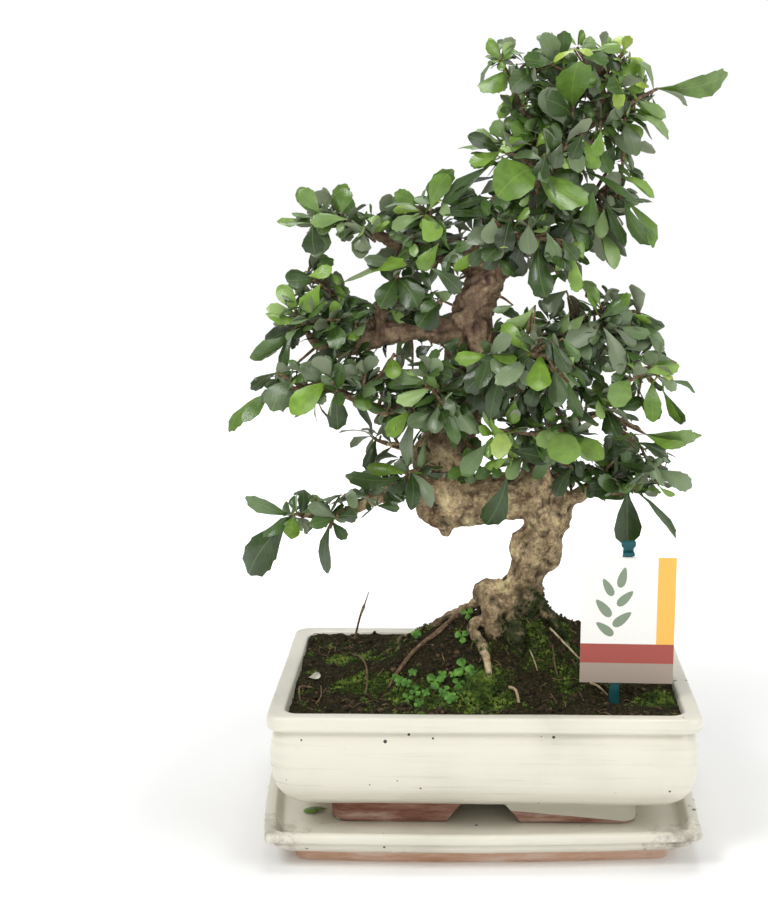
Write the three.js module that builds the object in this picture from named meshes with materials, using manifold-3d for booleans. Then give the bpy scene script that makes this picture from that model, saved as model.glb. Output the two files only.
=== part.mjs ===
// A fukien tea bonsai in its glazed pot, standing on a matching saucer.
// Millimetres, +Z up, +Y away from the front. The origin is the centre of the saucer's flat underside.

import * as THREE from 'three';
import { mergeVertices } from 'three/addons/utils/BufferGeometryUtils.js';
import Module from 'manifold-3d';

const wasm = await Module();
wasm.setup();

// Driving dimensions.

const GAP = 0.35;             // clearance between neighbouring pieces

const SAUCER_WIDTH = 303;
const SAUCER_DEPTH = 222;
const SAUCER_BOW = 5;         // how far the middle of each side bulges past its corners
const SAUCER_TURN = 0.033;    // the saucer sits a little askew under the pot, in radians
const SAUCER_FLOOR = 18;
const SAUCER_RIM = 27;

const POT_WIDTH = 300;
const POT_DEPTH = 215;
const POT_HEIGHT = 90;
const POT_RIGHT = 4;          // where the pot stands on the saucer
const POT_BACK = 3;
const POT_FLOOR = 28;
const POT_PLINTH = 18;
const FOOT_HALF_WIDTH = 109;
const FOOT_HALF_DEPTH = 73;
const FOOT_THICK = 15;
const FOOT_GAP = 15;          // half the cut-out between two feet, at its top
const DRAIN_RADIUS = 7;
const DRAIN_X = 62;
const MESH_HALF = 13;
const MESH_THICK = 1;

const SOIL_LEVEL = 85;
const SOIL_MOUND = 61;

const CARD_WIDTH = 65;
const CARD_HEIGHT = 91;
const CARD_THICK = 1;
const STAKE_WIDTH = 7;

const BLADE_THICK = 0.8;
const TWIG_RADIUS = 1.8;
const STALK_RADIUS = 1.1;
const SIGHT = new THREE.Vector3(-8, -1183, 480);

// Small tools.

let seed = 20731;

/** Seeded random number from 0 to 1. */
function random() {
  seed = (seed * 16807) % 2147483647;
  return seed / 2147483647;
}

function vec(x, y, z) {
  return new THREE.Vector3(x, y, z);
}

/** The point at width x and height z of the front view, at depth y along the line of sight. */
function at(x, z, y = 0) {
  const k = (SIGHT.y - y) / SIGHT.y;
  return vec(SIGHT.x + (x - SIGHT.x) * k, y, SIGHT.z + (z - SIGHT.z) * k);
}

function toSolid(geometry) {
  const plain = geometry.index ? geometry.clone() : geometry;
  for (const name of Object.keys(plain.attributes)) {
    if (name !== 'position') plain.deleteAttribute(name);
  }
  const merged = mergeVertices(plain, 1e-4);
  return new wasm.Manifold(new wasm.Mesh({
    numProp: 3,
    vertProperties: new Float32Array(merged.attributes.position.array),
    triVerts: new Uint32Array(merged.index.array),
  }));
}

function toGeometry(solid) {
  const mesh = solid.getMesh();
  const geometry = new THREE.BufferGeometry();
  geometry.setAttribute('position', new THREE.BufferAttribute(mesh.vertProperties, 3));
  geometry.setIndex(new THREE.BufferAttribute(mesh.triVerts, 1));
  geometry.computeVertexNormals();
  return geometry;
}

/** The largest connected piece of a solid: loose scraps of a cut are dropped. */
function largest(solid) {
  const pieces = solid.decompose();
  pieces.sort((a, b) => b.volume() - a.volume());
  return pieces[0];
}

/** Closed surface over a stack of rings with equal counts, capped at both ends. */
function loft(rings) {
  const count = rings[0].length;
  const points = rings.flat();
  const index = [];
  for (let k = 0; k + 1 < rings.length; k++) {
    for (let i = 0; i < count; i++) {
      const j = (i + 1) % count;
      const a = k * count + i;
      const b = k * count + j;
      index.push(a, b, b + count, a, b + count, a + count);
    }
  }
  const last = (rings.length - 1) * count;
  for (let i = 1; i + 1 < count; i++) {
    index.push(0, i + 1, i);
    index.push(last, last + i, last + i + 1);
  }
  const geometry = new THREE.BufferGeometry();
  geometry.setAttribute('position', new THREE.Float32BufferAttribute(points.flatMap((p) => p.toArray()), 3));
  geometry.setIndex(index);
  return toSolid(geometry);
}

/** Rounded rectangle ring at height z; each side bulges by `bow` in its middle. */
function roundedRing(width, depth, radius, z, bow = 0, steps = 3) {
  const ring = [];
  const corners = [[1, 1, 0], [-1, 1, 1], [-1, -1, 2], [1, -1, 3]];
  for (const [sx, sy, quarter] of corners) {
    const cx = sx * (width / 2 - radius);
    const cy = sy * (depth / 2 - radius);
    for (let i = 0; i <= steps; i++) {
      const angle = (quarter + i / steps) * Math.PI / 2;
      ring.push(vec(cx + radius * Math.cos(angle), cy + radius * Math.sin(angle), z));
    }
    if (bow > 0) {
      for (const t of [0.45, -0.45]) {
        const lift = bow * (1 - 0.5 * t * t);
        ring.push(quarter % 2 === 0
          ? vec(t * sx * (width / 2 - radius), sy * (depth / 2 + lift), z)
          : vec(sx * (width / 2 + lift), t * sy * (depth / 2 - radius), z));
      }
    }
  }
  return ring;
}

/** A stack of rounded rectangles: each row is [inset, height, corner radius]. */
function roundedStack(width, depth, rows, bow = 0, steps = 3) {
  return loft(rows.map(([inset, z, radius]) => (
    roundedRing(width - 2 * inset, depth - 2 * inset, radius, z, bow, steps))));
}

function box(x0, x1, y0, y1, z0, z1) {
  const geometry = new THREE.BoxGeometry(x1 - x0, y1 - y0, z1 - z0);
  geometry.translate((x0 + x1) / 2, (y0 + y1) / 2, (z0 + z1) / 2);
  return toSolid(geometry);
}

function upright(radius, height, x, y, z, sides = 16) {
  const geometry = new THREE.CylinderGeometry(radius, radius, height, sides);
  geometry.rotateX(Math.PI / 2);
  geometry.translate(x, y, z + height / 2);
  return toSolid(geometry);
}

/** An outline in X and Z drawn through the whole depth, or turned to run along X. */
function prism(outline, length, turned = false) {
  const shape = new THREE.Shape(outline.map(([x, z]) => new THREE.Vector2(x, z)));
  const geometry = new THREE.ExtrudeGeometry(shape, { depth: length, bevelEnabled: false });
  geometry.rotateX(Math.PI / 2);
  geometry.translate(0, length / 2, 0);
  if (turned) geometry.rotateZ(Math.PI / 2);
  return toSolid(geometry);
}

/**
 * A tapering limb through points [position, radius]. Its rings are carried along the curve
 * without twist, and `lumps` roughens them. `grow` makes the limb fatter all round, and `lead`
 * is the direction in which its first ring faces, where that isn't its own.
 */
function limb(stops, { sides = 6, steps = 2, lumps = 0, grow = 0, lead = null } = {}) {
  const curve = new THREE.CatmullRomCurve3(stops.map((s) => s[0]), false, 'centripetal');
  const count = (stops.length - 1) * steps;
  const rings = [];
  let side = null;
  let tangent = null;
  for (let k = 0; k <= count; k++) {
    const t = k / count;
    const next = k === 0 && lead !== null ? lead.clone() : curve.getTangent(t);
    if (side === null) {
      side = Math.abs(next.z) < 0.9 ? vec(0, 0, 1) : vec(1, 0, 0);
    } else {
      side.applyQuaternion(new THREE.Quaternion().setFromUnitVectors(tangent, next));
    }
    side.addScaledVector(next, -side.dot(next)).normalize();
    tangent = next;
    const across = vec(0, 0, 0).crossVectors(tangent, side);
    const place = Math.min(stops.length - 2, Math.floor(t * (stops.length - 1)));
    const local = t * (stops.length - 1) - place;
    const radius = stops[place][1] * (1 - local) + stops[place + 1][1] * local;
    const centre = curve.getPoint(t);
    if (k === 0 || k === count) centre.addScaledVector(tangent, k === 0 ? -grow : grow);
    const ring = [];
    for (let i = 0; i < sides; i++) {
      const angle = 2 * Math.PI * i / sides;
      const wave = 0.6 * Math.sin(3 * angle + 1.7 * k) + 0.5 * Math.sin(2 * angle - 0.9 * k + radius);
      const r = radius * (1 + lumps * wave) + grow;
      ring.push(centre.clone().addScaledVector(side, r * Math.cos(angle))
        .addScaledVector(across, r * Math.sin(angle)));
    }
    rings.push(ring);
  }
  return loft(rings);
}

function lump(centre, radius, squash, grow) {
  const geometry = new THREE.IcosahedronGeometry(1, 0);
  geometry.scale(radius * squash[0] + grow, radius * squash[1] + grow, radius * squash[2] + grow);
  geometry.translate(centre.x, centre.y, centre.z);
  return toSolid(geometry);
}

// Saucer.

function makeSaucer() {
  const foot = roundedStack(SAUCER_WIDTH, SAUCER_DEPTH, [[21, 0, 9], [20, 1, 10], [20, 10.5, 10]],
    SAUCER_BOW, 2);
  const body = roundedStack(SAUCER_WIDTH, SAUCER_DEPTH, [
    [13, 9.5, 9], [11, 11, 9], [3, 19, 7], [0, 21.5, 5], [0, 25.5, 5], [1.5, SAUCER_RIM, 5]],
  SAUCER_BOW, 2);
  const well = roundedStack(SAUCER_WIDTH, SAUCER_DEPTH, [
    [13.5, SAUCER_FLOOR, 5], [11.5, SAUCER_FLOOR + 2, 6], [8.5, SAUCER_RIM + 1, 6]], SAUCER_BOW, 2);
  return foot.add(body).subtract(well);
}

// Pot, soil and drain mesh.

const POT_OUTSIDE = [
  [31, POT_PLINTH, 11], [20, 20.5, 12], [11, 26, 13], [5, 35, 14], [2.2, 46, 14],
  [1.5, 60, 14], [2.4, 70, 14], [4.4, 76.5, 13], [4.4, 78, 13], [0, 80, 11],
  [0, 87.8, 11], [1, 89.6, 11], [3, POT_HEIGHT, 9]];
const POT_INSIDE = [
  [28, POT_FLOOR, 10], [17, 34, 12], [12.8, 47, 13], [12.5, 62, 12], [13.5, 76, 11],
  [11.5, POT_HEIGHT + 2, 12]];

function makePot() {
  const outside = roundedStack(POT_WIDTH, POT_DEPTH, POT_OUTSIDE);
  const inside = roundedStack(POT_WIDTH, POT_DEPTH, POT_INSIDE);
  const plinthOutside = roundedStack(2 * FOOT_HALF_WIDTH, 2 * FOOT_HALF_DEPTH,
    [[1.2, GAP, 11], [0, 2, 12], [0, POT_PLINTH + 1.5, 12]]);
  const plinthInside = roundedStack(2 * FOOT_HALF_WIDTH, 2 * FOOT_HALF_DEPTH,
    [[FOOT_THICK, -1, 3], [FOOT_THICK, POT_PLINTH, 3]], 0, 1);
  const cut = [[-FOOT_GAP - 12, -1], [FOOT_GAP + 12, -1], [FOOT_GAP, POT_PLINTH - 3],
    [-FOOT_GAP, POT_PLINTH - 3]];
  let pot = outside.add(plinthOutside.subtract(plinthInside)).subtract(inside);
  pot = pot.subtract(prism(cut, POT_DEPTH)).subtract(prism(cut, POT_WIDTH, true));
  for (const sx of [-1, 1]) {
    pot = pot.subtract(upright(DRAIN_RADIUS, 30, sx * DRAIN_X, 0, POT_PLINTH - 8, 12));
  }
  return pot;
}

function makeDrainMesh(x) {
  let mesh = box(x - MESH_HALF, x + MESH_HALF, -MESH_HALF, MESH_HALF, POT_FLOOR + GAP,
    POT_FLOOR + GAP + MESH_THICK);
  for (const i of [-1, 1]) {
    for (const j of [-1, 1]) {
      const cx = x + i * 5;
      const cy = j * 5;
      mesh = mesh.subtract(box(cx - 3.4, cx + 3.4, cy - 3.4, cy + 3.4, POT_FLOOR - 1, POT_FLOOR + 3));
    }
  }
  return mesh;
}

/** Height of the soil above the saucer's floor: a mound round the trunk, clods, and a rise at the back. */
function soilHeight(x, y) {
  const away = Math.hypot(x - 22, 1.6 * (y - 12)) / 135;
  const mound = SOIL_MOUND * Math.max(0, 1 - away) ** 1.2;
  const clods = 1.3 * Math.sin(0.11 * x + 0.7) * Math.sin(0.13 * y + 0.4)
    + 0.9 * Math.sin(0.31 * x + 0.19 * y) * Math.sin(0.27 * y - 0.12 * x);
  const hollow = 4.5 * Math.exp(-(((x + 118) / 28) ** 2 + ((y + 62) / 40) ** 2));
  const rise = 3.2 * Math.min(1, Math.max(0, (y - 15) / 60));
  return SOIL_LEVEL + mound + clods + rise - hollow;
}

/** Where the line of sight through x and z of the front view meets the soil. */
function ground(x, z, lift = 0) {
  let best = at(x, z, 0);
  let least = Infinity;
  for (let y = -94; y < 48; y += 1) {
    const point = at(x, z, y);
    const above = point.z - soilHeight(point.x, point.y);
    if (above < least) {
      least = above;
      best = point;
    }
    if (above <= 0) break;
  }
  best.z = soilHeight(best.x, best.y) + lift;
  return best;
}

function makeSoil(woodRoom, meshRoom) {
  const inside = roundedStack(POT_WIDTH, POT_DEPTH, POT_INSIDE.map(([inset, z, radius], i) => (
    [inset + GAP, z + (i === 0 ? GAP : 0) + (i === POT_INSIDE.length - 1 ? 60 : 0), radius])));
  const columns = 8;
  const rows = 6;
  const geometry = new THREE.BoxGeometry(POT_WIDTH, POT_DEPTH, 20, columns, rows, 1);
  const position = geometry.attributes.position;
  for (let i = 0; i < position.count; i++) {
    const x = position.getX(i);
    const y = position.getY(i);
    position.setZ(i, position.getZ(i) > 0 ? soilHeight(x, y) : POT_FLOOR - 2);
  }
  return largest(inside.intersect(toSolid(geometry)).subtract(woodRoom).subtract(meshRoom));
}

// Trunk, roots and branches.

// Each limb runs through rows of [x, z, y, radius] of the front view.
const TRUNK = [
  { lumps: 0.08, sides: 8, stops: [[24, 88, 10, 21], [26, 112, 10, 22], [28, 136, 9, 16.5],
    [30, 152, 8, 15.5], [33, 167, 7, 14.6], [37, 176, 7, 18], [41, 186, 6, 19], [46, 198, 5, 15.5],
    [47, 210, 4, 19], [43, 224, 3, 18], [39, 234, 3, 12]] },
  { lumps: 0.08, sides: 7, stops: [[60, 212, 5, 11], [44, 219, 4, 17], [24, 224, 3, 17.5],
    [4, 221, 2, 18.5], [-16, 217, 0, 18], [-33, 219, -1, 15], [-47, 224, -3, 9]] },
  { lumps: 0.07, sides: 7, stops: [[-24, 214, 0, 13], [-31, 226, 0, 17], [-33, 243, 0, 18.5],
    [-27, 262, 0, 17.5], [-17, 284, 0, 16.5], [-10, 306, 1, 17], [-8, 332, 2, 18], [-8, 354, 2, 16.5],
    [0, 374, 2, 14], [12, 393, 2, 11], [26, 407, 2, 9.4], [38, 420, 2, 8], [46, 436, 1, 6.5],
    [51, 455, 0, 5.5], [61, 475, 0, 4.8], [74, 490, 0, 4.2], [84, 505, 0, 3.2], [82, 516, 0, 2]] },
  // the old knuckle at the foot, and the sawn stump on the shoulder
  { lumps: 0.1, sides: 6, stops: [[24, 142, 6, 13], [12, 150, 4, 11.5], [2, 150, 3, 10.5],
    [-6, 150, 2, 6]] },
  { lumps: 0.1, sides: 6, stops: [[8, 152, 0, 8], [7, 136, -8, 7.5], [9, 118, -12, 6.5],
    [12, 102, -14, 5]] },
  { lumps: 0.12, sides: 6, stops: [[40, 222, -2, 12], [39, 238, -4, 11.5], [37, 247, -5, 9]] },
  { lumps: 0.1, sides: 5, stops: [[-30, 210, -1, 9], [-27, 200, -2, 7], [-27, 192, -2, 3]] },
  { lumps: 0.1, sides: 5, stops: [[38, 178, 3, 10], [50, 177, 2, 9], [57, 176, 2, 5]] },
];
const LUMPS = [[4, 381, -8, 9, [1, 0.7, 1]], [-28, 213, -1, 14, [1.4, 1, 1]]];
const LIMBS = [
  // low left
  [[-38, 230, -4, 8], [-60, 229, -8, 6], [-76, 222, -12, 5], [-95, 213, -16, 4.2],
    [-108, 208, -18, 3.4], [-131, 208, -20, 2]],
  // thick middle left, its rising fork, its stub and the arm behind it
  [[-12, 338, 0, 12], [-36, 345, -4, 9.5], [-58, 344, -7, 8], [-84, 336, -8, 7], [-101, 330, -8, 5],
    [-118, 334, -8, 4], [-127.5, 346, -8, 2.2]],
  [[-80, 338, -8, 4.5], [-88, 350, -4, 3.6], [-96, 362, 2, 3], [-112, 376, 11, 1.9]],
  [[-74, 343, -8, 5.5], [-72, 360, -8, 4.4]],
  [[-58, 344, -4, 5.5], [-78, 350, 20, 3.6], [-104, 346, 46, 1.9]],
  // lower middle left
  [[-24, 270, 0, 7], [-45, 287, -12, 5], [-70, 286, -20, 4.2], [-86, 292, -26, 3.6],
    [-110, 302, -31, 2.8], [-128, 301, -34, 1.9]],
  // upper left
  [[4, 392, 2, 8], [-14, 402, 4, 6.5], [-36, 405, 8, 5.4], [-62, 408, 12, 4.4], [-80, 415, 16, 3.6],
    [-106, 425, 22, 1.9]],
  // low right, a twig of it, and the shelf above
  [[54, 212, 4, 8], [68, 221, 4, 6], [80, 228, 5, 4.6], [101, 223, 7, 2.2]],
  [[76, 227, 5, 3.4], [88, 236, 10, 2.8], [112, 240, 16, 2.2], [128, 236, 20, 1.9]],
  [[40, 234, 0, 7], [50, 258, -8, 5], [60, 276, -14, 3.6], [74, 281, -12, 2.8], [88, 284, -10, 1.9]],
  // middle right
  [[-2, 322, 3, 9], [24, 330, 8, 7], [52, 338, 8, 5.4], [76, 345, 5, 4], [99, 353, 2, 2]],
  [[68, 343, 6, 3.4], [90, 330, 0, 2.8], [115, 315, -8, 1.9]],
  [[50, 337, 10, 4], [68, 338, 30, 2.8], [84, 336, 44, 1.9]],
  // towards the front
  [[-12, 300, -8, 6], [-26, 304, -22, 4.2], [-35, 303, -33, 2.2]],
  [[-2, 324, -10, 6.5], [18, 328, -26, 4.6], [37, 327, -43, 2.2]],
  [[8, 388, -4, 6], [20, 400, -18, 4.4], [28, 407, -25, 2.4]],
  [[44, 430, -2, 4.5], [40, 446, -18, 3.4], [37, 453, -25, 2.2]],
  // crown shoots
  [[48, 446, 0, 4], [38, 470, -6, 3.4], [27, 498, -10, 2.8], [20, 519, -12, 1.9]],
  [[66, 482, 0, 3.6], [84, 492, -4, 2.8], [96, 498, -6, 2]],
  [[60, 470, 0, 4], [56, 492, 8, 3], [53, 508, 12, 1.9]],
  [[34, 416, 2, 5], [60, 428, 2, 3.8], [77, 437, 0, 2]],
  // towards the back
  [[-8, 328, 10, 7], [-22, 338, 34, 4.6], [-44, 342, 66, 2]],
  [[-4, 316, 10, 6.5], [22, 312, 34, 4.4], [48, 312, 62, 2]],
  [[-30, 244, 8, 6.5], [-48, 256, 30, 4.2], [-70, 262, 54, 2]],
  [[24, 224, 10, 7], [34, 240, 32, 4.4], [50, 250, 56, 2]],
  [[2, 378, 8, 6], [-20, 392, 30, 3.8], [-44, 398, 54, 2]],
  [[18, 398, 8, 5.5], [40, 406, 30, 3.6], [60, 407, 50, 2]],
  [[46, 438, 4, 4], [34, 465, 34, 2]],
  [[66, 482, 4, 3.4], [80, 492, 26, 2]],
];
// Roots leave the trunk at the first [x, z, y, radius] and then follow the soil: [x, z, radius].
const ROOTS = [
  { from: [4, 148, 4, 6], along: [[-8, 144, 3.4], [-34, 130, 2.6], [-59, 109, 2.3], [-66, 90, 1.8]] },
  { from: [6, 144, 8, 5], along: [[-9, 143, 2.8], [-40, 130, 2.2], [-63, 115, 1.8]] },
  { from: [12, 132, -2, 6], along: [[-9, 119, 4.2], [-1, 108, 3.6], [6, 87, 2.8]] },
  { from: [40, 140, 4, 8], along: [[46, 131, 4.4], [60, 116, 2.8], [70, 101, 2]] },
  { from: [22, 128, 4, 9], along: [[24, 112, 6], [27, 102, 3.6]] },
];
const BACK_ROOTS = [
  [[34, 126, 26, 9], [52, 112, 46, 5.6], [66, 88, 62, 3]],
  [[14, 126, 28, 8], [-2, 108, 48, 4.8], [-16, 84, 62, 3]],
];

function stopsOf(rows) {
  return rows.map(([x, z, y, radius]) => [at(x, z, y), radius]);
}

/** The whole woody plant; with `grow` it is the room that its neighbours leave for it. */
function makeWood(grow) {
  const parts = [];
  for (const { stops, lumps, sides } of TRUNK) {
    parts.push(limb(stopsOf(stops), { sides, steps: 1, lumps, grow }));
  }
  for (const [x, z, y, radius, squash] of LUMPS) parts.push(lump(at(x, z, y), radius, squash, grow));
  for (const rows of LIMBS) {
    parts.push(limb(stopsOf(rows), { sides: rows[0][3] > 7.5 ? 5 : 4, steps: 1, lumps: 0.05, grow }));
  }
  for (const rows of BACK_ROOTS) parts.push(limb(stopsOf(rows), { sides: 4, steps: 1, grow }));
  for (const { from, along } of ROOTS) {
    const stops = along.map(([x, z, radius], i) => (
      [ground(x, z, i === along.length - 1 ? -7 : radius * 0.8), radius]));
    parts.push(limb([...stopsOf([from]), ...stops], { sides: 4, steps: 1, lumps: 0.04, grow }));
  }
  return wasm.Manifold.union(parts);
}

// Leaves.

// The blade's width along its length: a narrow foot, a broad shoulder, in many leaves with a tooth
// on each side, and the middle lobe.
const PLAIN = [[0.42, 0.9], [0.8, 0.86]];
const ENTIRE = [[0.36, 0.72], [0.66, 1], [0.9, 0.62]];
const TOOTHED = [[0.4, 0.74], [0.74, 1], [0.79, 0.7]];
const SCALLOPED = [[0.3, 0.54], [0.58, 1], [0.62, 0.84], [0.84, 0.8], [0.87, 0.5]];

/**
 * A leaf's blade in its outline, arched along its length. It starts in a point at its foot or, with
 * a flat stalk, in that stalk.
 */
function makeBlade(leaf, grow = 0) {
  const { foot, flat, base, tip, width, normal, arch, outline } = leaf;
  const length = base.distanceTo(tip);
  const axis = tip.clone().sub(base).normalize();
  const across = vec(0, 0, 0).crossVectors(axis, normal).normalize();
  const rows = outline.map(([s, w]) => [
    base.clone().addScaledVector(axis, s * length)
      .addScaledVector(normal, 4 * arch * length * s * (1 - s)), w * width / 2]);
  if (flat) rows.unshift([foot, 0.8], [base, 0.8]);
  const points = flat ? [] : [foot.clone().addScaledVector(axis, -grow)];
  for (const [place, half] of rows) {
    for (const sign of [-1, 1]) {
      points.push(place.clone().addScaledVector(across, sign * (half + grow)));
    }
  }
  points.push(tip.clone().addScaledVector(axis, grow));
  const count = points.length;
  const index = [];
  const face = (a, b, c) => index.push(a, b, c, a + count, c + count, b + count);
  const wall = (a, b) => index.push(a, a + count, b + count, a, b + count, b);
  if (flat) {
    wall(0, 1);
  } else {
    face(0, 2, 1);
    wall(0, 2);
    wall(1, 0);
  }
  for (let a = flat ? 0 : 1; a + 3 < count; a += 2) {
    face(a, a + 1, a + 3);
    face(a, a + 3, a + 2);
    wall(a + 1, a + 3);
    wall(a + 2, a);
  }
  face(count - 3, count - 2, count - 1);
  wall(count - 2, count - 1);
  wall(count - 1, count - 3);
  const lift = normal.clone().multiplyScalar(BLADE_THICK / 2 + grow);
  const all = points.map((p) => p.clone().add(lift)).concat(points.map((p) => p.clone().sub(lift)));
  const geometry = new THREE.BufferGeometry();
  geometry.setAttribute('position', new THREE.Float32BufferAttribute(all.flatMap((p) => p.toArray()), 3));
  geometry.setIndex(index);
  return toSolid(geometry);
}

/** A leaf with its stalk: drawn out of the blade where it runs the blade's way, else a limb. */
function makeLeaf(leaf, grow = 0) {
  const stalk = leaf.base.clone().sub(leaf.root);
  const span = stalk.length();
  const along = stalk.dot(leaf.tip.clone().sub(leaf.base).normalize());
  if (span < 3 || (span < 7 && along > 0.4 * span)) {
    return [makeBlade({ ...leaf, foot: leaf.root }, grow)];
  }
  if (along > 0.65 * span) {
    return [makeBlade({ ...leaf, foot: leaf.root, flat: true }, grow)];
  }
  return [makeBlade({ ...leaf, foot: leaf.base }, grow),
    limb([[leaf.root, STALK_RADIUS], [leaf.base, STALK_RADIUS]], { sides: 3, steps: 1, grow })];
}

/** Turns a direction about an axis by an angle. */
function turn(direction, axis, angle) {
  return direction.clone().applyAxisAngle(axis, angle);
}

/** The blade's corner points, used to keep leaves from crossing each other. */
function bladeSketch(leaf) {
  const { base, tip, width, normal, arch } = leaf;
  const length = base.distanceTo(tip);
  const axis = tip.clone().sub(base).normalize();
  const across = vec(0, 0, 0).crossVectors(axis, normal).normalize();
  const corners = [base.clone()];
  for (const [s, w] of [[0.4, 0.7], [0.8, 1]]) {
    for (const sign of [-1, 1]) {
      corners.push(base.clone().addScaledVector(axis, s * length)
        .addScaledVector(normal, 4 * arch * length * s * (1 - s))
        .addScaledVector(across, sign * (w * width / 2 + 0.6)));
    }
  }
  corners.push(tip.clone().addScaledVector(axis, 0.6), leaf.root.clone());
  return { corners, centre: base.clone().lerp(tip, 0.55), reach: 0.62 * length + 1 };
}

const SKETCH_FACES = [[0, 1, 2], [1, 2, 4], [1, 4, 3], [3, 4, 5]];
const SKETCH_EDGES = [[0, 1], [0, 2], [1, 3], [2, 4], [3, 5], [4, 5], [0, 5], [6, 0]];

function segmentHits(p, q, a, b, c) {
  const u = b.clone().sub(a);
  const v = c.clone().sub(a);
  const normal = vec(0, 0, 0).crossVectors(u, v);
  const dp = p.clone().sub(a).dot(normal);
  const dq = q.clone().sub(a).dot(normal);
  if (dp * dq > 0 || Math.abs(dp - dq) < 1e-9) return false;
  const hit = p.clone().lerp(q, dp / (dp - dq)).sub(a);
  const uu = u.dot(u);
  const uv = u.dot(v);
  const vv = v.dot(v);
  const hu = hit.dot(u);
  const hv = hit.dot(v);
  const det = uu * vv - uv * uv;
  const s = (vv * hu - uv * hv) / det;
  const t = (uu * hv - uv * hu) / det;
  return s >= 0 && t >= 0 && s + t <= 1;
}

function cross(one, two) {
  if (one.centre.distanceTo(two.centre) > one.reach + two.reach) return false;
  for (const [first, second] of [[one, two], [two, one]]) {
    for (const [i, j] of SKETCH_EDGES) {
      for (const [a, b, c] of SKETCH_FACES) {
        if (segmentHits(first.corners[i], first.corners[j],
          second.corners[a], second.corners[b], second.corners[c])) return true;
      }
    }
  }
  return false;
}

const WOOD_LINES = [...TRUNK.map((t) => t.stops), ...LIMBS].flatMap((rows) => {
  const stops = stopsOf(rows);
  return stops.slice(1).map((s, i) => [stops[i][0], s[0], Math.max(stops[i][1], s[1])]);
});

function inWood(sketch) {
  for (const point of sketch.corners.slice(1, 6)) {
    for (const [a, b, radius] of WOOD_LINES) {
      const line = b.clone().sub(a);
      const t = Math.min(1, Math.max(0, point.clone().sub(a).dot(line) / line.dot(line)));
      if (point.distanceTo(a.clone().addScaledVector(line, t)) < radius + 1) return true;
    }
  }
  return false;
}

/**
 * Where a leaf leaves its sprig's twigs: the nearest point, set back a little for each leaf, and
 * `clear` of the branch that the sprig grows from.
 */
function nearestOn(twigs, point, order, clear) {
  let best = null;
  let reach = Infinity;
  twigs.forEach((stops, twig) => {
    for (let i = 1; i < stops.length; i++) {
      const a = stops[i - 1];
      const line = stops[i].clone().sub(a);
      const least = Math.min(0.9, (twig === 0 && i === 1 ? clear : 2.2) / line.length());
      const t = Math.min(1, Math.max(least, point.clone().sub(a).dot(line) / line.dot(line)));
      const near = a.clone().addScaledVector(line, t);
      if (near.distanceTo(point) < reach) {
        reach = near.distanceTo(point);
        const back = (0.6 + 1.3 * (order % 4)) / line.length();
        best = a.clone().addScaledVector(line, Math.max(least, t - back));
      }
    }
  });
  return best;
}

// How far a leaf read from the front view leans away from that view, for its length seen.
const LEANS = [0.35, -0.3, 0.1, -0.5, 0.55, -0.15];

/**
 * A leaf read from the front view: foot and tip as [x, z], visible width, nearness and outline.
 * Its foot is as deep as the twig it grows from, and nearness brings its tip forward.
 */
function frontLeaf([bx, bz, tx, tz, width, layer, kind], plan, shift, order) {
  const seen = Math.hypot(tx - bx, tz - bz);
  const full = 1.75 * width;
  const lean = seen < full ? -Math.sqrt(full * full - seen * seen) : LEANS[order % 6] * seen;
  const root = nearestOn(plan.twigs, at(bx, bz, plan.sprig.y), order, plan.clear);
  const tip = at(tx, tz, root.y + lean - 7 * layer + shift);
  let base = at(bx, bz, root.y);
  const stalk = base.clone().sub(root);
  const along = stalk.dot(tip.clone().sub(base).normalize());
  if (stalk.length() < 11 && along < 0.5 * stalk.length()) base = root;
  const axis = tip.clone().sub(base).normalize();
  const across = Math.max(width, 0.36 * base.distanceTo(tip));
  const normal = vec(0, -1, 0.32);
  normal.addScaledVector(axis, -normal.dot(axis)).normalize();
  const roll = Math.acos(Math.min(1, width / across)) * (order % 2 === 0 ? 1 : -1);
  return {
    root, base, tip, width: across, normal: turn(normal, axis, roll),
    arch: 0.09, outline: kind === 't' ? SCALLOPED : [ENTIRE, TOOTHED, PLAIN][order % 3],
  };
}

/** A leaf placed by rule along the end of a twig. */
function ruleLeaf(twig, outward, index, count, size) {
  const end = twig[twig.length - 1];
  const back = twig[twig.length - 2].clone().sub(end);
  const step = Math.min(1.3, 0.8 * back.length() / count);
  const base = end.clone().addScaledVector(back.normalize(), 0.5 + step * index);
  const lengthwise = 1 - 1.45 * (index + 0.5) / count;
  const azimuth = 2.399963 * index + 0.9 * (random() - 0.5);
  const helper = Math.abs(outward.z) < 0.9 ? vec(0, 0, 1) : vec(1, 0, 0);
  const first = vec(0, 0, 0).crossVectors(outward, helper).normalize();
  const second = vec(0, 0, 0).crossVectors(outward, first);
  const radial = Math.sqrt(1 - lengthwise * lengthwise);
  const way = outward.clone().multiplyScalar(lengthwise)
    .addScaledVector(first, radial * Math.cos(azimuth))
    .addScaledVector(second, radial * Math.sin(azimuth));
  way.z -= 0.12;
  way.normalize();
  const length = size * (0.75 + 0.5 * random());
  const tip = base.clone().addScaledVector(way, length);
  const normal = vec(0.15 * (random() - 0.5), -0.25, 1);
  normal.addScaledVector(way, -normal.dot(way)).normalize();
  return {
    root: base, base, tip, width: length * (0.4 + 0.12 * random()),
    normal: turn(normal, way, 1.1 * (random() - 0.5)), arch: 0.1,
    outline: index % 3 === 0 ? TOOTHED : PLAIN,
  };
}

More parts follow.
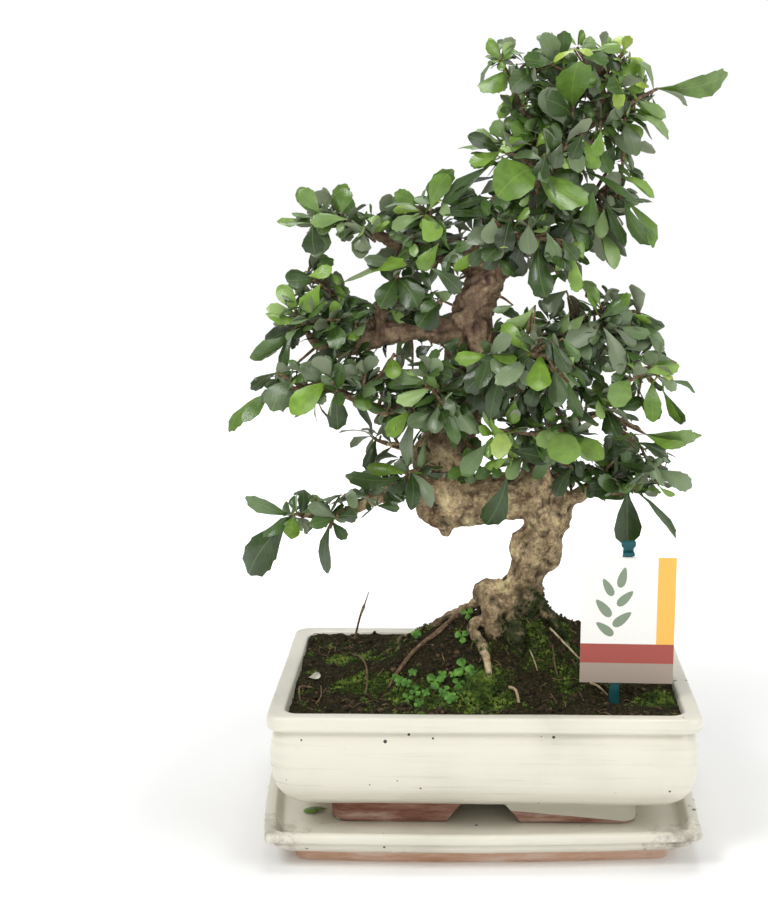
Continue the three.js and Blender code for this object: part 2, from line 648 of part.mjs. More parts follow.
// Each sprig: its depth, its twigs as rows of [x, z, y offset], the leaves read from the front
// view, and how many more the rule adds round the last point of each listed twig.
const SPRIGS = {
  sprig_crown_left: { y: -12, twigs: [[[20, 518, 0], [15, 529, -1], [10, 538, -2]]],
    leaves: [[14, 532, 4, 546, 10, 0], [16, 534, 20, 548, 9, 0], [13, 527, 0, 511, 16, 1, 't']],
    fill: 2, size: 20, out: [-0.5, 0.7, 0.4] },
  sprig_crown_top: { y: 0, twigs: [[[81, 512, 0], [66, 521, -6], [48, 529, -8]],
    [[68, 520, -5], [64, 506, -14], [63, 493, -18]], [[74, 516, -2], [79, 530, 2], [84, 537, 3]]],
    leaves: [[40, 534, 43, 551, 14, 0], [57, 532, 57, 552, 12, 0], [72, 530, 75, 548, 10, 0],
      [64, 490, 67, 531, 25, 3, 't'], [58, 488, 44, 506, 18, 1], [40, 526, 20, 512, 16, 1],
      [86, 537, 98, 547, 8, 0]],
    fill: 3, size: 24, out: [0.1, 0.6, 0.7] },
  sprig_crown_right: { y: -6, twigs: [[[95, 498, 0], [108, 505, -1], [122, 512, 0]],
    [[99, 500, -1], [100, 482, -6], [98, 454, -6]]],
    leaves: [[122, 512, 170, 521, 14, 0, 't'], [99, 495, 130, 477, 9, 0], [108, 504, 128, 492, 8, 1],
      [97, 484, 108, 466, 11, 2], [98, 462, 113, 450, 9, 0], [98, 452, 121, 437, 9, -1],
      [106, 506, 110, 530, 10, 0]],
    fill: 3, size: 24, out: [0.6, 0.5, 0.2] },
  sprig_upper_front: { y: -26, twigs: [[[36, 455, 0], [40, 461, -8], [44, 464, -14]],
    [[39, 460, -6], [22, 468, -2], [12, 471, 2]], [[43, 463, -12], [64, 474, 0], [86, 475, 6]]],
    leaves: [[43, 462, 11, 439, 30, 2], [43, 461, 74, 433, 22, 2, 't'], [13, 470, -9, 463, 10, 0],
      [12, 472, -10, 481, 12, 0], [44, 470, 50, 488, 12, 1, 't'], [65, 478, 68, 455, 13, 1],
      [74, 478, 82, 458, 12, 2], [88, 474, 90, 454, 12, 0], [5, 460, -28, 435, 12, -1]],
    fill: 1, size: 24, out: [-0.2, -0.3, 0.6] },
  sprig_upper_right: { y: -4, twigs: [[[76, 437, 2], [88, 441, 0], [97, 436, -2]],
    [[84, 440, 1], [81, 427, -8], [82, 414, -10]]],
    leaves: [[80, 448, 111, 434, 12, 1], [98, 436, 121, 402, 10, 0], [88, 434, 102, 396, 10, 1],
      [83, 414, 94, 387, 10, 0], [78, 438, 70, 414, 14, 1]],
    fill: 3, size: 25, out: [0.6, 0.4, 0.2] },
  sprig_centre: { y: -26, twigs: [[[28, 407, 0], [33, 412, -6], [38, 409, -10]],
    [[31, 410, -4], [20, 417, -6], [10, 419, -6]], [[36, 410, -9], [54, 406, -8], [64, 398, -6]]],
    leaves: [[22, 422, -28, 428, 12, 0], [40, 403, 45, 368, 18, 1], [64, 396, 68, 371, 10, 1],
      [18, 414, 1, 394, 14, 0], [26, 408, 22, 382, 15, 1], [8, 420, -10, 406, 13, 1]],
    fill: 0, size: 22, out: [0, -1, 0] },
  sprig_middle_right: { y: 2, twigs: [[[98, 353, 0], [108, 357, -2], [114, 353, -2]],
    [[104, 355, -1], [92, 357, -8], [84, 360, -9]]],
    leaves: [[82, 362, 72, 379, 10, 0], [88, 360, 106, 369, 9, 1], [106, 357, 130, 346, 9, 0],
      [86, 352, 60, 334, 16, 1], [94, 348, 103, 313, 13, 1], [114, 350, 130, 332, 8, 0]],
    fill: 3, size: 25, out: [0.6, 0.6, 0.2] },
  sprig_right: { y: -8, twigs: [[[114, 315, 0], [124, 312, 0], [130, 306, 0]],
    [[118, 314, 0], [108, 308, -8], [102, 306, -10]]],
    leaves: [[112, 320, 141, 318, 12, 1, 't'], [128, 312, 139, 300, 9, 0], [103, 306, 95, 288, 18, 1],
      [122, 306, 123, 277, 13, 1], [130, 299, 143, 275, 9, 0]],
    fill: 3, size: 24, out: [0.7, 0.6, 0.1] },
  sprig_front_right: { y: -43, twigs: [[[36, 327, 1], [46, 325, -4], [52, 316, -5]],
    [[41, 326, -2], [24, 326, 0], [10, 318, 6]], [[51, 318, -5], [62, 306, 0]]],
    leaves: [[43, 325, 40, 300, 18, 2], [34, 325, 10, 305, 14, 1], [62, 306, 72, 281, 9, 0],
      [52, 316, 55, 288, 14, 1], [10, 322, -12, 300, 18, 0, 't'], [14, 316, 6, 280, 12, 0],
      [34, 328, 15, 348, 12, 0], [52, 320, 66, 324, 9, 0]],
    fill: 1, size: 24, out: [0.1, -0.2, 0.9] },
  sprig_low_front: { y: -20, twigs: [[[58, 275, 6], [62, 270, -4], [64, 262, -9]],
    [[61, 271, -2], [38, 268, -6], [12, 272, -10]]],
    leaves: [[62, 268, 62, 246, 24, 2], [60, 272, 40, 260, 14, 1], [65, 268, 88, 250, 15, 1],
      [34, 264, 52, 246, 12, 0], [18, 236, 3, 201, 19, 2], [6, 272, 12, 250, 15, 1],
      [14, 270, 25, 250, 10, 0], [4, 262, -15, 240, 14, 0]],
    fill: 1, size: 24, out: [0.2, -0.7, 0.3] },
  sprig_low_right: { y: 7, twigs: [[[99, 224, 0], [107, 229, -2], [112, 227, -3]]],
    leaves: [[108, 226, 106, 186, 21, 1], [113, 225, 141, 191, 9, 0], [103, 230, 78, 226, 11, 0]],
    fill: 3, size: 25, out: [0.5, 0.6, 0.2] },
  sprig_low_right_tip: { y: 20, twigs: [[[126, 236, 0], [135, 234, 0], [140, 231, 0]],
    [[130, 235, 0], [121, 246, -6], [115, 258, -8]]],
    leaves: [[124, 247, 152, 229, 14, 1, 't'], [116, 262, 158, 267, 12, 0, 't'],
      [116, 258, 97, 268, 12, 1]],
    fill: 4, size: 23, out: [0.5, 0.3, 0.5] },
  sprig_right_shelf: { y: -10, twigs: [[[89, 284, 0], [94, 286, -1], [97, 289, -1]],
    [[91, 285, 0], [100, 277, 2], [104, 271, 4]]],
    leaves: [[91, 284, 98, 266, 14, 1], [92, 286, 72, 298, 11, 0], [96, 287, 116, 294, 11, 0]],
    fill: 3, size: 23, out: [0.5, 0.3, 0.5] },
  sprig_upper_left: { y: 22, twigs: [[[-104, 424, 0], [-114, 424, -2], [-122, 421, -4]],
    [[-108, 424, 0], [-101, 430, -6], [-97, 432, -8]]],
    leaves: [[-118, 425, -129, 447, 13, 0], [-98, 430, -96, 449, 12, 0], [-122, 422, -146, 423, 8, 0],
      [-119, 420, -118, 397, 17, 0]],
    fill: 3, size: 22, out: [-0.5, 0.7, 0.2] },
  sprig_upper_left_inner: { y: 12, twigs: [[[-83, 418, 2], [-80, 412, -10], [-76, 408, -16]]],
    leaves: [[-80, 411, -87, 396, 14, 0], [-78, 410, -66, 420, 10, 0]],
    fill: 2, size: 22, out: [-0.1, -0.5, 0.6] },
  sprig_left_top: { y: 6, twigs: [[[-38, 408, 2], [-40, 418, -4], [-40, 428, -6]],
    [[-39, 413, -1], [-30, 410, -10], [-27, 407, -13]], [[-39, 413, -1], [-54, 400, -12], [-62, 393, -16]]],
    leaves: [[-42, 428, -63, 439, 13, 0], [-39, 430, -20, 458, 15, 0], [-42, 422, -66, 418, 12, 0],
      [-30, 410, -20, 392, 14, 0], [-28, 407, -47, 388, 14, 1], [-62, 393, -84, 396, 9, 0]],
    fill: 3, size: 24, out: [0.1, 0.5, 0.6] },
  sprig_left_middle: { y: -14, twigs: [[[-72, 362, 6], [-66, 372, 0], [-60, 384, -4]],
    [[-69, 367, 3], [-48, 364, -8], [-29, 364, -10]]],
    leaves: [[-61, 384, -73, 361, 17, 1], [-58, 384, -46, 361, 20, 0], [-29, 364, -46, 347, 14, 1]],
    fill: 3, size: 24, out: [0.1, -0.3, 0.8] },
  sprig_left_fork: { y: 11, twigs: [[[-110, 375, 0], [-117, 379, 0], [-123, 386, 0]]],
    leaves: [[-119, 381, -141, 384, 13, 0], [-120, 384, -106, 396, 10, 0], [-115, 380, -127, 357, 15, 1],
      [-104, 376, -54, 391, 14, 2, 't']],
    fill: 2, size: 22, out: [-0.3, 0.8, 0.3] },
  sprig_left_tip: { y: -8, twigs: [[[-127, 344, 0], [-131, 354, -1], [-134, 359, -2]],
    [[-130, 351, -1], [-137, 344, -4]], [[-130, 350, -1], [-112, 352, -10], [-102, 352, -14]]],
    leaves: [[-132, 357, -146, 377, 13, 0], [-134, 357, -155, 361, 10, 0], [-132, 352, -157, 335, 12, 0],
      [-137, 344, -168, 325, 8, 0], [-102, 351, -104, 331, 15, 0]],
    fill: 2, size: 22, out: [-0.5, 0.8, 0.1] },
  sprig_left_low_tip: { y: -34, twigs: [[[-126, 301, 0], [-136, 307, 0], [-148, 314, 0]],
    [[-131, 304, 0], [-146, 301, 4], [-158, 298, 6]], [[-130, 303, 0], [-114, 308, -6], [-105, 304, -8]]],
    leaves: [[-137, 308, -153, 286, 20, 1, 't'], [-149, 314, -168, 302, 9, 0],
      [-158, 298, -185, 271, 10, 0, 't'], [-108, 302, -139, 284, 18, 1], [-106, 302, -105, 272, 15, 1],
      [-112, 310, -131, 320, 13, 0]],
    fill: 2, size: 23, out: [-0.5, 0.6, 0.1] },
  sprig_left_low_inner: { y: -26, twigs: [[[-84, 292, 1], [-86, 303, -4], [-84, 313, -4]],
    [[-85, 300, -3], [-70, 316, -4], [-63, 328, -2]]],
    leaves: [[-86, 303, -86, 286, 13, 1], [-84, 313, -76, 326, 10, 0], [-64, 327, -64, 309, 13, 1]],
    fill: 2, size: 22, out: [0.1, 0.6, 0.4] },
  sprig_front_left: { y: -34, twigs: [[[-34, 303, 1], [-40, 304, -5], [-42, 312, -6]],
    [[-37, 303, -2], [-31, 294, -8], [-26, 288, -10]], [[-39, 304, -4], [-52, 291, -1], [-50, 282, 0]]],
    leaves: [[-40, 303, -70, 306, 11, 0], [-38, 300, -62, 292, 12, 1], [-42, 312, -65, 313, 11, 0],
      [-38, 308, -30, 323, 13, 0], [-31, 296, -7, 274, 14, 1], [-26, 289, -18, 261, 9, 0],
      [-32, 289, -34, 269, 12, 1], [-52, 286, -69, 267, 13, 0], [-48, 282, -54, 245, 9, 0]],
    fill: 0, size: 22, out: [-0.3, -0.9, 0.2] },
  sprig_low_left_inner: { y: -18, twigs: [[[-56, 231, 6], [-54, 240, -2], [-46, 242, -8]]],
    leaves: [[-54, 240, -84, 244, 10, 1], [-55, 238, -100, 238, 9, 0], [-53, 238, -69, 217, 12, 1],
      [-49, 240, -52, 212, 11, 1], [-44, 240, -4, 233, 13, 0], [-46, 240, -37, 214, 10, 0]],
    fill: 2, size: 22, out: [-0.2, 0.4, 0.8] },
  sprig_low_left_middle: { y: -18, twigs: [[[-109, 209, 1], [-111, 202, -4], [-112, 198, -5]]],
    leaves: [[-112, 202, -115, 164, 11, 1], [-111, 203, -100, 190, 9, 0]],
    fill: 1, size: 18, out: [-0.3, -0.9, -0.2] },
  sprig_low_left_tip: { y: -20, twigs: [[[-129, 208, 0], [-136, 209, 0], [-142, 207, 0]]],
    leaves: [[-141, 206, -173, 163, 26, 1, 't'], [-140, 208, -174, 222, 11, 0],
      [-136, 210, -131, 226, 9, 0], [-140, 206, -141, 190, 12, 2]],
    fill: 2, size: 22, out: [-0.4, 0.8, 0.1] },
  sprig_back_left_arm: { y: 48, twigs: [[[-102, 346, -3], [-110, 349, 2], [-117, 348, 6]]],
    leaves: [], fill: 6, size: 26, out: [-0.6, 0.6, 0.3] },
  sprig_back_right_arm: { y: 46, twigs: [[[82, 336, -4], [91, 338, 2], [98, 337, 5]]],
    leaves: [], fill: 6, size: 26, out: [0.6, 0.7, 0.3] },
  sprig_back_middle_left: { y: 68, twigs: [[[-43, 342, -4], [-49, 343, 4], [-55, 346, 9]]],
    leaves: [], fill: 7, size: 28, out: [-0.3, 0.9, 0.2] },
  sprig_back_middle_right: { y: 64, twigs: [[[47, 312, -4], [54, 312, 4], [60, 315, 9]]],
    leaves: [], fill: 7, size: 28, out: [0.3, 0.9, 0.2] },
  sprig_back_low_left: { y: 56, twigs: [[[-69, 262, -4], [-76, 264, 4], [-81, 268, 9]]],
    leaves: [], fill: 7, size: 27, out: [-0.5, 0.8, 0.2] },
  sprig_back_low_right: { y: 58, twigs: [[[49, 250, -4], [56, 253, 4], [62, 255, 9]]],
    leaves: [], fill: 7, size: 27, out: [0.4, 0.8, 0.2] },
  sprig_back_upper_left: { y: 56, twigs: [[[-43, 398, -4], [-50, 400, 4], [-56, 402, 8]]],
    leaves: [], fill: 7, size: 26, out: [-0.4, 0.8, 0.3] },
  sprig_back_upper_right: { y: 52, twigs: [[[59, 407, -4], [66, 408, 4], [72, 411, 8]]],
    leaves: [], fill: 7, size: 26, out: [0.5, 0.8, 0.2] },
  sprig_back_top: { y: 36, twigs: [[[35, 464, -4], [31, 470, 4], [27, 475, 8]]],
    leaves: [], fill: 6, size: 25, out: [-0.3, 0.8, 0.4] },
  sprig_back_crown: { y: 28, twigs: [[[79, 491, -4], [84, 497, 3], [90, 502, 7]]],
    leaves: [], fill: 6, size: 24, out: [0.4, 0.8, 0.4] },
  sprig_back_crown_left: { y: 13, twigs: [[[53, 506, -1], [50, 514, 2], [46, 521, 6]]],
    leaves: [], fill: 6, size: 23, out: [-0.4, 0.7, 0.5] },
};

// The ends of the branches. A sprig carries on from the one nearest to it; where none is near, it
// is a side shoot, and leaves its branch where it stands.
const BRANCH_ENDS = [TRUNK[2].stops, ...LIMBS].map((rows) => {
  const stops = stopsOf(rows);
  const curve = new THREE.CatmullRomCurve3(stops.map((stop) => stop[0]), false, 'centripetal');
  return { point: curve.getPoint(1), way: curve.getTangent(1), radius: stops[stops.length - 1][1] };
});

const END_REACH = 9;

function branchEnd(point) {
  return BRANCH_ENDS.find((end) => end.point.distanceTo(point) < END_REACH) ?? null;
}

/** Nearness steps that a leaf read from the front view tries, so that it crosses no other. */
const SHIFTS = [0, -4, 4, -8, 8, -12, 12, -16];

function layOutLeaves() {
  const placed = [];
  const free = (sketch) => !placed.some((other) => cross(sketch, other));
  const plans = Object.entries(SPRIGS).map(([name, sprig]) => {
    const twigs = sprig.twigs.map((rows) => rows.map(([x, z, dy]) => at(x, z, sprig.y + dy)));
    const end = branchEnd(twigs[0][0]);
    const clear = end === null ? 6 : 2.2;
    if (end !== null) twigs[0][0] = end.point.clone().addScaledVector(end.way, 1.1 * GAP);
    for (let i = 1; i < twigs.length; i++) {
      twigs[i][0] = nearestOn(twigs.slice(0, i), twigs[i][0], 0, clear);
    }
    const plan = { name, sprig, twigs, end, clear };
    plan.leaves = sprig.leaves.map((row, order) => {
      const tries = SHIFTS.map((shift) => frontLeaf(row, plan, shift, order));
      const leaf = tries.find((one) => free(bladeSketch(one))) ?? tries[0];
      placed.push(bladeSketch(leaf));
      return leaf;
    });
    return plan;
  });
  for (const { sprig, twigs, leaves } of plans) {
    const outward = vec(...sprig.out).normalize();
    for (let i = 0; i < sprig.fill; i++) {
      const twig = twigs[i % twigs.length];
      for (let attempt = 0; attempt < 6; attempt++) {
        const leaf = ruleLeaf(twig, outward, i, sprig.fill, sprig.size);
        leaf.tip.z -= 3 * attempt;
        const sketch = bladeSketch(leaf);
        if (inWood(sketch) || !free(sketch)) continue;
        placed.push(sketch);
        leaves.push(leaf);
        break;
      }
    }
  }
  return plans;
}

function makeSprig(plan, grow = 0) {
  const parts = plan.twigs.map((stops, i) => {
    const end = i === 0 ? plan.end : null;
    const rows = stops.map((point, k) => [point, k === 0 && end !== null ? end.radius : TWIG_RADIUS]);
    return limb(rows, { sides: 3, steps: 1, grow, lead: end === null ? null : end.way });
  });
  for (const leaf of plan.leaves) parts.push(...makeLeaf(leaf, grow));
  return wasm.Manifold.union(parts);
}

// Label, twig and fallen leaf.

const CARD_CENTRE = vec(101, -64, 147.5);

function makeCard() {
  const card = box(-CARD_WIDTH / 2, CARD_WIDTH / 2, -CARD_THICK / 2, CARD_THICK / 2,
    -CARD_HEIGHT / 2, CARD_HEIGHT / 2);
  return card.rotate([0, 0.8, 0]).translate(CARD_CENTRE.toArray());
}

function makeStake(grow) {
  const front = CARD_CENTRE.y + CARD_THICK / 2 + GAP;
  const stops = [[92, 60], [92.3, 96], [100, 189], [101, 203]];
  const bar = (x, half, z0, z1) => box(x - half - grow, x + half + grow, front - grow, front + 3 + grow,
    z0, z1);
  const foot = loft(stops.map(([x, z], i) => {
    const half = (i === 0 ? 1.2 : STAKE_WIDTH / 2) + grow;
    return [vec(x + half, front - grow, z), vec(x + half, front + 2.4 + grow, z),
      vec(x - half, front + 2.4 + grow, z), vec(x - half, front - grow, z)];
  }));
  const hook = box(97 - grow, 105 + grow, front - 3.2 - grow, front + 2.4 + grow, 193.9 - grow, 196.5);
  return wasm.Manifold.union([foot, hook, bar(101, 5, 199, 203.5)]);
}

function makeDeadTwig(grow) {
  return limb([[at(-99, 70, 80), 1.7], [at(-99, 92, 80), 1.7], [at(-98, 106, 80), 1.6],
    [at(-94, 118, 81), 1.3], [at(-91, 131, 82), 1]], { sides: 5, steps: 1, grow });
}

function makeFallenLeaf() {
  const root = vec(-113, -52, 0.8);
  return makeBlade({
    foot: root, base: root, tip: vec(-131, -57, 0.8), width: 9, normal: vec(0, 0, 1), arch: 0.03,
    outline: ENTIRE,
  });
}

// Assembly.

const COLOURS = {
  glaze: 0xe6e3d2, soil: 0x2c2218, bark: 0x8d7a60, leaf: 0x2f5a2c, drain: 0x30332f,
  card: 0xf2f0ea, stake: 0x1f6f63, twig: 0x6d5137,
};

const bonsai = new THREE.Group();
const plant = new THREE.Group();
plant.position.set(POT_RIGHT, POT_BACK, SAUCER_FLOOR);
bonsai.add(plant);

function addPiece(parent, name, solid, colour, roughness = 0.6) {
  const material = new THREE.MeshStandardMaterial({ color: COLOURS[colour], roughness, metalness: 0 });
  const mesh = new THREE.Mesh(toGeometry(solid), material);
  mesh.name = name;
  parent.add(mesh);
  return mesh;
}

const saucer = addPiece(bonsai, 'saucer', makeSaucer(), 'glaze', 0.25);
saucer.rotation.z = SAUCER_TURN;
addPiece(plant, 'pot', makePot(), 'glaze', 0.25);

const wood = largest(makeWood(0));
const woodRoom = makeWood(GAP);
const stakeRoom = makeStake(GAP);
const twigRoom = makeDeadTwig(GAP);
const meshRoom = wasm.Manifold.union([-DRAIN_X, DRAIN_X].map((x) => (
  box(x - MESH_HALF - GAP, x + MESH_HALF + GAP, -MESH_HALF - GAP, MESH_HALF + GAP, POT_FLOOR - 1,
    POT_FLOOR + MESH_THICK + 2 * GAP))));
addPiece(plant, 'soil', makeSoil(wasm.Manifold.union([woodRoom, stakeRoom, twigRoom]), meshRoom),
  'soil', 1);
addPiece(plant, 'drain_mesh_left', makeDrainMesh(-DRAIN_X), 'drain', 0.7);
addPiece(plant, 'drain_mesh_right', makeDrainMesh(DRAIN_X), 'drain', 0.7);
addPiece(plant, 'trunk', wood, 'bark', 0.9);
addPiece(plant, 'label_card', makeCard(), 'card', 0.4);
addPiece(plant, 'label_stake', makeStake(0), 'stake', 0.4);
addPiece(plant, 'dead_twig', makeDeadTwig(0), 'twig', 0.9);
addPiece(plant, 'fallen_leaf', makeFallenLeaf(), 'leaf', 0.5);

const rooms = [];
for (const plan of layOutLeaves()) {
  let sprig = makeSprig(plan);
  for (const room of [woodRoom, ...rooms]) {
    if (sprig.intersect(room).volume() > 0) sprig = sprig.subtract(room);
  }
  addPiece(plant, plan.name, largest(sprig), 'leaf', 0.35);
  rooms.push(makeSprig(plan, GAP));
}

export default bonsai;
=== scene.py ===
"""A fukien tea bonsai in its glazed pot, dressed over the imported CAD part.

Lengths in the tables are millimetres in the plant's own frame, whose origin is on the saucer's floor
under the middle of the pot. +Z is up and +Y points away from the front. Where a table gives x and z of
the front view, at() slides the point along the line of sight to its depth y.
"""
import math
import random

import bmesh
import bpy
import numpy as np
from mathutils import Matrix, Quaternion, Vector, noise


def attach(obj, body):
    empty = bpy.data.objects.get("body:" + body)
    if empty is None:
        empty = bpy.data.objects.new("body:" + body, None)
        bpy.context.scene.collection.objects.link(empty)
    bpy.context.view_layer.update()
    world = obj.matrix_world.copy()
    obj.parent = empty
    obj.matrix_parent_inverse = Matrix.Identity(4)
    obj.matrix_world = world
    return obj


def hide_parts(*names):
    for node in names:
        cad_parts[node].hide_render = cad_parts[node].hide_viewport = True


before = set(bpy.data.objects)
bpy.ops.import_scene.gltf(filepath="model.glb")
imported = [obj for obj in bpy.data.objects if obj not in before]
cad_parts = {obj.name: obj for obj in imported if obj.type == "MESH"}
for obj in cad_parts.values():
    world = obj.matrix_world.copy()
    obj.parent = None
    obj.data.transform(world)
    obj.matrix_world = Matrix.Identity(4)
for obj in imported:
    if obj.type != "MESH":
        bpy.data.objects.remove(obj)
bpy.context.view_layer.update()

bl_info = {
    "name": "Fukien tea bonsai",
    "version": (1, 0, 0),
    "blender": (4, 5, 0),
    "location": "3D View > Sidebar > Bonsai",
    "description": "Builds a fukien tea bonsai in its glazed pot over the packed CAD part",
    "category": "Object",
}

MM = 0.001
# A noise of this scale has features of about a millimetre.
PER_MM = 1000.0
# The origin of the plant's frame, and the eye of the front view in that frame.
PLANT = Vector((4.0, 3.0, 18.0))
SIGHT = Vector((-8.0, -1183.0, 480.0))
UP = Vector((0.0, 0.0, 1.0))
SIDEWAYS = Vector((1.0, 0.0, 0.0))
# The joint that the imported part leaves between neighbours.
GAP = 0.35
# The range of a random turn, and the turn from one leaf of a whorl to the next, in radians.
TURN = 6.28
SPIRAL = 2.4

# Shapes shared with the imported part.

# The trunk's lengths: stops of [x, z, y, radius], and how lumpy each is.
TRUNK = [
    {"lumps": 0.08, "stops": [[24, 88, 10, 21], [26, 112, 10, 22], [28, 136, 9, 16.5],
        [30, 152, 8, 15.5], [33, 167, 7, 14.6], [37, 176, 7, 18], [41, 186, 6, 19], [46, 198, 5, 15.5],
        [47, 210, 4, 19], [43, 224, 3, 18], [39, 234, 3, 12]]},
    {"lumps": 0.08, "stops": [[60, 212, 5, 11], [44, 219, 4, 17], [24, 224, 3, 17.5],
        [4, 221, 2, 18.5], [-16, 217, 0, 18], [-33, 219, -1, 15], [-47, 224, -3, 9]]},
    {"lumps": 0.07, "stops": [[-24, 214, 0, 13], [-31, 226, 0, 17], [-33, 243, 0, 18.5],
        [-27, 262, 0, 17.5], [-17, 284, 0, 16.5], [-10, 306, 1, 17], [-8, 332, 2, 18], [-8, 354, 2, 16.5],
        [0, 374, 2, 14], [12, 393, 2, 11], [26, 407, 2, 9.4], [38, 420, 2, 8], [46, 436, 1, 6.5],
        [51, 455, 0, 5.5], [61, 475, 0, 4.8], [74, 490, 0, 4.2], [84, 505, 0, 3.2], [82, 516, 0, 2]]},
    # the old knuckle at the foot, and the sawn stump on the shoulder
    {"lumps": 0.1, "stops": [[24, 142, 6, 13], [12, 150, 4, 11.5], [2, 150, 3, 10.5],
        [-6, 150, 2, 6]]},
    {"lumps": 0.1, "stops": [[8, 152, 0, 8], [7, 136, -8, 7.5], [9, 118, -12, 6.5],
        [12, 102, -14, 5]]},
    {"lumps": 0.12, "stops": [[40, 222, -2, 12], [39, 238, -4, 11.5], [37, 247, -5, 9]]},
    {"lumps": 0.1, "stops": [[-30, 210, -1, 9], [-27, 200, -2, 7], [-27, 192, -2, 3]]},
    {"lumps": 0.1, "stops": [[38, 178, 3, 10], [50, 177, 2, 9], [57, 176, 2, 5]]},
]
# Knobs on the trunk: [x, z, y, radius, stretch].
LUMPS = [[4, 381, -8, 9, [1, 0.7, 1]], [-28, 213, -1, 14, [1.4, 1, 1]]]
# Limbs, each as stops of [x, z, y, radius].
LIMBS = [
    # low left
    [[-38, 230, -4, 8], [-60, 229, -8, 6], [-76, 222, -12, 5], [-95, 213, -16, 4.2],
        [-108, 208, -18, 3.4], [-131, 208, -20, 2]],
    # thick middle left, its rising fork, its stub and the arm behind it
    [[-12, 338, 0, 12], [-36, 345, -4, 9.5], [-58, 344, -7, 8], [-84, 336, -8, 7], [-101, 330, -8, 5],
        [-118, 334, -8, 4], [-127.5, 346, -8, 2.2]],
    [[-80, 338, -8, 4.5], [-88, 350, -4, 3.6], [-96, 362, 2, 3], [-112, 376, 11, 1.9]],
    [[-74, 343, -8, 5.5], [-72, 360, -8, 4.4]],
    [[-58, 344, -4, 5.5], [-78, 350, 20, 3.6], [-104, 346, 46, 1.9]],
    # lower middle left
    [[-24, 270, 0, 7], [-45, 287, -12, 5], [-70, 286, -20, 4.2], [-86, 292, -26, 3.6],
        [-110, 302, -31, 2.8], [-128, 301, -34, 1.9]],
    # upper left
    [[4, 392, 2, 8], [-14, 402, 4, 6.5], [-36, 405, 8, 5.4], [-62, 408, 12, 4.4], [-80, 415, 16, 3.6],
        [-106, 425, 22, 1.9]],
    # low right, a twig of it, and the shelf above
    [[54, 212, 4, 8], [68, 221, 4, 6], [80, 228, 5, 4.6], [101, 223, 7, 2.2]],
    [[76, 227, 5, 3.4], [88, 236, 10, 2.8], [112, 240, 16, 2.2], [128, 236, 20, 1.9]],
    [[40, 234, 0, 7], [50, 258, -8, 5], [60, 276, -14, 3.6], [74, 281, -12, 2.8], [88, 284, -10, 1.9]],
    # middle right
    [[-2, 322, 3, 9], [24, 330, 8, 7], [52, 338, 8, 5.4], [76, 345, 5, 4], [99, 353, 2, 2]],
    [[68, 343, 6, 3.4], [90, 330, 0, 2.8], [115, 315, -8, 1.9]],
    [[50, 337, 10, 4], [68, 338, 30, 2.8], [84, 336, 44, 1.9]],
    # towards the front
    [[-12, 300, -8, 6], [-26, 304, -22, 4.2], [-35, 303, -33, 2.2]],
    [[-2, 324, -10, 6.5], [18, 328, -26, 4.6], [37, 327, -43, 2.2]],
    [[8, 388, -4, 6], [20, 400, -18, 4.4], [28, 407, -25, 2.4]],
    [[44, 430, -2, 4.5], [40, 446, -18, 3.4], [37, 453, -25, 2.2]],
    # crown shoots
    [[48, 446, 0, 4], [38, 470, -6, 3.4], [27, 498, -10, 2.8], [20, 519, -12, 1.9]],
    [[66, 482, 0, 3.6], [84, 492, -4, 2.8], [96, 498, -6, 2]],
    [[60, 470, 0, 4], [56, 492, 8, 3], [53, 508, 12, 1.9]],
    [[34, 416, 2, 5], [60, 428, 2, 3.8], [77, 437, 0, 2]],
    # towards the back
    [[-8, 328, 10, 7], [-22, 338, 34, 4.6], [-44, 342, 66, 2]],
    [[-4, 316, 10, 6.5], [22, 312, 34, 4.4], [48, 312, 62, 2]],
    [[-30, 244, 8, 6.5], [-48, 256, 30, 4.2], [-70, 262, 54, 2]],
    [[24, 224, 10, 7], [34, 240, 32, 4.4], [50, 250, 56, 2]],
    [[2, 378, 8, 6], [-20, 392, 30, 3.8], [-44, 398, 54, 2]],
    [[18, 398, 8, 5.5], [40, 406, 30, 3.6], [60, 407, 50, 2]],
    [[46, 438, 4, 4], [34, 465, 34, 2]],
    [[66, 482, 4, 3.4], [80, 492, 26, 2]],
]
# Surface roots: a start in the trunk as [x, z, y, radius], then [x, z, radius] on the soil.
ROOTS = [
    {"start": [4, 148, 4, 6], "along": [[-8, 144, 3.4], [-34, 130, 2.6], [-59, 109, 2.3], [-66, 90, 1.8]]},
    {"start": [6, 144, 8, 5], "along": [[-9, 143, 2.8], [-40, 130, 2.2], [-63, 115, 1.8]]},
    {"start": [12, 132, -2, 6], "along": [[-9, 119, 4.2], [-1, 108, 3.6], [6, 87, 2.8]]},
    {"start": [40, 140, 4, 8], "along": [[46, 131, 4.4], [60, 116, 2.8], [70, 101, 2]]},
    {"start": [22, 128, 4, 9], "along": [[24, 112, 6], [27, 102, 3.6]]},
]
BACK_ROOTS = [
    [[34, 126, 26, 9], [52, 112, 46, 5.6], [66, 88, 62, 3]],
    [[14, 126, 28, 8], [-2, 108, 48, 4.8], [-16, 84, 62, 3]],
]
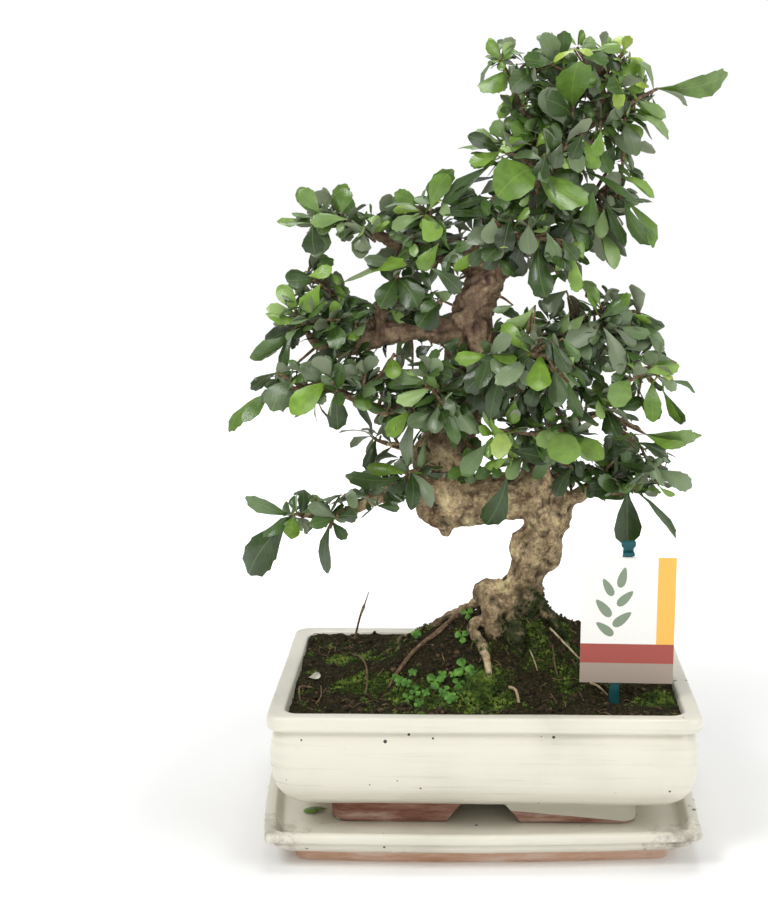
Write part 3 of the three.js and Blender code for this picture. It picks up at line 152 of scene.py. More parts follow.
# Leafy shoots: y is the depth, a twig is rows of [x, z, further depth], and a leaf is [foot x, foot z,
# tip x, tip z, width seen, nearness], with "t" where its edge is scalloped. tones has a letter for each
# leaf, fill is how many more leaves the rule adds, of about that size, and out is the way they face.
SPRIGS = {
    "sprig_crown_left": {"y": -12, "twigs": [[[20, 518, 0], [15, 529, -1], [10, 538, -2]]],
        "leaves": [[14, 532, 4, 546, 10, 0], [16, 534, 20, 548, 9, 0], [13, 527, 0, 511, 16, 1, "t"]],
        "tones": "bbg", "fill": 2, "size": 20, "out": [-0.5, 0.7, 0.4]},
    "sprig_crown_top": {"y": 0, "twigs": [[[81, 512, 0], [66, 521, -6], [48, 529, -8]],
        [[68, 520, -5], [64, 506, -14], [63, 493, -18]], [[74, 516, -2], [79, 530, 2], [84, 537, 3]]],
        "leaves": [[40, 534, 43, 551, 14, 0], [57, 532, 57, 552, 12, 0], [72, 530, 75, 548, 10, 0],
            [64, 490, 67, 531, 25, 3, "t"], [58, 488, 44, 506, 18, 1], [40, 526, 20, 512, 16, 1],
            [86, 537, 98, 547, 8, 0]],
        "tones": "mmggddy", "fill": 3, "size": 24, "out": [0.1, 0.6, 0.7]},
    "sprig_crown_right": {"y": -6, "twigs": [[[95, 498, 0], [108, 505, -1], [122, 512, 0]],
        [[99, 500, -1], [100, 482, -6], [98, 454, -6]]],
        "leaves": [[122, 512, 170, 521, 14, 0, "t"], [99, 495, 130, 477, 9, 0], [108, 504, 128, 492, 8, 1],
            [97, 484, 108, 466, 11, 2], [98, 462, 113, 450, 9, 0], [98, 452, 121, 437, 9, -1],
            [106, 506, 110, 530, 10, 0]],
        "tones": "gggdmbb", "fill": 3, "size": 24, "out": [0.6, 0.5, 0.2]},
    "sprig_upper_front": {"y": -26, "twigs": [[[36, 455, 0], [40, 461, -8], [44, 464, -14]],
        [[39, 460, -6], [22, 468, -2], [12, 471, 2]], [[43, 463, -12], [64, 474, 0], [86, 475, 6]]],
        "leaves": [[43, 462, 11, 439, 30, 2], [43, 461, 74, 433, 22, 2, "t"], [13, 470, -9, 463, 10, 0],
            [12, 472, -10, 481, 12, 0], [44, 470, 50, 488, 12, 1, "t"], [65, 478, 68, 455, 13, 1],
            [74, 478, 82, 458, 12, 2], [88, 474, 90, 454, 12, 0], [5, 460, -28, 435, 12, -1]],
        "tones": "ggbddmbmd", "fill": 1, "size": 24, "out": [-0.2, -0.3, 0.6]},
    "sprig_upper_right": {"y": -4, "twigs": [[[76, 437, 2], [88, 441, 0], [97, 436, -2]],
        [[84, 440, 1], [81, 427, -8], [82, 414, -10]]],
        "leaves": [[80, 448, 111, 434, 12, 1], [98, 436, 121, 402, 10, 0], [88, 434, 102, 396, 10, 1],
            [83, 414, 94, 387, 10, 0], [78, 438, 70, 414, 14, 1]],
        "tones": "mgdgm", "fill": 3, "size": 25, "out": [0.6, 0.4, 0.2]},
    "sprig_centre": {"y": -26, "twigs": [[[28, 407, 0], [33, 412, -6], [38, 409, -10]],
        [[31, 410, -4], [20, 417, -6], [10, 419, -6]], [[36, 410, -9], [54, 406, -8], [64, 398, -6]]],
        "leaves": [[22, 422, -28, 428, 12, 0], [40, 403, 45, 368, 18, 1], [64, 396, 68, 371, 10, 1],
            [18, 414, 1, 394, 14, 0], [26, 408, 22, 382, 15, 1], [8, 420, -10, 406, 13, 1]],
        "tones": "ddbdkd", "fill": 0, "size": 22, "out": [0, -1, 0]},
    "sprig_middle_right": {"y": 2, "twigs": [[[98, 353, 0], [108, 357, -2], [114, 353, -2]],
        [[104, 355, -1], [92, 357, -8], [84, 360, -9]]],
        "leaves": [[82, 362, 72, 379, 10, 0], [88, 360, 106, 369, 9, 1], [106, 357, 130, 346, 9, 0],
            [86, 352, 60, 334, 16, 1], [94, 348, 103, 313, 13, 1], [114, 350, 130, 332, 8, 0]],
        "tones": "ggmddm", "fill": 3, "size": 25, "out": [0.6, 0.6, 0.2]},
    "sprig_right": {"y": -8, "twigs": [[[114, 315, 0], [124, 312, 0], [130, 306, 0]],
        [[118, 314, 0], [108, 308, -8], [102, 306, -10]]],
        "leaves": [[112, 320, 141, 318, 12, 1, "t"], [128, 312, 139, 300, 9, 0], [103, 306, 95, 288, 18, 1],
            [122, 306, 123, 277, 13, 1], [130, 299, 143, 275, 9, 0]],
        "tones": "bmggm", "fill": 3, "size": 24, "out": [0.7, 0.6, 0.1]},
    "sprig_front_right": {"y": -43, "twigs": [[[36, 327, 1], [46, 325, -4], [52, 316, -5]],
        [[41, 326, -2], [24, 326, 0], [10, 318, 6]], [[51, 318, -5], [62, 306, 0]]],
        "leaves": [[43, 325, 40, 300, 18, 2], [34, 325, 10, 305, 14, 1], [62, 306, 72, 281, 9, 0],
            [52, 316, 55, 288, 14, 1], [10, 322, -12, 300, 18, 0, "t"], [14, 316, 6, 280, 12, 0],
            [34, 328, 15, 348, 12, 0], [52, 320, 66, 324, 9, 0]],
        "tones": "bmmdkdbb", "fill": 1, "size": 24, "out": [0.1, -0.2, 0.9]},
    "sprig_low_front": {"y": -20, "twigs": [[[58, 275, 6], [62, 270, -4], [64, 262, -9]],
        [[61, 271, -2], [38, 268, -6], [12, 272, -10]]],
        "leaves": [[62, 268, 62, 246, 24, 2], [60, 272, 40, 260, 14, 1], [65, 268, 88, 250, 15, 1],
            [34, 264, 52, 246, 12, 0], [18, 236, 3, 201, 19, 2], [6, 272, 12, 250, 15, 1],
            [14, 270, 25, 250, 10, 0], [4, 262, -15, 240, 14, 0]],
        "tones": "bbbmdybm", "fill": 1, "size": 24, "out": [0.2, -0.7, 0.3]},
    "sprig_low_right": {"y": 7, "twigs": [[[99, 224, 0], [107, 229, -2], [112, 227, -3]]],
        "leaves": [[108, 226, 106, 186, 21, 1], [113, 225, 141, 191, 9, 0], [103, 230, 78, 226, 11, 0]],
        "tones": "dmm", "fill": 3, "size": 25, "out": [0.5, 0.6, 0.2]},
    "sprig_low_right_tip": {"y": 20, "twigs": [[[126, 236, 0], [135, 234, 0], [140, 231, 0]],
        [[130, 235, 0], [121, 246, -6], [115, 258, -8]]],
        "leaves": [[124, 247, 152, 229, 14, 1, "t"], [116, 262, 158, 267, 12, 0, "t"],
            [116, 258, 97, 268, 12, 1]],
        "tones": "mbm", "fill": 4, "size": 23, "out": [0.5, 0.3, 0.5]},
    "sprig_right_shelf": {"y": -10, "twigs": [[[89, 284, 0], [94, 286, -1], [97, 289, -1]],
        [[91, 285, 0], [100, 277, 2], [104, 271, 4]]],
        "leaves": [[91, 284, 98, 266, 14, 1], [92, 286, 72, 298, 11, 0], [96, 287, 116, 294, 11, 0]],
        "tones": "dmm", "fill": 3, "size": 23, "out": [0.5, 0.3, 0.5]},
    "sprig_upper_left": {"y": 22, "twigs": [[[-104, 424, 0], [-114, 424, -2], [-122, 421, -4]],
        [[-108, 424, 0], [-101, 430, -6], [-97, 432, -8]]],
        "leaves": [[-118, 425, -129, 447, 13, 0], [-98, 430, -96, 449, 12, 0], [-122, 422, -146, 423, 8, 0],
            [-119, 420, -118, 397, 17, 0]],
        "tones": "ggbm", "fill": 3, "size": 22, "out": [-0.5, 0.7, 0.2]},
    "sprig_upper_left_inner": {"y": 12, "twigs": [[[-83, 418, 2], [-80, 412, -10], [-76, 408, -16]]],
        "leaves": [[-80, 411, -87, 396, 14, 0], [-78, 410, -66, 420, 10, 0]],
        "tones": "db", "fill": 2, "size": 22, "out": [-0.1, -0.5, 0.6]},
    "sprig_left_top": {"y": 6, "twigs": [[[-38, 408, 2], [-40, 418, -4], [-40, 428, -6]],
        [[-39, 413, -1], [-30, 410, -10], [-27, 407, -13]],
        [[-39, 413, -1], [-54, 400, -12], [-62, 393, -16]]],
        "leaves": [[-42, 428, -63, 439, 13, 0], [-39, 430, -20, 458, 15, 0], [-42, 422, -66, 418, 12, 0],
            [-30, 410, -20, 392, 14, 0], [-28, 407, -47, 388, 14, 1], [-62, 393, -84, 396, 9, 0]],
        "tones": "mgmdgd", "fill": 3, "size": 24, "out": [0.1, 0.5, 0.6]},
    "sprig_left_middle": {"y": -14, "twigs": [[[-72, 362, 6], [-66, 372, 0], [-60, 384, -4]],
        [[-69, 367, 3], [-48, 364, -8], [-29, 364, -10]]],
        "leaves": [[-61, 384, -73, 361, 17, 1], [-58, 384, -46, 361, 20, 0], [-29, 364, -46, 347, 14, 1]],
        "tones": "ddd", "fill": 3, "size": 24, "out": [0.1, -0.3, 0.8]},
    "sprig_left_fork": {"y": 11, "twigs": [[[-110, 375, 0], [-117, 379, 0], [-123, 386, 0]]],
        "leaves": [[-119, 381, -141, 384, 13, 0], [-120, 384, -106, 396, 10, 0],
            [-115, 380, -127, 357, 15, 1], [-104, 376, -54, 391, 14, 2, "t"]],
        "tones": "dmgb", "fill": 2, "size": 22, "out": [-0.3, 0.8, 0.3]},
    "sprig_left_tip": {"y": -8, "twigs": [[[-127, 344, 0], [-131, 354, -1], [-134, 359, -2]],
        [[-130, 351, -1], [-137, 344, -4]], [[-130, 350, -1], [-112, 352, -10], [-102, 352, -14]]],
        "leaves": [[-132, 357, -146, 377, 13, 0], [-134, 357, -155, 361, 10, 0],
            [-132, 352, -157, 335, 12, 0], [-137, 344, -168, 325, 8, 0], [-102, 351, -104, 331, 15, 0]],
        "tones": "bbdmm", "fill": 2, "size": 22, "out": [-0.5, 0.8, 0.1]},
    "sprig_left_low_tip": {"y": -34, "twigs": [[[-126, 301, 0], [-136, 307, 0], [-148, 314, 0]],
        [[-131, 304, 0], [-146, 301, 4], [-158, 298, 6]], [[-130, 303, 0], [-114, 308, -6], [-105, 304, -8]]],
        "leaves": [[-137, 308, -153, 286, 20, 1, "t"], [-149, 314, -168, 302, 9, 0],
            [-158, 298, -185, 271, 10, 0, "t"], [-108, 302, -139, 284, 18, 1], [-106, 302, -105, 272, 15, 1],
            [-112, 310, -131, 320, 13, 0]],
        "tones": "ddgbdd", "fill": 2, "size": 23, "out": [-0.5, 0.6, 0.1]},
    "sprig_left_low_inner": {"y": -26, "twigs": [[[-84, 292, 1], [-86, 303, -4], [-84, 313, -4]],
        [[-85, 300, -3], [-70, 316, -4], [-63, 328, -2]]],
        "leaves": [[-86, 303, -86, 286, 13, 1], [-84, 313, -76, 326, 10, 0], [-64, 327, -64, 309, 13, 1]],
        "tones": "gdb", "fill": 2, "size": 22, "out": [0.1, 0.6, 0.4]},
    "sprig_front_left": {"y": -34, "twigs": [[[-34, 303, 1], [-40, 304, -5], [-42, 312, -6]],
        [[-37, 303, -2], [-31, 294, -8], [-26, 288, -10]], [[-39, 304, -4], [-52, 291, -1], [-50, 282, 0]]],
        "leaves": [[-40, 303, -70, 306, 11, 0], [-38, 300, -62, 292, 12, 1], [-42, 312, -65, 313, 11, 0],
            [-38, 308, -30, 323, 13, 0], [-31, 296, -7, 274, 14, 1], [-26, 289, -18, 261, 9, 0],
            [-32, 289, -34, 269, 12, 1], [-52, 286, -69, 267, 13, 0], [-48, 282, -54, 245, 9, 0]],
        "tones": "mbmmmmdbd", "fill": 0, "size": 22, "out": [-0.3, -0.9, 0.2]},
    "sprig_low_left_inner": {"y": -18, "twigs": [[[-56, 231, 6], [-54, 240, -2], [-46, 242, -8]]],
        "leaves": [[-54, 240, -84, 244, 10, 1], [-55, 238, -100, 238, 9, 0], [-53, 238, -69, 217, 12, 1],
            [-49, 240, -52, 212, 11, 1], [-44, 240, -4, 233, 13, 0], [-46, 240, -37, 214, 10, 0]],
        "tones": "bddddd", "fill": 2, "size": 22, "out": [-0.2, 0.4, 0.8]},
    "sprig_low_left_middle": {"y": -18, "twigs": [[[-109, 209, 1], [-111, 202, -4], [-112, 198, -5]]],
        "leaves": [[-112, 202, -115, 164, 11, 1], [-111, 203, -100, 190, 9, 0]],
        "tones": "dd", "fill": 1, "size": 18, "out": [-0.3, -0.9, -0.2]},
    "sprig_low_left_tip": {"y": -20, "twigs": [[[-129, 208, 0], [-136, 209, 0], [-142, 207, 0]]],
        "leaves": [[-141, 206, -173, 163, 26, 1, "t"], [-140, 208, -174, 222, 11, 0],
            [-136, 210, -131, 226, 9, 0], [-140, 206, -141, 190, 12, 2]],
        "tones": "dmdb", "fill": 2, "size": 22, "out": [-0.4, 0.8, 0.1]},
}
# Sprigs behind the trunk, all of their leaves by rule: [name, depth, twig, leaves, leaf size, way].
BACK_SPRIGS = [
    ["left_arm", 48, [[-102, 346, -3], [-110, 349, 2], [-117, 348, 6]], 6, 26, [-0.6, 0.6, 0.3]],
    ["right_arm", 46, [[82, 336, -4], [91, 338, 2], [98, 337, 5]], 6, 26, [0.6, 0.7, 0.3]],
    ["middle_left", 68, [[-43, 342, -4], [-49, 343, 4], [-55, 346, 9]], 7, 28, [-0.3, 0.9, 0.2]],
    ["middle_right", 64, [[47, 312, -4], [54, 312, 4], [60, 315, 9]], 7, 28, [0.3, 0.9, 0.2]],
    ["low_left", 56, [[-69, 262, -4], [-76, 264, 4], [-81, 268, 9]], 7, 27, [-0.5, 0.8, 0.2]],
    ["low_right", 58, [[49, 250, -4], [56, 253, 4], [62, 255, 9]], 7, 27, [0.4, 0.8, 0.2]],
    ["upper_left", 56, [[-43, 398, -4], [-50, 400, 4], [-56, 402, 8]], 7, 26, [-0.4, 0.8, 0.3]],
    ["upper_right", 52, [[59, 407, -4], [66, 408, 4], [72, 411, 8]], 7, 26, [0.5, 0.8, 0.2]],
    ["top", 36, [[35, 464, -4], [31, 470, 4], [27, 475, 8]], 6, 25, [-0.3, 0.8, 0.4]],
    ["crown", 28, [[79, 491, -4], [84, 497, 3], [90, 502, 7]], 6, 24, [0.4, 0.8, 0.4]],
    ["crown_left", 13, [[53, 506, -1], [50, 514, 2], [46, 521, 6]], 6, 23, [-0.4, 0.7, 0.5]],
]
for back_name, back_y, back_twig, back_fill, back_size, back_out in BACK_SPRIGS:
    SPRIGS["sprig_back_" + back_name] = {"y": back_y, "twigs": [back_twig], "leaves": [], "tones": "",
                                         "fill": back_fill, "size": back_size, "out": back_out}


# Small tools.


def hex_colour(code):
    """An sRGB hex colour as linear red, green and blue."""
    parts = [int(code[i:i + 2], 16) / 255 for i in (0, 2, 4)]
    return [c / 12.92 if c <= 0.04045 else ((c + 0.055) / 1.055) ** 2.4 for c in parts]


def hex_rgba(code):
    """An sRGB hex colour as an opaque linear colour."""
    return (*hex_colour(code), 1.0)


def smoothstep(low, high, value):
    """A smooth step from 0 at low to 1 at high; low may be the greater."""
    t = min(1.0, max(0.0, (value - low) / (high - low)))
    return t * t * (3 - 2 * t)


def at(x, z, y=0.0):
    """The point at width x and height z of the front view, at depth y along the line of sight."""
    k = (SIGHT.y - y) / SIGHT.y
    return Vector((SIGHT.x + (x - SIGHT.x) * k, y, SIGHT.z + (z - SIGHT.z) * k))


def seen(point):
    """Where the front view shows a point: the reverse of at()."""
    k = SIGHT.y / (SIGHT.y - point.y)
    return SIGHT.x + (point.x - SIGHT.x) * k, SIGHT.z + (point.z - SIGHT.z) * k


def square_to(direction, axis):
    """The part of a direction that is square to an axis, as a unit vector."""
    return (direction - axis * direction.dot(axis)).normalized()


def any_side(way, limit=0.9):
    """A unit vector square to a direction, upward unless the direction is nearly upright."""
    return square_to(UP if abs(way.z) < limit else SIDEWAYS, way)


def grow_ring(bm, ring, points, closed=True):
    """Extrudes a ring or chain of vertices and moves the new one to the points."""
    ends = ring[1:] + ring[:1] if closed else ring[1:]
    edges = [bm.edges.get(pair) for pair in zip(ring, ends)]
    made = bmesh.ops.extrude_edge_only(bm, edges=edges)["geom"]
    fresh = {item for item in made if isinstance(item, bmesh.types.BMVert)}
    step = []
    for vert, point in zip(ring, points):
        new = next(e.other_vert(vert) for e in vert.link_edges if e.other_vert(vert) in fresh)
        new.co = point
        step.append(new)
    return step


def start_ring(bm, points):
    """A closed ring of vertices at the points, with a face across it."""
    ring = bmesh.ops.create_circle(bm, segments=len(points), radius=1, cap_ends=True)["verts"]
    for vert, point in zip(ring, points):
        vert.co = point
    return ring


def cap(bm, ring):
    """Closes a ring with a face."""
    edges = [bm.edges.get(pair) for pair in zip(ring, ring[1:] + ring[:1])]
    bmesh.ops.contextual_create(bm, geom=edges)


def stack(bm, rings):
    """A closed surface over a stack of rings with equal counts."""
    before = set(bm.faces)
    ring = start_ring(bm, rings[0])
    for points in rings[1:]:
        ring = grow_ring(bm, ring, points)
    cap(bm, ring)
    bmesh.ops.recalc_face_normals(bm, faces=[f for f in bm.faces if f not in before])


def smooth_path(stops, steps):
    """Points and radii along a smooth curve through [point, radius] stops."""
    path = []
    last = len(stops) - 1
    for i in range(last):
        p0, p1, p2, p3 = (stops[min(last, max(0, i + k))][0] for k in (-1, 0, 1, 2))
        for k in range(steps):
            t = k / steps
            a = 2 * p1
            b = p2 - p0
            c = 2 * p0 - 5 * p1 + 4 * p2 - p3
            d = 3 * p1 - p0 - 3 * p2 + p3
            point = 0.5 * (a + b * t + c * t * t + d * t * t * t)
            path.append((point, stops[i][1] * (1 - t) + stops[i + 1][1] * t))
    path.append((stops[last][0].copy(), stops[last][1]))
    return path


def tube(bm, stops, sides=6, steps=3, lumps=0.0):
    """A tapering closed tube through [point, radius] stops, its rings carried without twist."""
    path = smooth_path(stops, steps)
    rings = []
    side = None
    before = None
    for k, (point, radius) in enumerate(path):
        ahead = path[min(len(path) - 1, k + 1)][0]
        behind = path[max(0, k - 1)][0]
        way = (ahead - behind).normalized()
        if side is None:
            side = any_side(way)
        else:
            side = square_to(before.rotation_difference(way) @ side, way)
        before = way
        across = way.cross(side)
        ring = []
        for i in range(sides):
            angle = 2 * math.pi * i / sides
            wave = 0.6 * math.sin(3 * angle + 0.6 * k) + 0.5 * math.sin(2 * angle - 0.3 * k + radius)
            r = radius * (1 + lumps * wave)
            ring.append(point + side * (r * math.cos(angle)) + across * (r * math.sin(angle)))
        rings.append(ring)
    stack(bm, rings)


CORNER_STEPS = 8
SIDE_STEPS = 6


def rounded_ring(half_x, half_y, radius, z, bow=0.0):
    """A rounded rectangle of points at height z; each side bulges by bow in its middle."""
    points = []
    for sx, sy, quarter in ((1, 1, 0), (-1, 1, 1), (-1, -1, 2), (1, -1, 3)):
        cx = sx * (half_x - radius)
        cy = sy * (half_y - radius)
        for i in range(CORNER_STEPS + 1):
            angle = (quarter + i / CORNER_STEPS) * math.pi / 2
            points.append(Vector((cx + radius * math.cos(angle), cy + radius * math.sin(angle), z)))
        for i in range(1, SIDE_STEPS):
            t = 1 - 2 * i / SIDE_STEPS
            lift = bow * (1 - t * t)
            if quarter % 2 == 0:
                points.append(Vector((t * cx, sy * (half_y + lift), z)))
            else:
                points.append(Vector((sx * (half_x + lift), t * cy, z)))
    return points


def blend_rows(rows, steps):
    """More rows between the given ones, along a smooth curve."""
    last = len(rows) - 1
    out = []
    for i in range(last):
        r0, r1, r2, r3 = (rows[min(last, max(0, i + k))] for k in (-1, 0, 1, 2))
        for k in range(steps):
            t = k / steps
            out.append([0.5 * (2 * b + (c - a) * t + (2 * a - 5 * b + 4 * c - d) * t * t
                               + (3 * b - a - 3 * c + d) * t * t * t)
                        for a, b, c, d in zip(r0, r1, r2, r3)])
    out.append(list(rows[last]))
    return out


def mesh_from(bm, name):
    """The mesh of a bmesh, which is freed."""
    mesh = bpy.data.meshes.new(name)
    bm.to_mesh(mesh)
    bm.free()
    return mesh


def add_object(name, data):
    """An object with its data, linked to the scene."""
    made = bpy.data.objects.new(name, data)
    bpy.context.scene.collection.objects.link(made)
    return made


def finish_piece(bm, name, materials, replaced=(), crease=50.0, offset=PLANT):
    """Turns a bmesh in the plant's millimetres into a piece of the object."""
    bmesh.ops.translate(bm, vec=offset, verts=bm.verts)
    bmesh.ops.scale(bm, vec=(MM, MM, MM), verts=bm.verts)
    add_piece(mesh_from(bm, name), name, materials, replaced, crease)


def add_piece(mesh, name, materials, replaced, crease):
    """Makes a mesh in metres a piece of the object; edges over the crease angle stay sharp."""
    piece = add_object(name, mesh)
    for material in materials:
        mesh.materials.append(material)
    mesh.shade_smooth()
    mesh.set_sharp_from_angle(angle=math.radians(crease))
    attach(piece, "root")
    if replaced:
        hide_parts(*replaced)


# Materials.


def new_material(name):
    """A material, its cleared node tree and the socket of its object coordinates."""
    material = bpy.data.materials.new(name)
    material.use_nodes = True
    tree = material.node_tree
    tree.nodes.clear()
    return material, tree, node(tree, "TexCoord").outputs["Object"]


def node(tree, kind, inputs=None, stops=None, **settings):
    """Adds a shader node with its settings, ramp stops, values and links."""
    made = tree.nodes.new("ShaderNode" + kind)
    for name, value in settings.items():
        setattr(made, name, value)
    for socket, value in (inputs or {}).items():
        if isinstance(value, bpy.types.NodeSocket):
            tree.links.new(value, made.inputs[socket])
        else:
            made.inputs[socket].default_value = value
    if stops:
        elements = made.color_ramp.elements
        while len(elements) < len(stops):
            elements.new(1.0)
        for element, (place, code) in zip(elements, stops):
            element.position = place
            element.color = hex_rgba(code)
    return made


def surface(tree, inputs, height=None, strength=0.5, distance=0.0005):
    """The shader and output that a material ends in, with bump where a height is given."""
    if height is not None:
        bump = node(tree, "Bump", {"Height": height, "Strength": strength, "Distance": distance})
        inputs = {**inputs, "Normal": bump.outputs["Normal"]}
    shader = node(tree, "BsdfPrincipled", inputs)
    node(tree, "OutputMaterial", {"Surface": shader.outputs["BSDF"]})


def mix(tree, factor, first, second, blend="MIX"):
    """A colour between two, mixed by a factor."""
    return node(tree, "Mix", {0: factor, 6: first, 7: second},
                data_type="RGBA", blend_type=blend).outputs[2]


LIP_GROOVE_HEIGHT = 0.0972
SAUCER_CORNER = (0.140, 0.098, 0.019)


def glaze_material(colour):
    """Cream feldspar glaze on stoneware: soft gloss, level brush marks, dark chips and pinholes, and dark
    flecks of painted shade along the lip's groove.
    """
    material, tree, place = new_material("cream_glazed_stoneware")
    pool = node(tree, "TexNoise", {"Vector": place, "Scale": PER_MM / 60, "Detail": 3.0})
    level = node(tree, "VectorMath", {0: place, 1: (12.0, 12.0, 260.0)}, operation="MULTIPLY")
    brush = node(tree, "TexNoise", {"Vector": level.outputs["Vector"], "Scale": 1.0, "Detail": 4.0})
    both = node(tree, "Math", {0: brush.outputs["Fac"], 1: 0.5, 2: pool.outputs["Fac"]},
                operation="MULTIPLY_ADD")
    tint = node(tree, "ValToRGB", {"Fac": both.outputs[0]},
                stops=[(0.52, "bfbdb0"), (0.66, "d6d3c5"), (0.84, "e3e0d3")])
    body = mix(tree, 0.5, (*colour, 1.0), tint.outputs["Color"])
    speck = node(tree, "TexVoronoi", {"Vector": place, "Scale": PER_MM / 9, "Randomness": 1.0})
    rare = node(tree, "SeparateColor", {"Color": speck.outputs["Color"]})
    small = node(tree, "Math", {0: rare.outputs["Red"], 1: 0.15}, operation="MULTIPLY")
    dot = node(tree, "Math", {0: speck.outputs["Distance"], 1: small.outputs[0]}, operation="LESS_THAN")
    few = node(tree, "Math", {0: rare.outputs["Green"], 1: 0.7}, operation="GREATER_THAN")
    spot = node(tree, "Math", {0: dot.outputs[0], 1: few.outputs[0]}, operation="MULTIPLY")
    sides = node(tree, "SeparateXYZ", {"Vector": place})
    out = node(tree, "Math", {0: sides.outputs["X"]}, operation="ABSOLUTE")
    corner = node(tree, "MapRange", {"Value": out.outputs[0], "From Min": 0.12, "From Max": 0.17,
                                     "To Min": 0.0, "To Max": 0.4})
    chip = node(tree, "TexNoise", {"Vector": place, "Scale": PER_MM / 8, "Detail": 6.0, "Roughness": 0.7})
    worn = node(tree, "Math", {0: chip.outputs["Fac"], 1: corner.outputs["Result"]}, operation="ADD")
    # Dark flecks are added along the lip's groove: painted shade in the groove, on top of the real chips.
    away = node(tree, "Math", {0: sides.outputs["Z"], 1: LIP_GROOVE_HEIGHT}, operation="SUBTRACT")
    near = node(tree, "Math", {0: away.outputs[0]}, operation="ABSOLUTE")
    painted_groove_shade = node(tree, "MapRange", {"Value": near.outputs[0], "From Min": 0.0005, "From Max": 0.0016,
                                     "To Min": 0.18, "To Max": 0.0})
    edge = node(tree, "Math", {0: worn.outputs[0], 1: painted_groove_shade.outputs["Result"]}, operation="ADD")
    bare = node(tree, "MapRange", {"Value": edge.outputs[0], "From Min": 0.88, "From Max": 0.93})
    marks = node(tree, "Math", {0: spot.outputs[0], 1: bare.outputs["Result"]}, operation="MAXIMUM")
    folded = node(tree, "VectorMath", {0: place}, operation="ABSOLUTE")
    inner = node(tree, "VectorMath", {0: folded.outputs["Vector"], 1: SAUCER_CORNER}, operation="DISTANCE")
    reach = node(tree, "MapRange", {"Value": inner.outputs["Value"], "From Min": 0.003, "From Max": 0.04,
                                    "To Min": 0.42, "To Max": 0.0})
    dust = node(tree, "Math", {0: chip.outputs["Fac"], 1: reach.outputs["Result"]}, operation="ADD")
    grime = node(tree, "MapRange", {"Value": dust.outputs[0], "From Min": 0.66, "From Max": 1.0,
                                    "To Max": 0.75})
    soiled = mix(tree, grime.outputs["Result"], body, hex_rgba("6b5b45"))
    colour_out = mix(tree, marks.outputs[0], soiled, hex_rgba("44423f"))
    rough = node(tree, "MapRange", {"Value": brush.outputs["Fac"], "To Min": 0.2, "To Max": 0.4})
    surface(tree, {"Base Color": colour_out, "Roughness": rough.outputs["Result"],
                   "Coat Weight": 0.3, "Coat Roughness": 0.1}, brush.outputs["Fac"], 0.3)
    return material


def terracotta_material(name, stops):
    """Unglazed red stoneware: matt, gritty, stained darker where it stood in water."""
    material, tree, place = new_material(name)
    level = node(tree, "VectorMath", {0: place, 1: (20.0, 20.0, 160.0)}, operation="MULTIPLY")
    stain = node(tree, "TexNoise", {"Vector": level.outputs["Vector"], "Scale": 1.0, "Detail": 7.0,
                                    "Roughness": 0.7})
    tint = node(tree, "ValToRGB", {"Fac": stain.outputs["Fac"]}, stops=stops)
    grit = node(tree, "TexNoise", {"Vector": place, "Scale": PER_MM / 1.2, "Detail": 5.0})
    surface(tree, {"Base Color": tint.outputs["Color"], "Roughness": 0.85}, grit.outputs["Fac"], 0.6)
    return material


def bark_material():
    """Old fukien tea bark: tan and grey lumps with fine pits, dark seams and scars, painted shade in its
    hollows and folds, damp moss low down.
    """
    material, tree, place = new_material("fissured_grey_brown_bark")
    patch = node(tree, "TexNoise", {"Vector": place, "Scale": PER_MM / 14, "Detail": 5.0,
                                    "Roughness": 0.65})
    base = node(tree, "ValToRGB", {"Fac": patch.outputs["Fac"]},
                stops=[(0.34, "826f58"), (0.45, "ada087"), (0.55, "c6bba2"), (0.66, "e2dac4")])
    fine = node(tree, "TexNoise", {"Vector": place, "Scale": PER_MM / 2.2, "Detail": 7.0,
                                   "Roughness": 0.72})
    grain = node(tree, "ValToRGB", {"Fac": fine.outputs["Fac"]},
                 stops=[(0.3, "4a3c2e"), (0.46, "8c7d68"), (0.56, "b5a890"), (0.7, "e6dcc6")])
    mixed = mix(tree, 0.75, base.outputs["Color"], grain.outputs["Color"], "OVERLAY")
    scar = node(tree, "TexNoise", {"Vector": place, "Scale": PER_MM / 9, "Detail": 3.0})
    scarred = node(tree, "MapRange", {"Value": scar.outputs["Fac"], "From Min": 0.6, "From Max": 0.7,
                                      "To Max": 0.75})
    blotched = mix(tree, scarred.outputs["Result"], mixed, hex_rgba("5e4632"))
    # This attribute darkens the real seams and scars, and adds painted shade in the bark's hollows, folds and
    # ring troughs.
    seam = node(tree, "Attribute", attribute_name="crevices_and_hollow_shade")
    dark = mix(tree, seam.outputs["Fac"], blotched, hex_rgba("2e241b"))
    damp = node(tree, "Attribute", attribute_name="damp")
    green = mix(tree, fine.outputs["Fac"], hex_rgba("0f1209"), hex_rgba("444c2c"))
    low = mix(tree, damp.outputs["Fac"], dark, green)
    thin = node(tree, "Attribute", attribute_name="twig")
    high = node(tree, "SeparateXYZ", {"Vector": place})
    ruddy = node(tree, "MapRange", {"Value": high.outputs["Z"], "From Min": 0.3, "From Max": 0.36,
                                    "To Max": 0.4})
    warm = mix(tree, ruddy.outputs["Result"], low, hex_rgba("8a6c60"))
    young = mix(tree, thin.outputs["Fac"], warm, hex_rgba("5c4c3c"))
    surface(tree, {"Base Color": young, "Roughness": 0.88, "Specular IOR Level": 0.3},
            fine.outputs["Fac"], 0.9, 0.0012)
    return material


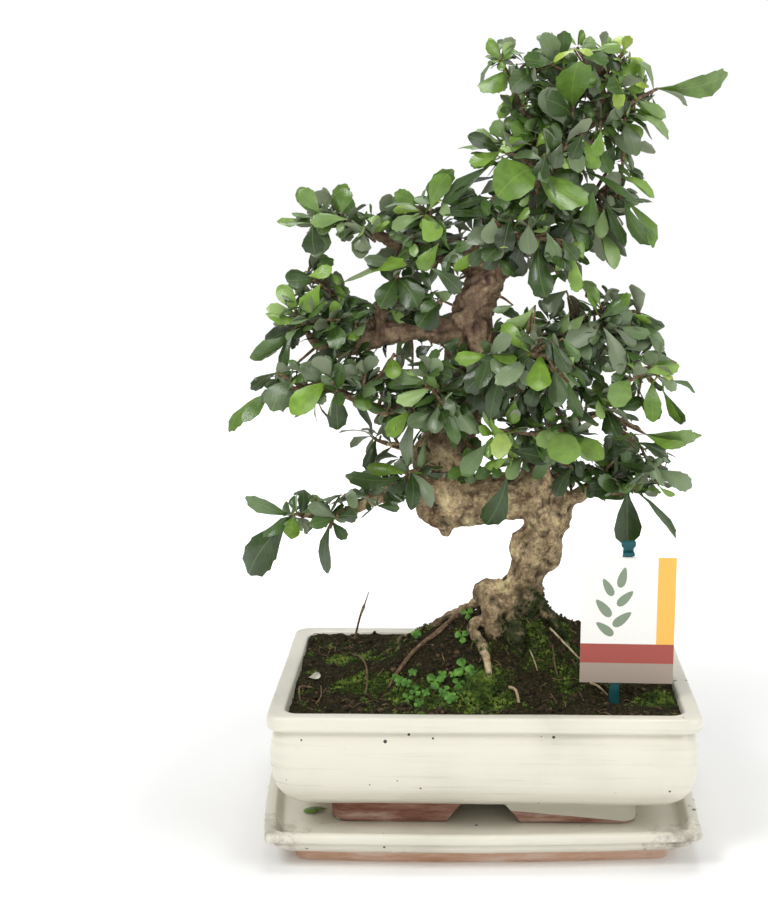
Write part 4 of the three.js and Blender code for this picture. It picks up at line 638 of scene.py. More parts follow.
def twig_material():
    """Young brown shoots: thin smooth bark with paler lenticels."""
    material, tree, place = new_material("young_brown_twig_bark")
    spots = node(tree, "TexNoise", {"Vector": place, "Scale": PER_MM / 2.0, "Detail": 4.0})
    tint = node(tree, "ValToRGB", {"Fac": spots.outputs["Fac"]},
                stops=[(0.35, "4a3826"), (0.52, "6f5840"), (0.7, "97805f")])
    surface(tree, {"Base Color": tint.outputs["Color"], "Roughness": 0.75}, spots.outputs["Fac"], 0.5,
            0.0004)
    return material


def leaf_material(name, dark, middle, bright, pale):
    """Waxy fukien tea leaf: glossy dark face with a paler midrib and hair dots, a painted grey sheen on some
    leaves, matt pale back.
    """
    material, tree, place = new_material(name)
    mark = node(tree, "Attribute", attribute_name="blade")
    # red is how light the leaf is, green marks its back, blue is its own luck, which also gives the luckiest
    # leaves a painted sheen
    parts = node(tree, "SeparateColor", {"Color": mark.outputs["Color"]})
    face = node(tree, "ValToRGB", {"Fac": parts.outputs["Red"]},
                stops=[(0.0, dark), (0.34, middle), (0.7, bright), (1.0, "a9bd45")])
    mottle = node(tree, "TexNoise", {"Vector": place, "Scale": PER_MM / 7, "Detail": 4.0})
    shade = node(tree, "MapRange", {"Value": mottle.outputs["Fac"], "From Min": 0.3, "From Max": 0.7,
                                    "To Min": 0.55, "To Max": 0.95})
    own = node(tree, "Math", {0: parts.outputs["Blue"], 1: 0.5, 2: shade.outputs["Result"]},
               operation="MULTIPLY_ADD")
    toned = node(tree, "VectorMath", {0: face.outputs["Color"], "Scale": own.outputs[0]},
                 operation="SCALE")
    across = node(tree, "SeparateXYZ", {"Vector": node(tree, "TexCoord").outputs["UV"]})
    off = node(tree, "Math", {0: across.outputs["X"], 1: 0.5}, operation="SUBTRACT")
    side = node(tree, "Math", {0: off.outputs[0]}, operation="ABSOLUTE")
    rib = node(tree, "MapRange", {"Value": side.outputs[0], "From Min": 0.006, "From Max": 0.025,
                                  "To Min": 0.2, "To Max": 0.0})
    lean = node(tree, "Math", {0: side.outputs[0], 1: -0.55, 2: across.outputs["Y"]},
                operation="MULTIPLY_ADD")
    veins = node(tree, "Math", {0: lean.outputs[0], 1: 44.0}, operation="MULTIPLY")
    wave = node(tree, "Math", {0: veins.outputs[0]}, operation="SINE")
    ridge = node(tree, "MapRange", {"Value": wave.outputs[0], "From Min": 0.86, "From Max": 1.0,
                                    "To Min": 0.0, "To Max": 0.04})
    line = node(tree, "Math", {0: rib.outputs["Result"], 1: ridge.outputs["Result"]},
                operation="MAXIMUM")
    veined = mix(tree, line.outputs[0], toned.outputs["Vector"], hex_rgba("9fb46a"))
    # Leaves whose luck is over 0.55 are mixed towards pale grey-green: a painted sheen of reflected white
    # light.
    painted_sheen = node(tree, "MapRange", {"Value": parts.outputs["Blue"], "From Min": 0.55, "From Max": 1.0,
                                    "To Max": 0.4})
    sheened_face = mix(tree, painted_sheen.outputs["Result"], veined, hex_rgba("a3ad93"))
    both = mix(tree, parts.outputs["Green"], sheened_face, hex_rgba(pale))
    rough = node(tree, "MapRange", {"Value": parts.outputs["Green"], "To Min": 0.26, "To Max": 0.6})
    hair = node(tree, "TexNoise", {"Vector": place, "Scale": PER_MM / 1.3, "Detail": 3.0})
    height = node(tree, "Math", {0: line.outputs[0], 1: -0.8, 2: hair.outputs["Fac"]},
                  operation="MULTIPLY_ADD")
    surface(tree, {"Base Color": both, "Roughness": rough.outputs["Result"], "Specular IOR Level": 0.5},
            height.outputs[0], 0.35)
    return material


def soil_material():
    """Damp bonsai compost: near-black peat and bark crumbs, greened by moss where it stays wet."""
    material, tree, place = new_material("damp_mossy_compost")
    crumb = node(tree, "TexNoise", {"Vector": place, "Scale": PER_MM / 2.2, "Detail": 8.0,
                                    "Roughness": 0.75})
    tint = node(tree, "ValToRGB", {"Fac": crumb.outputs["Fac"]},
                stops=[(0.34, "141309"), (0.48, "2a2717"), (0.6, "463f28"), (0.74, "857552")])
    moss = node(tree, "Attribute", attribute_name="moss")
    tuft = node(tree, "TexNoise", {"Vector": place, "Scale": PER_MM / 1.6, "Detail": 6.0})
    green = node(tree, "ValToRGB", {"Fac": tuft.outputs["Fac"]},
                 stops=[(0.3, "161d0b"), (0.5, "303c17"), (0.7, "62722f")])
    mixed = mix(tree, moss.outputs["Fac"], tint.outputs["Color"], green.outputs["Color"])
    surface(tree, {"Base Color": mixed, "Roughness": 1.0, "Specular IOR Level": 0.15},
            crumb.outputs["Fac"], 1.0, 0.002)
    return material


def speckled_material(name, stops, size, roughness=0.8):
    """A matt natural surface whose colour wanders between the given stops."""
    material, tree, place = new_material(name)
    pattern = node(tree, "TexNoise", {"Vector": place, "Scale": PER_MM / size, "Detail": 5.0})
    tint = node(tree, "ValToRGB", {"Fac": pattern.outputs["Fac"]}, stops=stops)
    surface(tree, {"Base Color": tint.outputs["Color"], "Roughness": roughness, "Specular IOR Level": 0.3},
            pattern.outputs["Fac"], 0.4)
    return material


def moss_material():
    """Star moss: dark wet green to yellow-green tips, patchy over a centimetre or so."""
    return speckled_material("star_moss", [(0.3, "2c391b"), (0.45, "50682b"), (0.6, "819a42"),
                                           (0.78, "b6c266")], 11)


def card_material(name, code):
    """Printed coated card: even ink, a soft sheen and a faint paper tooth."""
    material, tree, place = new_material(name)
    tooth = node(tree, "TexNoise", {"Vector": place, "Scale": PER_MM / 0.8, "Detail": 3.0})
    shade = node(tree, "MapRange", {"Value": tooth.outputs["Fac"], "To Min": 0.93, "To Max": 1.05})
    ink = node(tree, "HueSaturation", {"Color": hex_rgba(code), "Value": shade.outputs["Result"]})
    surface(tree, {"Base Color": ink.outputs["Color"], "Roughness": 0.42}, tooth.outputs["Fac"], 0.15,
            0.0002)
    return material


# Where the leaves stand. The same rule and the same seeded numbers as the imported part's.

seed = 20731
# Blender seeds its noise vectors by the clock; seeded here, each run gives the same forms.
noise.seed_set(seed)


def park_random():
    """Seeded random number from 0 to 1."""
    global seed
    seed = (seed * 16807) % 2147483647
    return seed / 2147483647


def stops_of(rows):
    """[point, radius] stops from rows of [x, z, y, radius]."""
    return [[at(x, z, y), radius] for x, z, y, radius in rows]


def sketch_blade(leaf):
    """The blade's corner points, used to keep leaves from crossing each other."""
    length = (leaf["tip"] - leaf["base"]).length
    axis = (leaf["tip"] - leaf["base"]).normalized()
    across = axis.cross(leaf["normal"]).normalized()
    corners = [leaf["base"].copy()]
    for s, w in ((0.4, 0.7), (0.8, 1.0)):
        for sign in (-1, 1):
            corners.append(leaf["base"] + axis * (s * length)
                           + leaf["normal"] * (4 * leaf["arch"] * length * s * (1 - s))
                           + across * (sign * (w * leaf["width"] / 2 + 0.6)))
    corners.append(leaf["tip"] + axis * 0.6)
    corners.append(leaf["root"].copy())
    return {"corners": corners, "centre": leaf["base"].lerp(leaf["tip"], 0.55), "reach": 0.62 * length + 1}


SKETCH_FACES = [(0, 1, 2), (1, 2, 4), (1, 4, 3), (3, 4, 5)]
SKETCH_EDGES = [(0, 1), (0, 2), (1, 3), (2, 4), (3, 5), (4, 5), (0, 5), (6, 0)]


def segment_hits(p, q, a, b, c):
    """Whether the segment from p to q passes through the triangle a, b, c."""
    u = b - a
    v = c - a
    normal = u.cross(v)
    dp = (p - a).dot(normal)
    dq = (q - a).dot(normal)
    if dp * dq > 0 or abs(dp - dq) < 1e-9:
        return False
    hit = p.lerp(q, dp / (dp - dq)) - a
    uu = u.dot(u)
    uv = u.dot(v)
    vv = v.dot(v)
    hu = hit.dot(u)
    hv = hit.dot(v)
    det = uu * vv - uv * uv
    s = (vv * hu - uv * hv) / det
    t = (uu * hv - uv * hu) / det
    return s >= 0 and t >= 0 and s + t <= 1


def blades_cross(one, two):
    """Whether two sketched leaves pass through each other."""
    if (one["centre"] - two["centre"]).length > one["reach"] + two["reach"]:
        return False
    for first, second in ((one["corners"], two["corners"]), (two["corners"], one["corners"])):
        for i, j in SKETCH_EDGES:
            for a, b, c in SKETCH_FACES:
                if segment_hits(first[i], first[j], second[a], second[b], second[c]):
                    return True
    return False


WOOD_LINES = []
for wood_rows in [t["stops"] for t in TRUNK] + LIMBS:
    wood_stops = stops_of(wood_rows)
    for one_stop, next_stop in zip(wood_stops, wood_stops[1:]):
        WOOD_LINES.append((one_stop[0], next_stop[0], max(one_stop[1], next_stop[1])))


def in_wood(points):
    """Whether any of the points lies in the trunk or a limb, or within a millimetre of it."""
    for point in points:
        for a, b, radius in WOOD_LINES:
            line = b - a
            t = min(1.0, max(0.0, (point - a).dot(line) / line.dot(line)))
            if (point - (a + line * t)).length < radius + 1:
                return True
    return False


def nearest_on(twigs, point, order, clear):
    """Where a leaf leaves its twigs: the nearest point, set back a little for each leaf."""
    best = None
    reach = math.inf
    for twig, stops in enumerate(twigs):
        for i in range(1, len(stops)):
            a = stops[i - 1]
            line = stops[i] - a
            least = min(0.9, (clear if twig == 0 and i == 1 else 2.2) / line.length)
            t = min(1.0, max(least, (point - a).dot(line) / line.dot(line)))
            near = a + line * t
            if (near - point).length < reach:
                reach = (near - point).length
                back = (0.6 + 1.3 * (order % 4)) / line.length
                best = a + line * max(least, t - back)
    return best


LEANS = [0.35, -0.3, 0.1, -0.5, 0.55, -0.15]
SHIFTS = [0, -4, 4, -8, 8, -12, 12, -16]
END_REACH = 9


def front_leaf(row, plan, shift, order):
    """A leaf read from the front view: foot and tip as x and z, visible width and nearness."""
    bx, bz, tx, tz, width, layer = row[:6]
    across_view = math.hypot(tx - bx, tz - bz)
    full = 1.75 * width
    if across_view < full:
        lean = -math.sqrt(full * full - across_view * across_view)
    else:
        lean = LEANS[order % 6] * across_view
    root = nearest_on(plan["twigs"], at(bx, bz, plan["sprig"]["y"]), order, plan["clear"])
    tip = at(tx, tz, root.y + lean - 7 * layer + shift)
    base = at(bx, bz, root.y)
    stalk = base - root
    if stalk.length < 11 and stalk.dot((tip - base).normalized()) < 0.5 * stalk.length:
        base = root
    axis = (tip - base).normalized()
    across = max(width, 0.36 * (tip - base).length)
    normal = square_to(Vector((0, -1, 0.32)), axis)
    roll = math.acos(min(1.0, width / across)) * (1 if order % 2 == 0 else -1)
    return {"root": root, "base": base, "tip": tip, "width": across,
            "normal": Quaternion(axis, roll) @ normal, "arch": 0.09,
            "form": "scalloped" if len(row) > 6 else ("entire", "toothed", "plain")[order % 3]}


def rule_leaf(twig, outward, index, count, size):
    """A leaf placed by rule along the end of a twig."""
    end = twig[-1]
    back = twig[-2] - end
    step = min(1.3, 0.8 * back.length / count)
    base = end + back.normalized() * (0.5 + step * index)
    lengthwise = 1 - 1.45 * (index + 0.5) / count
    azimuth = 2.399963 * index + 0.9 * (park_random() - 0.5)
    helper = UP if abs(outward.z) < 0.9 else SIDEWAYS
    first = outward.cross(helper).normalized()
    second = outward.cross(first)
    radial = math.sqrt(1 - lengthwise * lengthwise)
    way = outward * lengthwise + first * (radial * math.cos(azimuth)) + second * (radial * math.sin(azimuth))
    way.z -= 0.12
    way.normalize()
    length = size * (0.75 + 0.5 * park_random())
    tip = base + way * length
    normal = square_to(Vector((0.15 * (park_random() - 0.5), -0.25, 1)), way)
    width = length * (0.4 + 0.12 * park_random())
    return {"root": base, "base": base, "tip": tip, "width": width,
            "normal": Quaternion(way, 1.1 * (park_random() - 0.5)) @ normal, "arch": 0.1,
            "form": "toothed" if index % 3 == 0 else "plain"}


def lay_out_leaves():
    """The sprigs' twigs and leaves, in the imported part's order."""
    ends = []
    for rows in [TRUNK[2]["stops"]] + LIMBS:
        stops = stops_of(rows)
        ends.append((stops[-1][0], (stops[-1][0] - stops[-2][0]).normalized(), stops[-1][1]))
    placed = []
    plans = []
    for name, sprig in SPRIGS.items():
        twigs = [[at(x, z, sprig["y"] + dy) for x, z, dy in rows] for rows in sprig["twigs"]]
        end = next((e for e in ends if (e[0] - twigs[0][0]).length < END_REACH), None)
        clear = 6 if end is None else 2.2
        if end is not None:
            twigs[0][0] = end[0] + end[1] * (1.1 * GAP)
        for i in range(1, len(twigs)):
            twigs[i][0] = nearest_on(twigs[:i], twigs[i][0], 0, clear)
        plan = {"name": name, "sprig": sprig, "twigs": twigs, "end": end, "clear": clear, "leaves": []}
        for order, row in enumerate(sprig["leaves"]):
            tries = [front_leaf(row, plan, shift, order) for shift in SHIFTS]
            leaf = tries[0]
            for one in tries:
                sketch = sketch_blade(one)
                if not any(blades_cross(sketch, other) for other in placed):
                    leaf = one
                    break
            placed.append(sketch_blade(leaf))
            plan["leaves"].append(leaf)
        plans.append(plan)
    for plan in plans:
        sprig = plan["sprig"]
        outward = Vector(sprig["out"]).normalized()
        for i in range(sprig["fill"]):
            twig = plan["twigs"][i % len(plan["twigs"])]
            for attempt in range(6):
                leaf = rule_leaf(twig, outward, i, sprig["fill"], sprig["size"])
                leaf["tip"].z -= 3 * attempt
                sketch = sketch_blade(leaf)
                if in_wood(sketch["corners"][1:6]) or any(blades_cross(sketch, o) for o in placed):
                    continue
                placed.append(sketch)
                plan["leaves"].append(leaf)
                break
    return plans


# Saucer and pot.


def wobble(bm, amount, size):
    """Hand-thrown unevenness: moves the surface gently in and out."""
    for vert in bm.verts:
        vert.co += noise.noise_vector(vert.co / size) * amount


# Profiles from the foot up the outside and down the inside: [inset, height, corner radius].
SAUCER_ROWS = [
    [21, 0.2, 9], [20.4, 0, 9.4], [20, 1, 10], [20, 8.5, 10], [18.5, 9.7, 10], [13.5, 9.8, 9.5],
    [11.6, 10.6, 9.5], [9.4, 12.6, 9], [6.8, 14.8, 8], [5.4, 16.4, 8], [5.2, 18.4, 7.6], [5.6, 19.2, 7.4],
    [3.6, 19.7, 7], [1.2, 20.9, 6], [0.2, 22, 5.4], [0, 23.4, 5], [0.1, 25, 5], [0.6, 26.3, 5],
    [1.7, 27, 5], [4.4, 27.2, 5.4], [7, 27, 6], [8.3, 26.2, 6], [9.2, 24.6, 6], [10.6, 21.4, 6],
    [11.8, 19.2, 6], [13.6, 18.2, 5.4], [16.5, 18, 5]]
SAUCER_BOW = 5
SAUCER_TURN = 0.033
SAUCER_FLOOR = 18
BARE_SLAB_TOP = 9.6
POT_ROWS = [
    [31, 18, 11], [27, 18.4, 11.5], [20, 20.4, 12.2], [15, 23.2, 12.6], [11, 26.2, 13], [7.6, 30.4, 13.6],
    [5, 35.2, 14], [3.3, 40.4, 14], [2.2, 46.4, 14], [1.6, 53, 14], [1.5, 60, 14], [1.8, 65.5, 14],
    [2.4, 70.5, 13.8], [3.4, 74.4, 13.4], [4.4, 77.2, 13.2], [4.6, 78.2, 13], [4, 79, 12.6], [1.6, 79.4, 12],
    [0.4, 80.2, 11.4], [0, 81.6, 11], [0, 84.5, 11], [0, 87.2, 11], [0.4, 88.8, 11], [1.4, 89.8, 10.8],
    [3, 90.1, 10.6], [6.4, 90.2, 10.8], [9.6, 90, 11.2], [11.2, 89.2, 11.6], [12, 87.6, 12],
    [12.6, 84, 12], [13.4, 76, 11], [12.5, 62, 12], [12.8, 47, 13], [17, 34, 12], [28, 28, 10]]


DRAIN_X = 62
FOOT_CORNER = 12
FOOT_WALL = 15


def make_saucer(settings, glaze, clay):
    """The saucer, glazed above and bare clay on the slab that it stands on."""
    half_x = settings.saucer_width / MM / 2
    half_y = settings.saucer_depth / MM / 2
    bm = bmesh.new()
    stack(bm, [rounded_ring(half_x - inset, half_y - inset, radius, z, SAUCER_BOW)
               for inset, z, radius in SAUCER_ROWS])
    floor = [v for v in bm.verts if abs(v.co.z - SAUCER_FLOOR) < 0.01]
    wobble(bm, 0.35, 45)
    for vert in floor:
        vert.co.z = SAUCER_FLOOR
    bmesh.ops.rotate(bm, cent=(0, 0, 0), matrix=Matrix.Rotation(SAUCER_TURN, 3, "Z"), verts=bm.verts)
    for face in bm.faces:
        face.material_index = 1 if face.calc_center_median().z < BARE_SLAB_TOP else 0
    finish_piece(bm, "saucer_glazed", [glaze, clay], ["saucer"], offset=Vector((0, 0, 0)))


def foot_chain(inset, z, end, settings):
    """Points along one foot's outer wall, round its corner, from gap to gap."""
    half_x = settings.foot_half_width / MM - inset
    half_y = settings.foot_half_depth / MM - inset
    radius = FOOT_CORNER
    chain = []
    for x in (end, (end + half_x - radius) / 2):
        chain.append(Vector((x, half_y, z)))
    for i in range(7):
        angle = math.pi / 2 * (1 - i / 6)
        chain.append(Vector((half_x - radius + radius * math.cos(angle),
                             half_y - radius + radius * math.sin(angle), z)))
    for y in ((end + half_y - radius) / 2, end):
        chain.append(Vector((half_x, y, z)))
    return chain


def make_foot(bm, sx, sy, settings):
    """One of the four L-shaped feet: a wall drawn up from a chain, then given its thickness."""
    rows = [(1.3, GAP, 27), (0.4, 1.0, 26.4), (0, 2.4, 25.4), (0, 8, 20.8), (0, 13, 16.6),
            (0, 15, 14.6), (0, 19.4, 12.5)]
    foot = bmesh.new()
    chain = [foot.verts.new(point) for point in foot_chain(*rows[0], settings)]
    for pair in zip(chain, chain[1:]):
        bmesh.ops.contextual_create(foot, geom=list(pair))
    for row in rows[1:]:
        chain = grow_ring(foot, chain, foot_chain(*row, settings), closed=False)
    bmesh.ops.recalc_face_normals(foot, faces=foot.faces)
    outward = sum((f.normal.x + f.normal.y for f in foot.faces), 0.0)
    if outward < 0:
        bmesh.ops.reverse_faces(foot, faces=foot.faces)
    bmesh.ops.solidify(foot, geom=foot.faces[:], thickness=FOOT_WALL)
    bmesh.ops.scale(foot, vec=(sx, sy, 1), verts=foot.verts)
    bmesh.ops.recalc_face_normals(foot, faces=foot.faces)
    part = mesh_from(foot, "foot")
    bm.from_mesh(part)
    bpy.data.meshes.remove(part)


def make_pot(settings, glaze, clay):
    """The pot on its four feet, with its two drain holes as dark discs of painted shade."""
    half_x = settings.pot_width / MM / 2
    half_y = settings.pot_depth / MM / 2
    bm = bmesh.new()
    stack(bm, [rounded_ring(half_x - inset, half_y - inset, radius, z)
               for inset, z, radius in blend_rows(POT_ROWS, 2)])
    # Each drain hole is a flat dark disc under the pot's floor: painted shade where the opening would be.
    for x in (-DRAIN_X, DRAIN_X):
        bmesh.ops.create_circle(bm, segments=20, radius=7, cap_ends=True,
                                matrix=Matrix.Translation((x, 0, 17.9)) @ Matrix.Rotation(math.pi, 4, "X"))
    bm.faces.ensure_lookup_table()
    body_faces = len(bm.faces)
    for face in bm.faces[-2:]:
        face.material_index = 2
    for sx in (-1, 1):
        for sy in (-1, 1):
            make_foot(bm, sx, sy, settings)
    bm.faces.ensure_lookup_table()
    # the glaze ran down the right-hand feet to a slanting edge
    feet = bm.faces[body_faces:]
    right = [f for f in feet if f.calc_center_median().x > 0]
    edges = {e for f in right for e in f.edges}
    verts = {v for f in right for v in f.verts}
    run = Vector((7.5, 0, 84)).normalized()
    start = Vector((26, 0, 9))
    for face in feet:
        face.material_index = 1
    bmesh.ops.bisect_plane(bm, geom=[*right, *edges, *verts], plane_co=start, plane_no=run)
    for face in bm.faces:
        middle = face.calc_center_median()
        if face.material_index == 1 and middle.x > 0 and (middle - start).dot(run) > 0:
            face.material_index = 0
    bm.faces.ensure_lookup_table()
    wobble(bm, 0.35, 40)
    # The discs' near-black colour is painted shade standing in for the holes.
    dark = speckled_material("painted_drain_hole_shade", [(0.3, "0b0908"), (0.7, "1c1712")], 2)
    finish_piece(bm, "pot_glazed", [glaze, clay, dark], ["pot"], crease=55)


def make_drain_meshes():
    """The plastic grids over the drain holes, inside the pot."""
    plastic = speckled_material("black_polypropylene_mesh", [(0.3, "191b1a"), (0.7, "2a2d2b")], 3, 0.55)
    for name, x in (("left", -DRAIN_X), ("right", DRAIN_X)):
        bm = bmesh.new()
        bmesh.ops.create_grid(bm, x_segments=8, y_segments=8, size=12.6,
                              matrix=Matrix.Translation((x, 0, 28.9)))
        bmesh.ops.wireframe(bm, faces=bm.faces[:], thickness=1.0, use_replace=True, use_boundary=True,
                            use_even_offset=True)
        finish_piece(bm, "drain_grid_" + name, [plastic], ["drain_mesh_" + name], crease=30)


# Soil and what grows on it.


def soil_height(x, y):
    """Height of the soil above the saucer's floor: a mound, clods, and a rise at the back."""
    away = math.hypot(x - 22, 1.6 * (y - 12)) / 135
    mound = 61 * max(0.0, 1 - away) ** 1.2
    clods = (1.3 * math.sin(0.11 * x + 0.7) * math.sin(0.13 * y + 0.4)
             + 0.9 * math.sin(0.31 * x + 0.19 * y) * math.sin(0.27 * y - 0.12 * x))
    hollow = 4.5 * math.exp(-(((x + 118) / 28) ** 2 + ((y + 62) / 40) ** 2))
    rise = 3.2 * min(1.0, max(0.0, (y - 15) / 60))
    return 85 + mound + clods + rise - hollow


def ground(x, z, lift=0.0):
    """Where the line of sight through x and z of the front view meets the soil."""
    best = at(x, z)
    least = math.inf
    for y in range(-94, 48):
        point = at(x, z, y)
        above = point.z - soil_height(point.x, point.y)
        if above < least:
            least = above
            best = point
        if above <= 0:
            break
    best.z = soil_height(best.x, best.y) + lift
    return best


# Moss patches in the front view: [x, z, radius across, strength]. Those behind the trunk: in plan.
MOSS_IN_FRONT = [
    [-101, 96, 18, 1], [-92, 98, 13, 0.9], [-98, 77, 20, 1], [-79, 80, 14, 1], [-73, 100, 14, 0.9],
    [-60, 68, 17, 0.8], [-48, 68, 17, 0.9], [-38, 66, 17, 1], [-28, 64, 14, 0.9], [-18, 70, 17, 1],
    [-8, 78, 17, 1], [4, 72, 22, 1], [12, 84, 14, 0.8], [-10, 64, 20, 1], [10, 64, 17, 1],
    [43, 110, 13, 1], [46, 100, 11, 0.7], [64, 84, 14, 0.7], [135, 66, 20, 1], [122, 64, 11, 0.8],
    [-48, 114, 7, 0.6], [-110, 72, 8, 0.5], [30, 124, 14, 1], [38, 120, 14, 1], [20, 130, 11, 0.9],
    [60, 122, 11, 0.7], [-20, 118, 8, 0.5]]
MOSS_PATCHES = [[40, 50, 40, 0.7], [-40, 50, 36, 0.7], [100, 20, 30, 0.7]]
for patch_x, patch_z, patch_size, patch_strength in MOSS_IN_FRONT:
    patch_place = ground(patch_x, patch_z)
    MOSS_PATCHES.append([patch_place.x, patch_place.y, patch_size, patch_strength])


def moss_at(x, y):
    """How mossy the soil is at a point of the plan, 0 to 1."""
    most = 0.0
    for px, py, size, strength in MOSS_PATCHES:
        away = math.hypot(x - px, (y - py) * 1.1) / size
        most = max(most, strength * (1 - smoothstep(0.4, 1.15, away)))
    patchy = noise.noise(Vector((x / 17, y / 14, 3.3))) * 0.9 + noise.noise(Vector((x / 5, y / 5, 8.1))) * 0.6
    return min(1.0, max(0.0, most + patchy * 0.8 + 0.07))


def soil_top(x, y):
    """The soil's surface with its crumbs."""
    rough = noise.fractal(Vector((x / 6.5, y / 6.5, 0.7)), 0.9, 2.1, 4) * 1.5
    return soil_height(x, y) + rough


SOIL_HALF_X = 137.3
SOIL_HALF_Y = 94.8
SOIL_CORNER = 11.5


def inside_pot(u, v):
    """Maps a square from -1 to 1 onto the rounded rectangle inside the pot."""
    x = u * SOIL_HALF_X
    y = v * SOIL_HALF_Y
    dx = abs(x) - (SOIL_HALF_X - SOIL_CORNER)
    dy = abs(y) - (SOIL_HALF_Y - SOIL_CORNER)
    if dx > 0 and dy > 0:
        k = max(dx, dy) / math.hypot(dx, dy)
        x = math.copysign(SOIL_HALF_X - SOIL_CORNER + dx * k, x)
        y = math.copysign(SOIL_HALF_Y - SOIL_CORNER + dy * k, y)
    return x, y


def make_soil():
    """The soil: its crumbed top, and a plain body down to the pot's floor."""
    bm = bmesh.new()
    bmesh.ops.create_grid(bm, x_segments=150, y_segments=104, size=1)
    for vert in bm.verts:
        x, y = inside_pot(vert.co.x, vert.co.y)
        vert.co = Vector((x, y, soil_top(x, y)))
    rim = [e for e in bm.edges if e.is_boundary]
    for depth, shrink in ((70, 0.992), (47, 0.985), (34, 0.93), (28.6, 0.85)):
        made = bmesh.ops.extrude_edge_only(bm, edges=rim)["geom"]
        rim = [item for item in made if isinstance(item, bmesh.types.BMEdge)]
        for vert in {v for e in rim for v in e.verts}:
            x, y = vert.co.x, vert.co.y
            flat = max(abs(x) / SOIL_HALF_X, abs(y) / SOIL_HALF_Y)
            vert.co = Vector((x * shrink / max(flat, 0.8) * min(flat, 1), y * shrink, depth))
    bmesh.ops.contextual_create(bm, geom=rim)
    moss = bm.verts.layers.float.new("moss")
    for vert in bm.verts:
        vert[moss] = smoothstep(0.25, 0.75, moss_at(vert.co.x, vert.co.y))
    bmesh.ops.recalc_face_normals(bm, faces=bm.faces[:])
    finish_piece(bm, "compost", [soil_material()], ["soil"], crease=80)


def scatter(bm, template, matrix):
    """Adds a copy of a template mesh, placed by a matrix."""
    count = len(bm.verts)
    bm.from_mesh(template)
    bm.verts.ensure_lookup_table()
    bmesh.ops.transform(bm, matrix=matrix, verts=bm.verts[count:])


def crumb_template():
    """A lumpy pebble of unit radius."""
    bm = bmesh.new()
    bmesh.ops.create_icosphere(bm, subdivisions=1, radius=1)
    for vert in bm.verts:
        vert.co *= 0.8 + 0.45 * (0.5 + 0.5 * noise.noise(vert.co * 2.3))
    return mesh_from(bm, "crumb")


def moss_template():
    """One moss shoot: a short stem with pointed leaflets in a star."""
    bm = bmesh.new()
    for i in range(6):
        lean = 0.35 + 0.16 * i
        matrix = (Matrix.Rotation(SPIRAL * i, 4, "Z") @ Matrix.Rotation(lean, 4, "Y")
                  @ Matrix.Translation((0, 0, 0.5)) @ Matrix.Diagonal((0.16, 0.3, 1, 1)))
        bmesh.ops.create_cone(bm, segments=3, radius1=1, radius2=0.0, depth=1.0, cap_ends=True,
                              matrix=matrix)
    bmesh.ops.remove_doubles(bm, verts=bm.verts, dist=0.0005)
    return mesh_from(bm, "moss_shoot")


def stand_up(rand, place, size, lean):
    """The matrix of a moss shoot at a place, with a random turn and lean."""
    return (Matrix.Translation(place) @ Matrix.Rotation(rand.uniform(0, TURN), 4, "Z")
            @ Matrix.Rotation(rand.uniform(-lean, lean), 4, "X") @ Matrix.Diagonal((size, size, size, 1)))


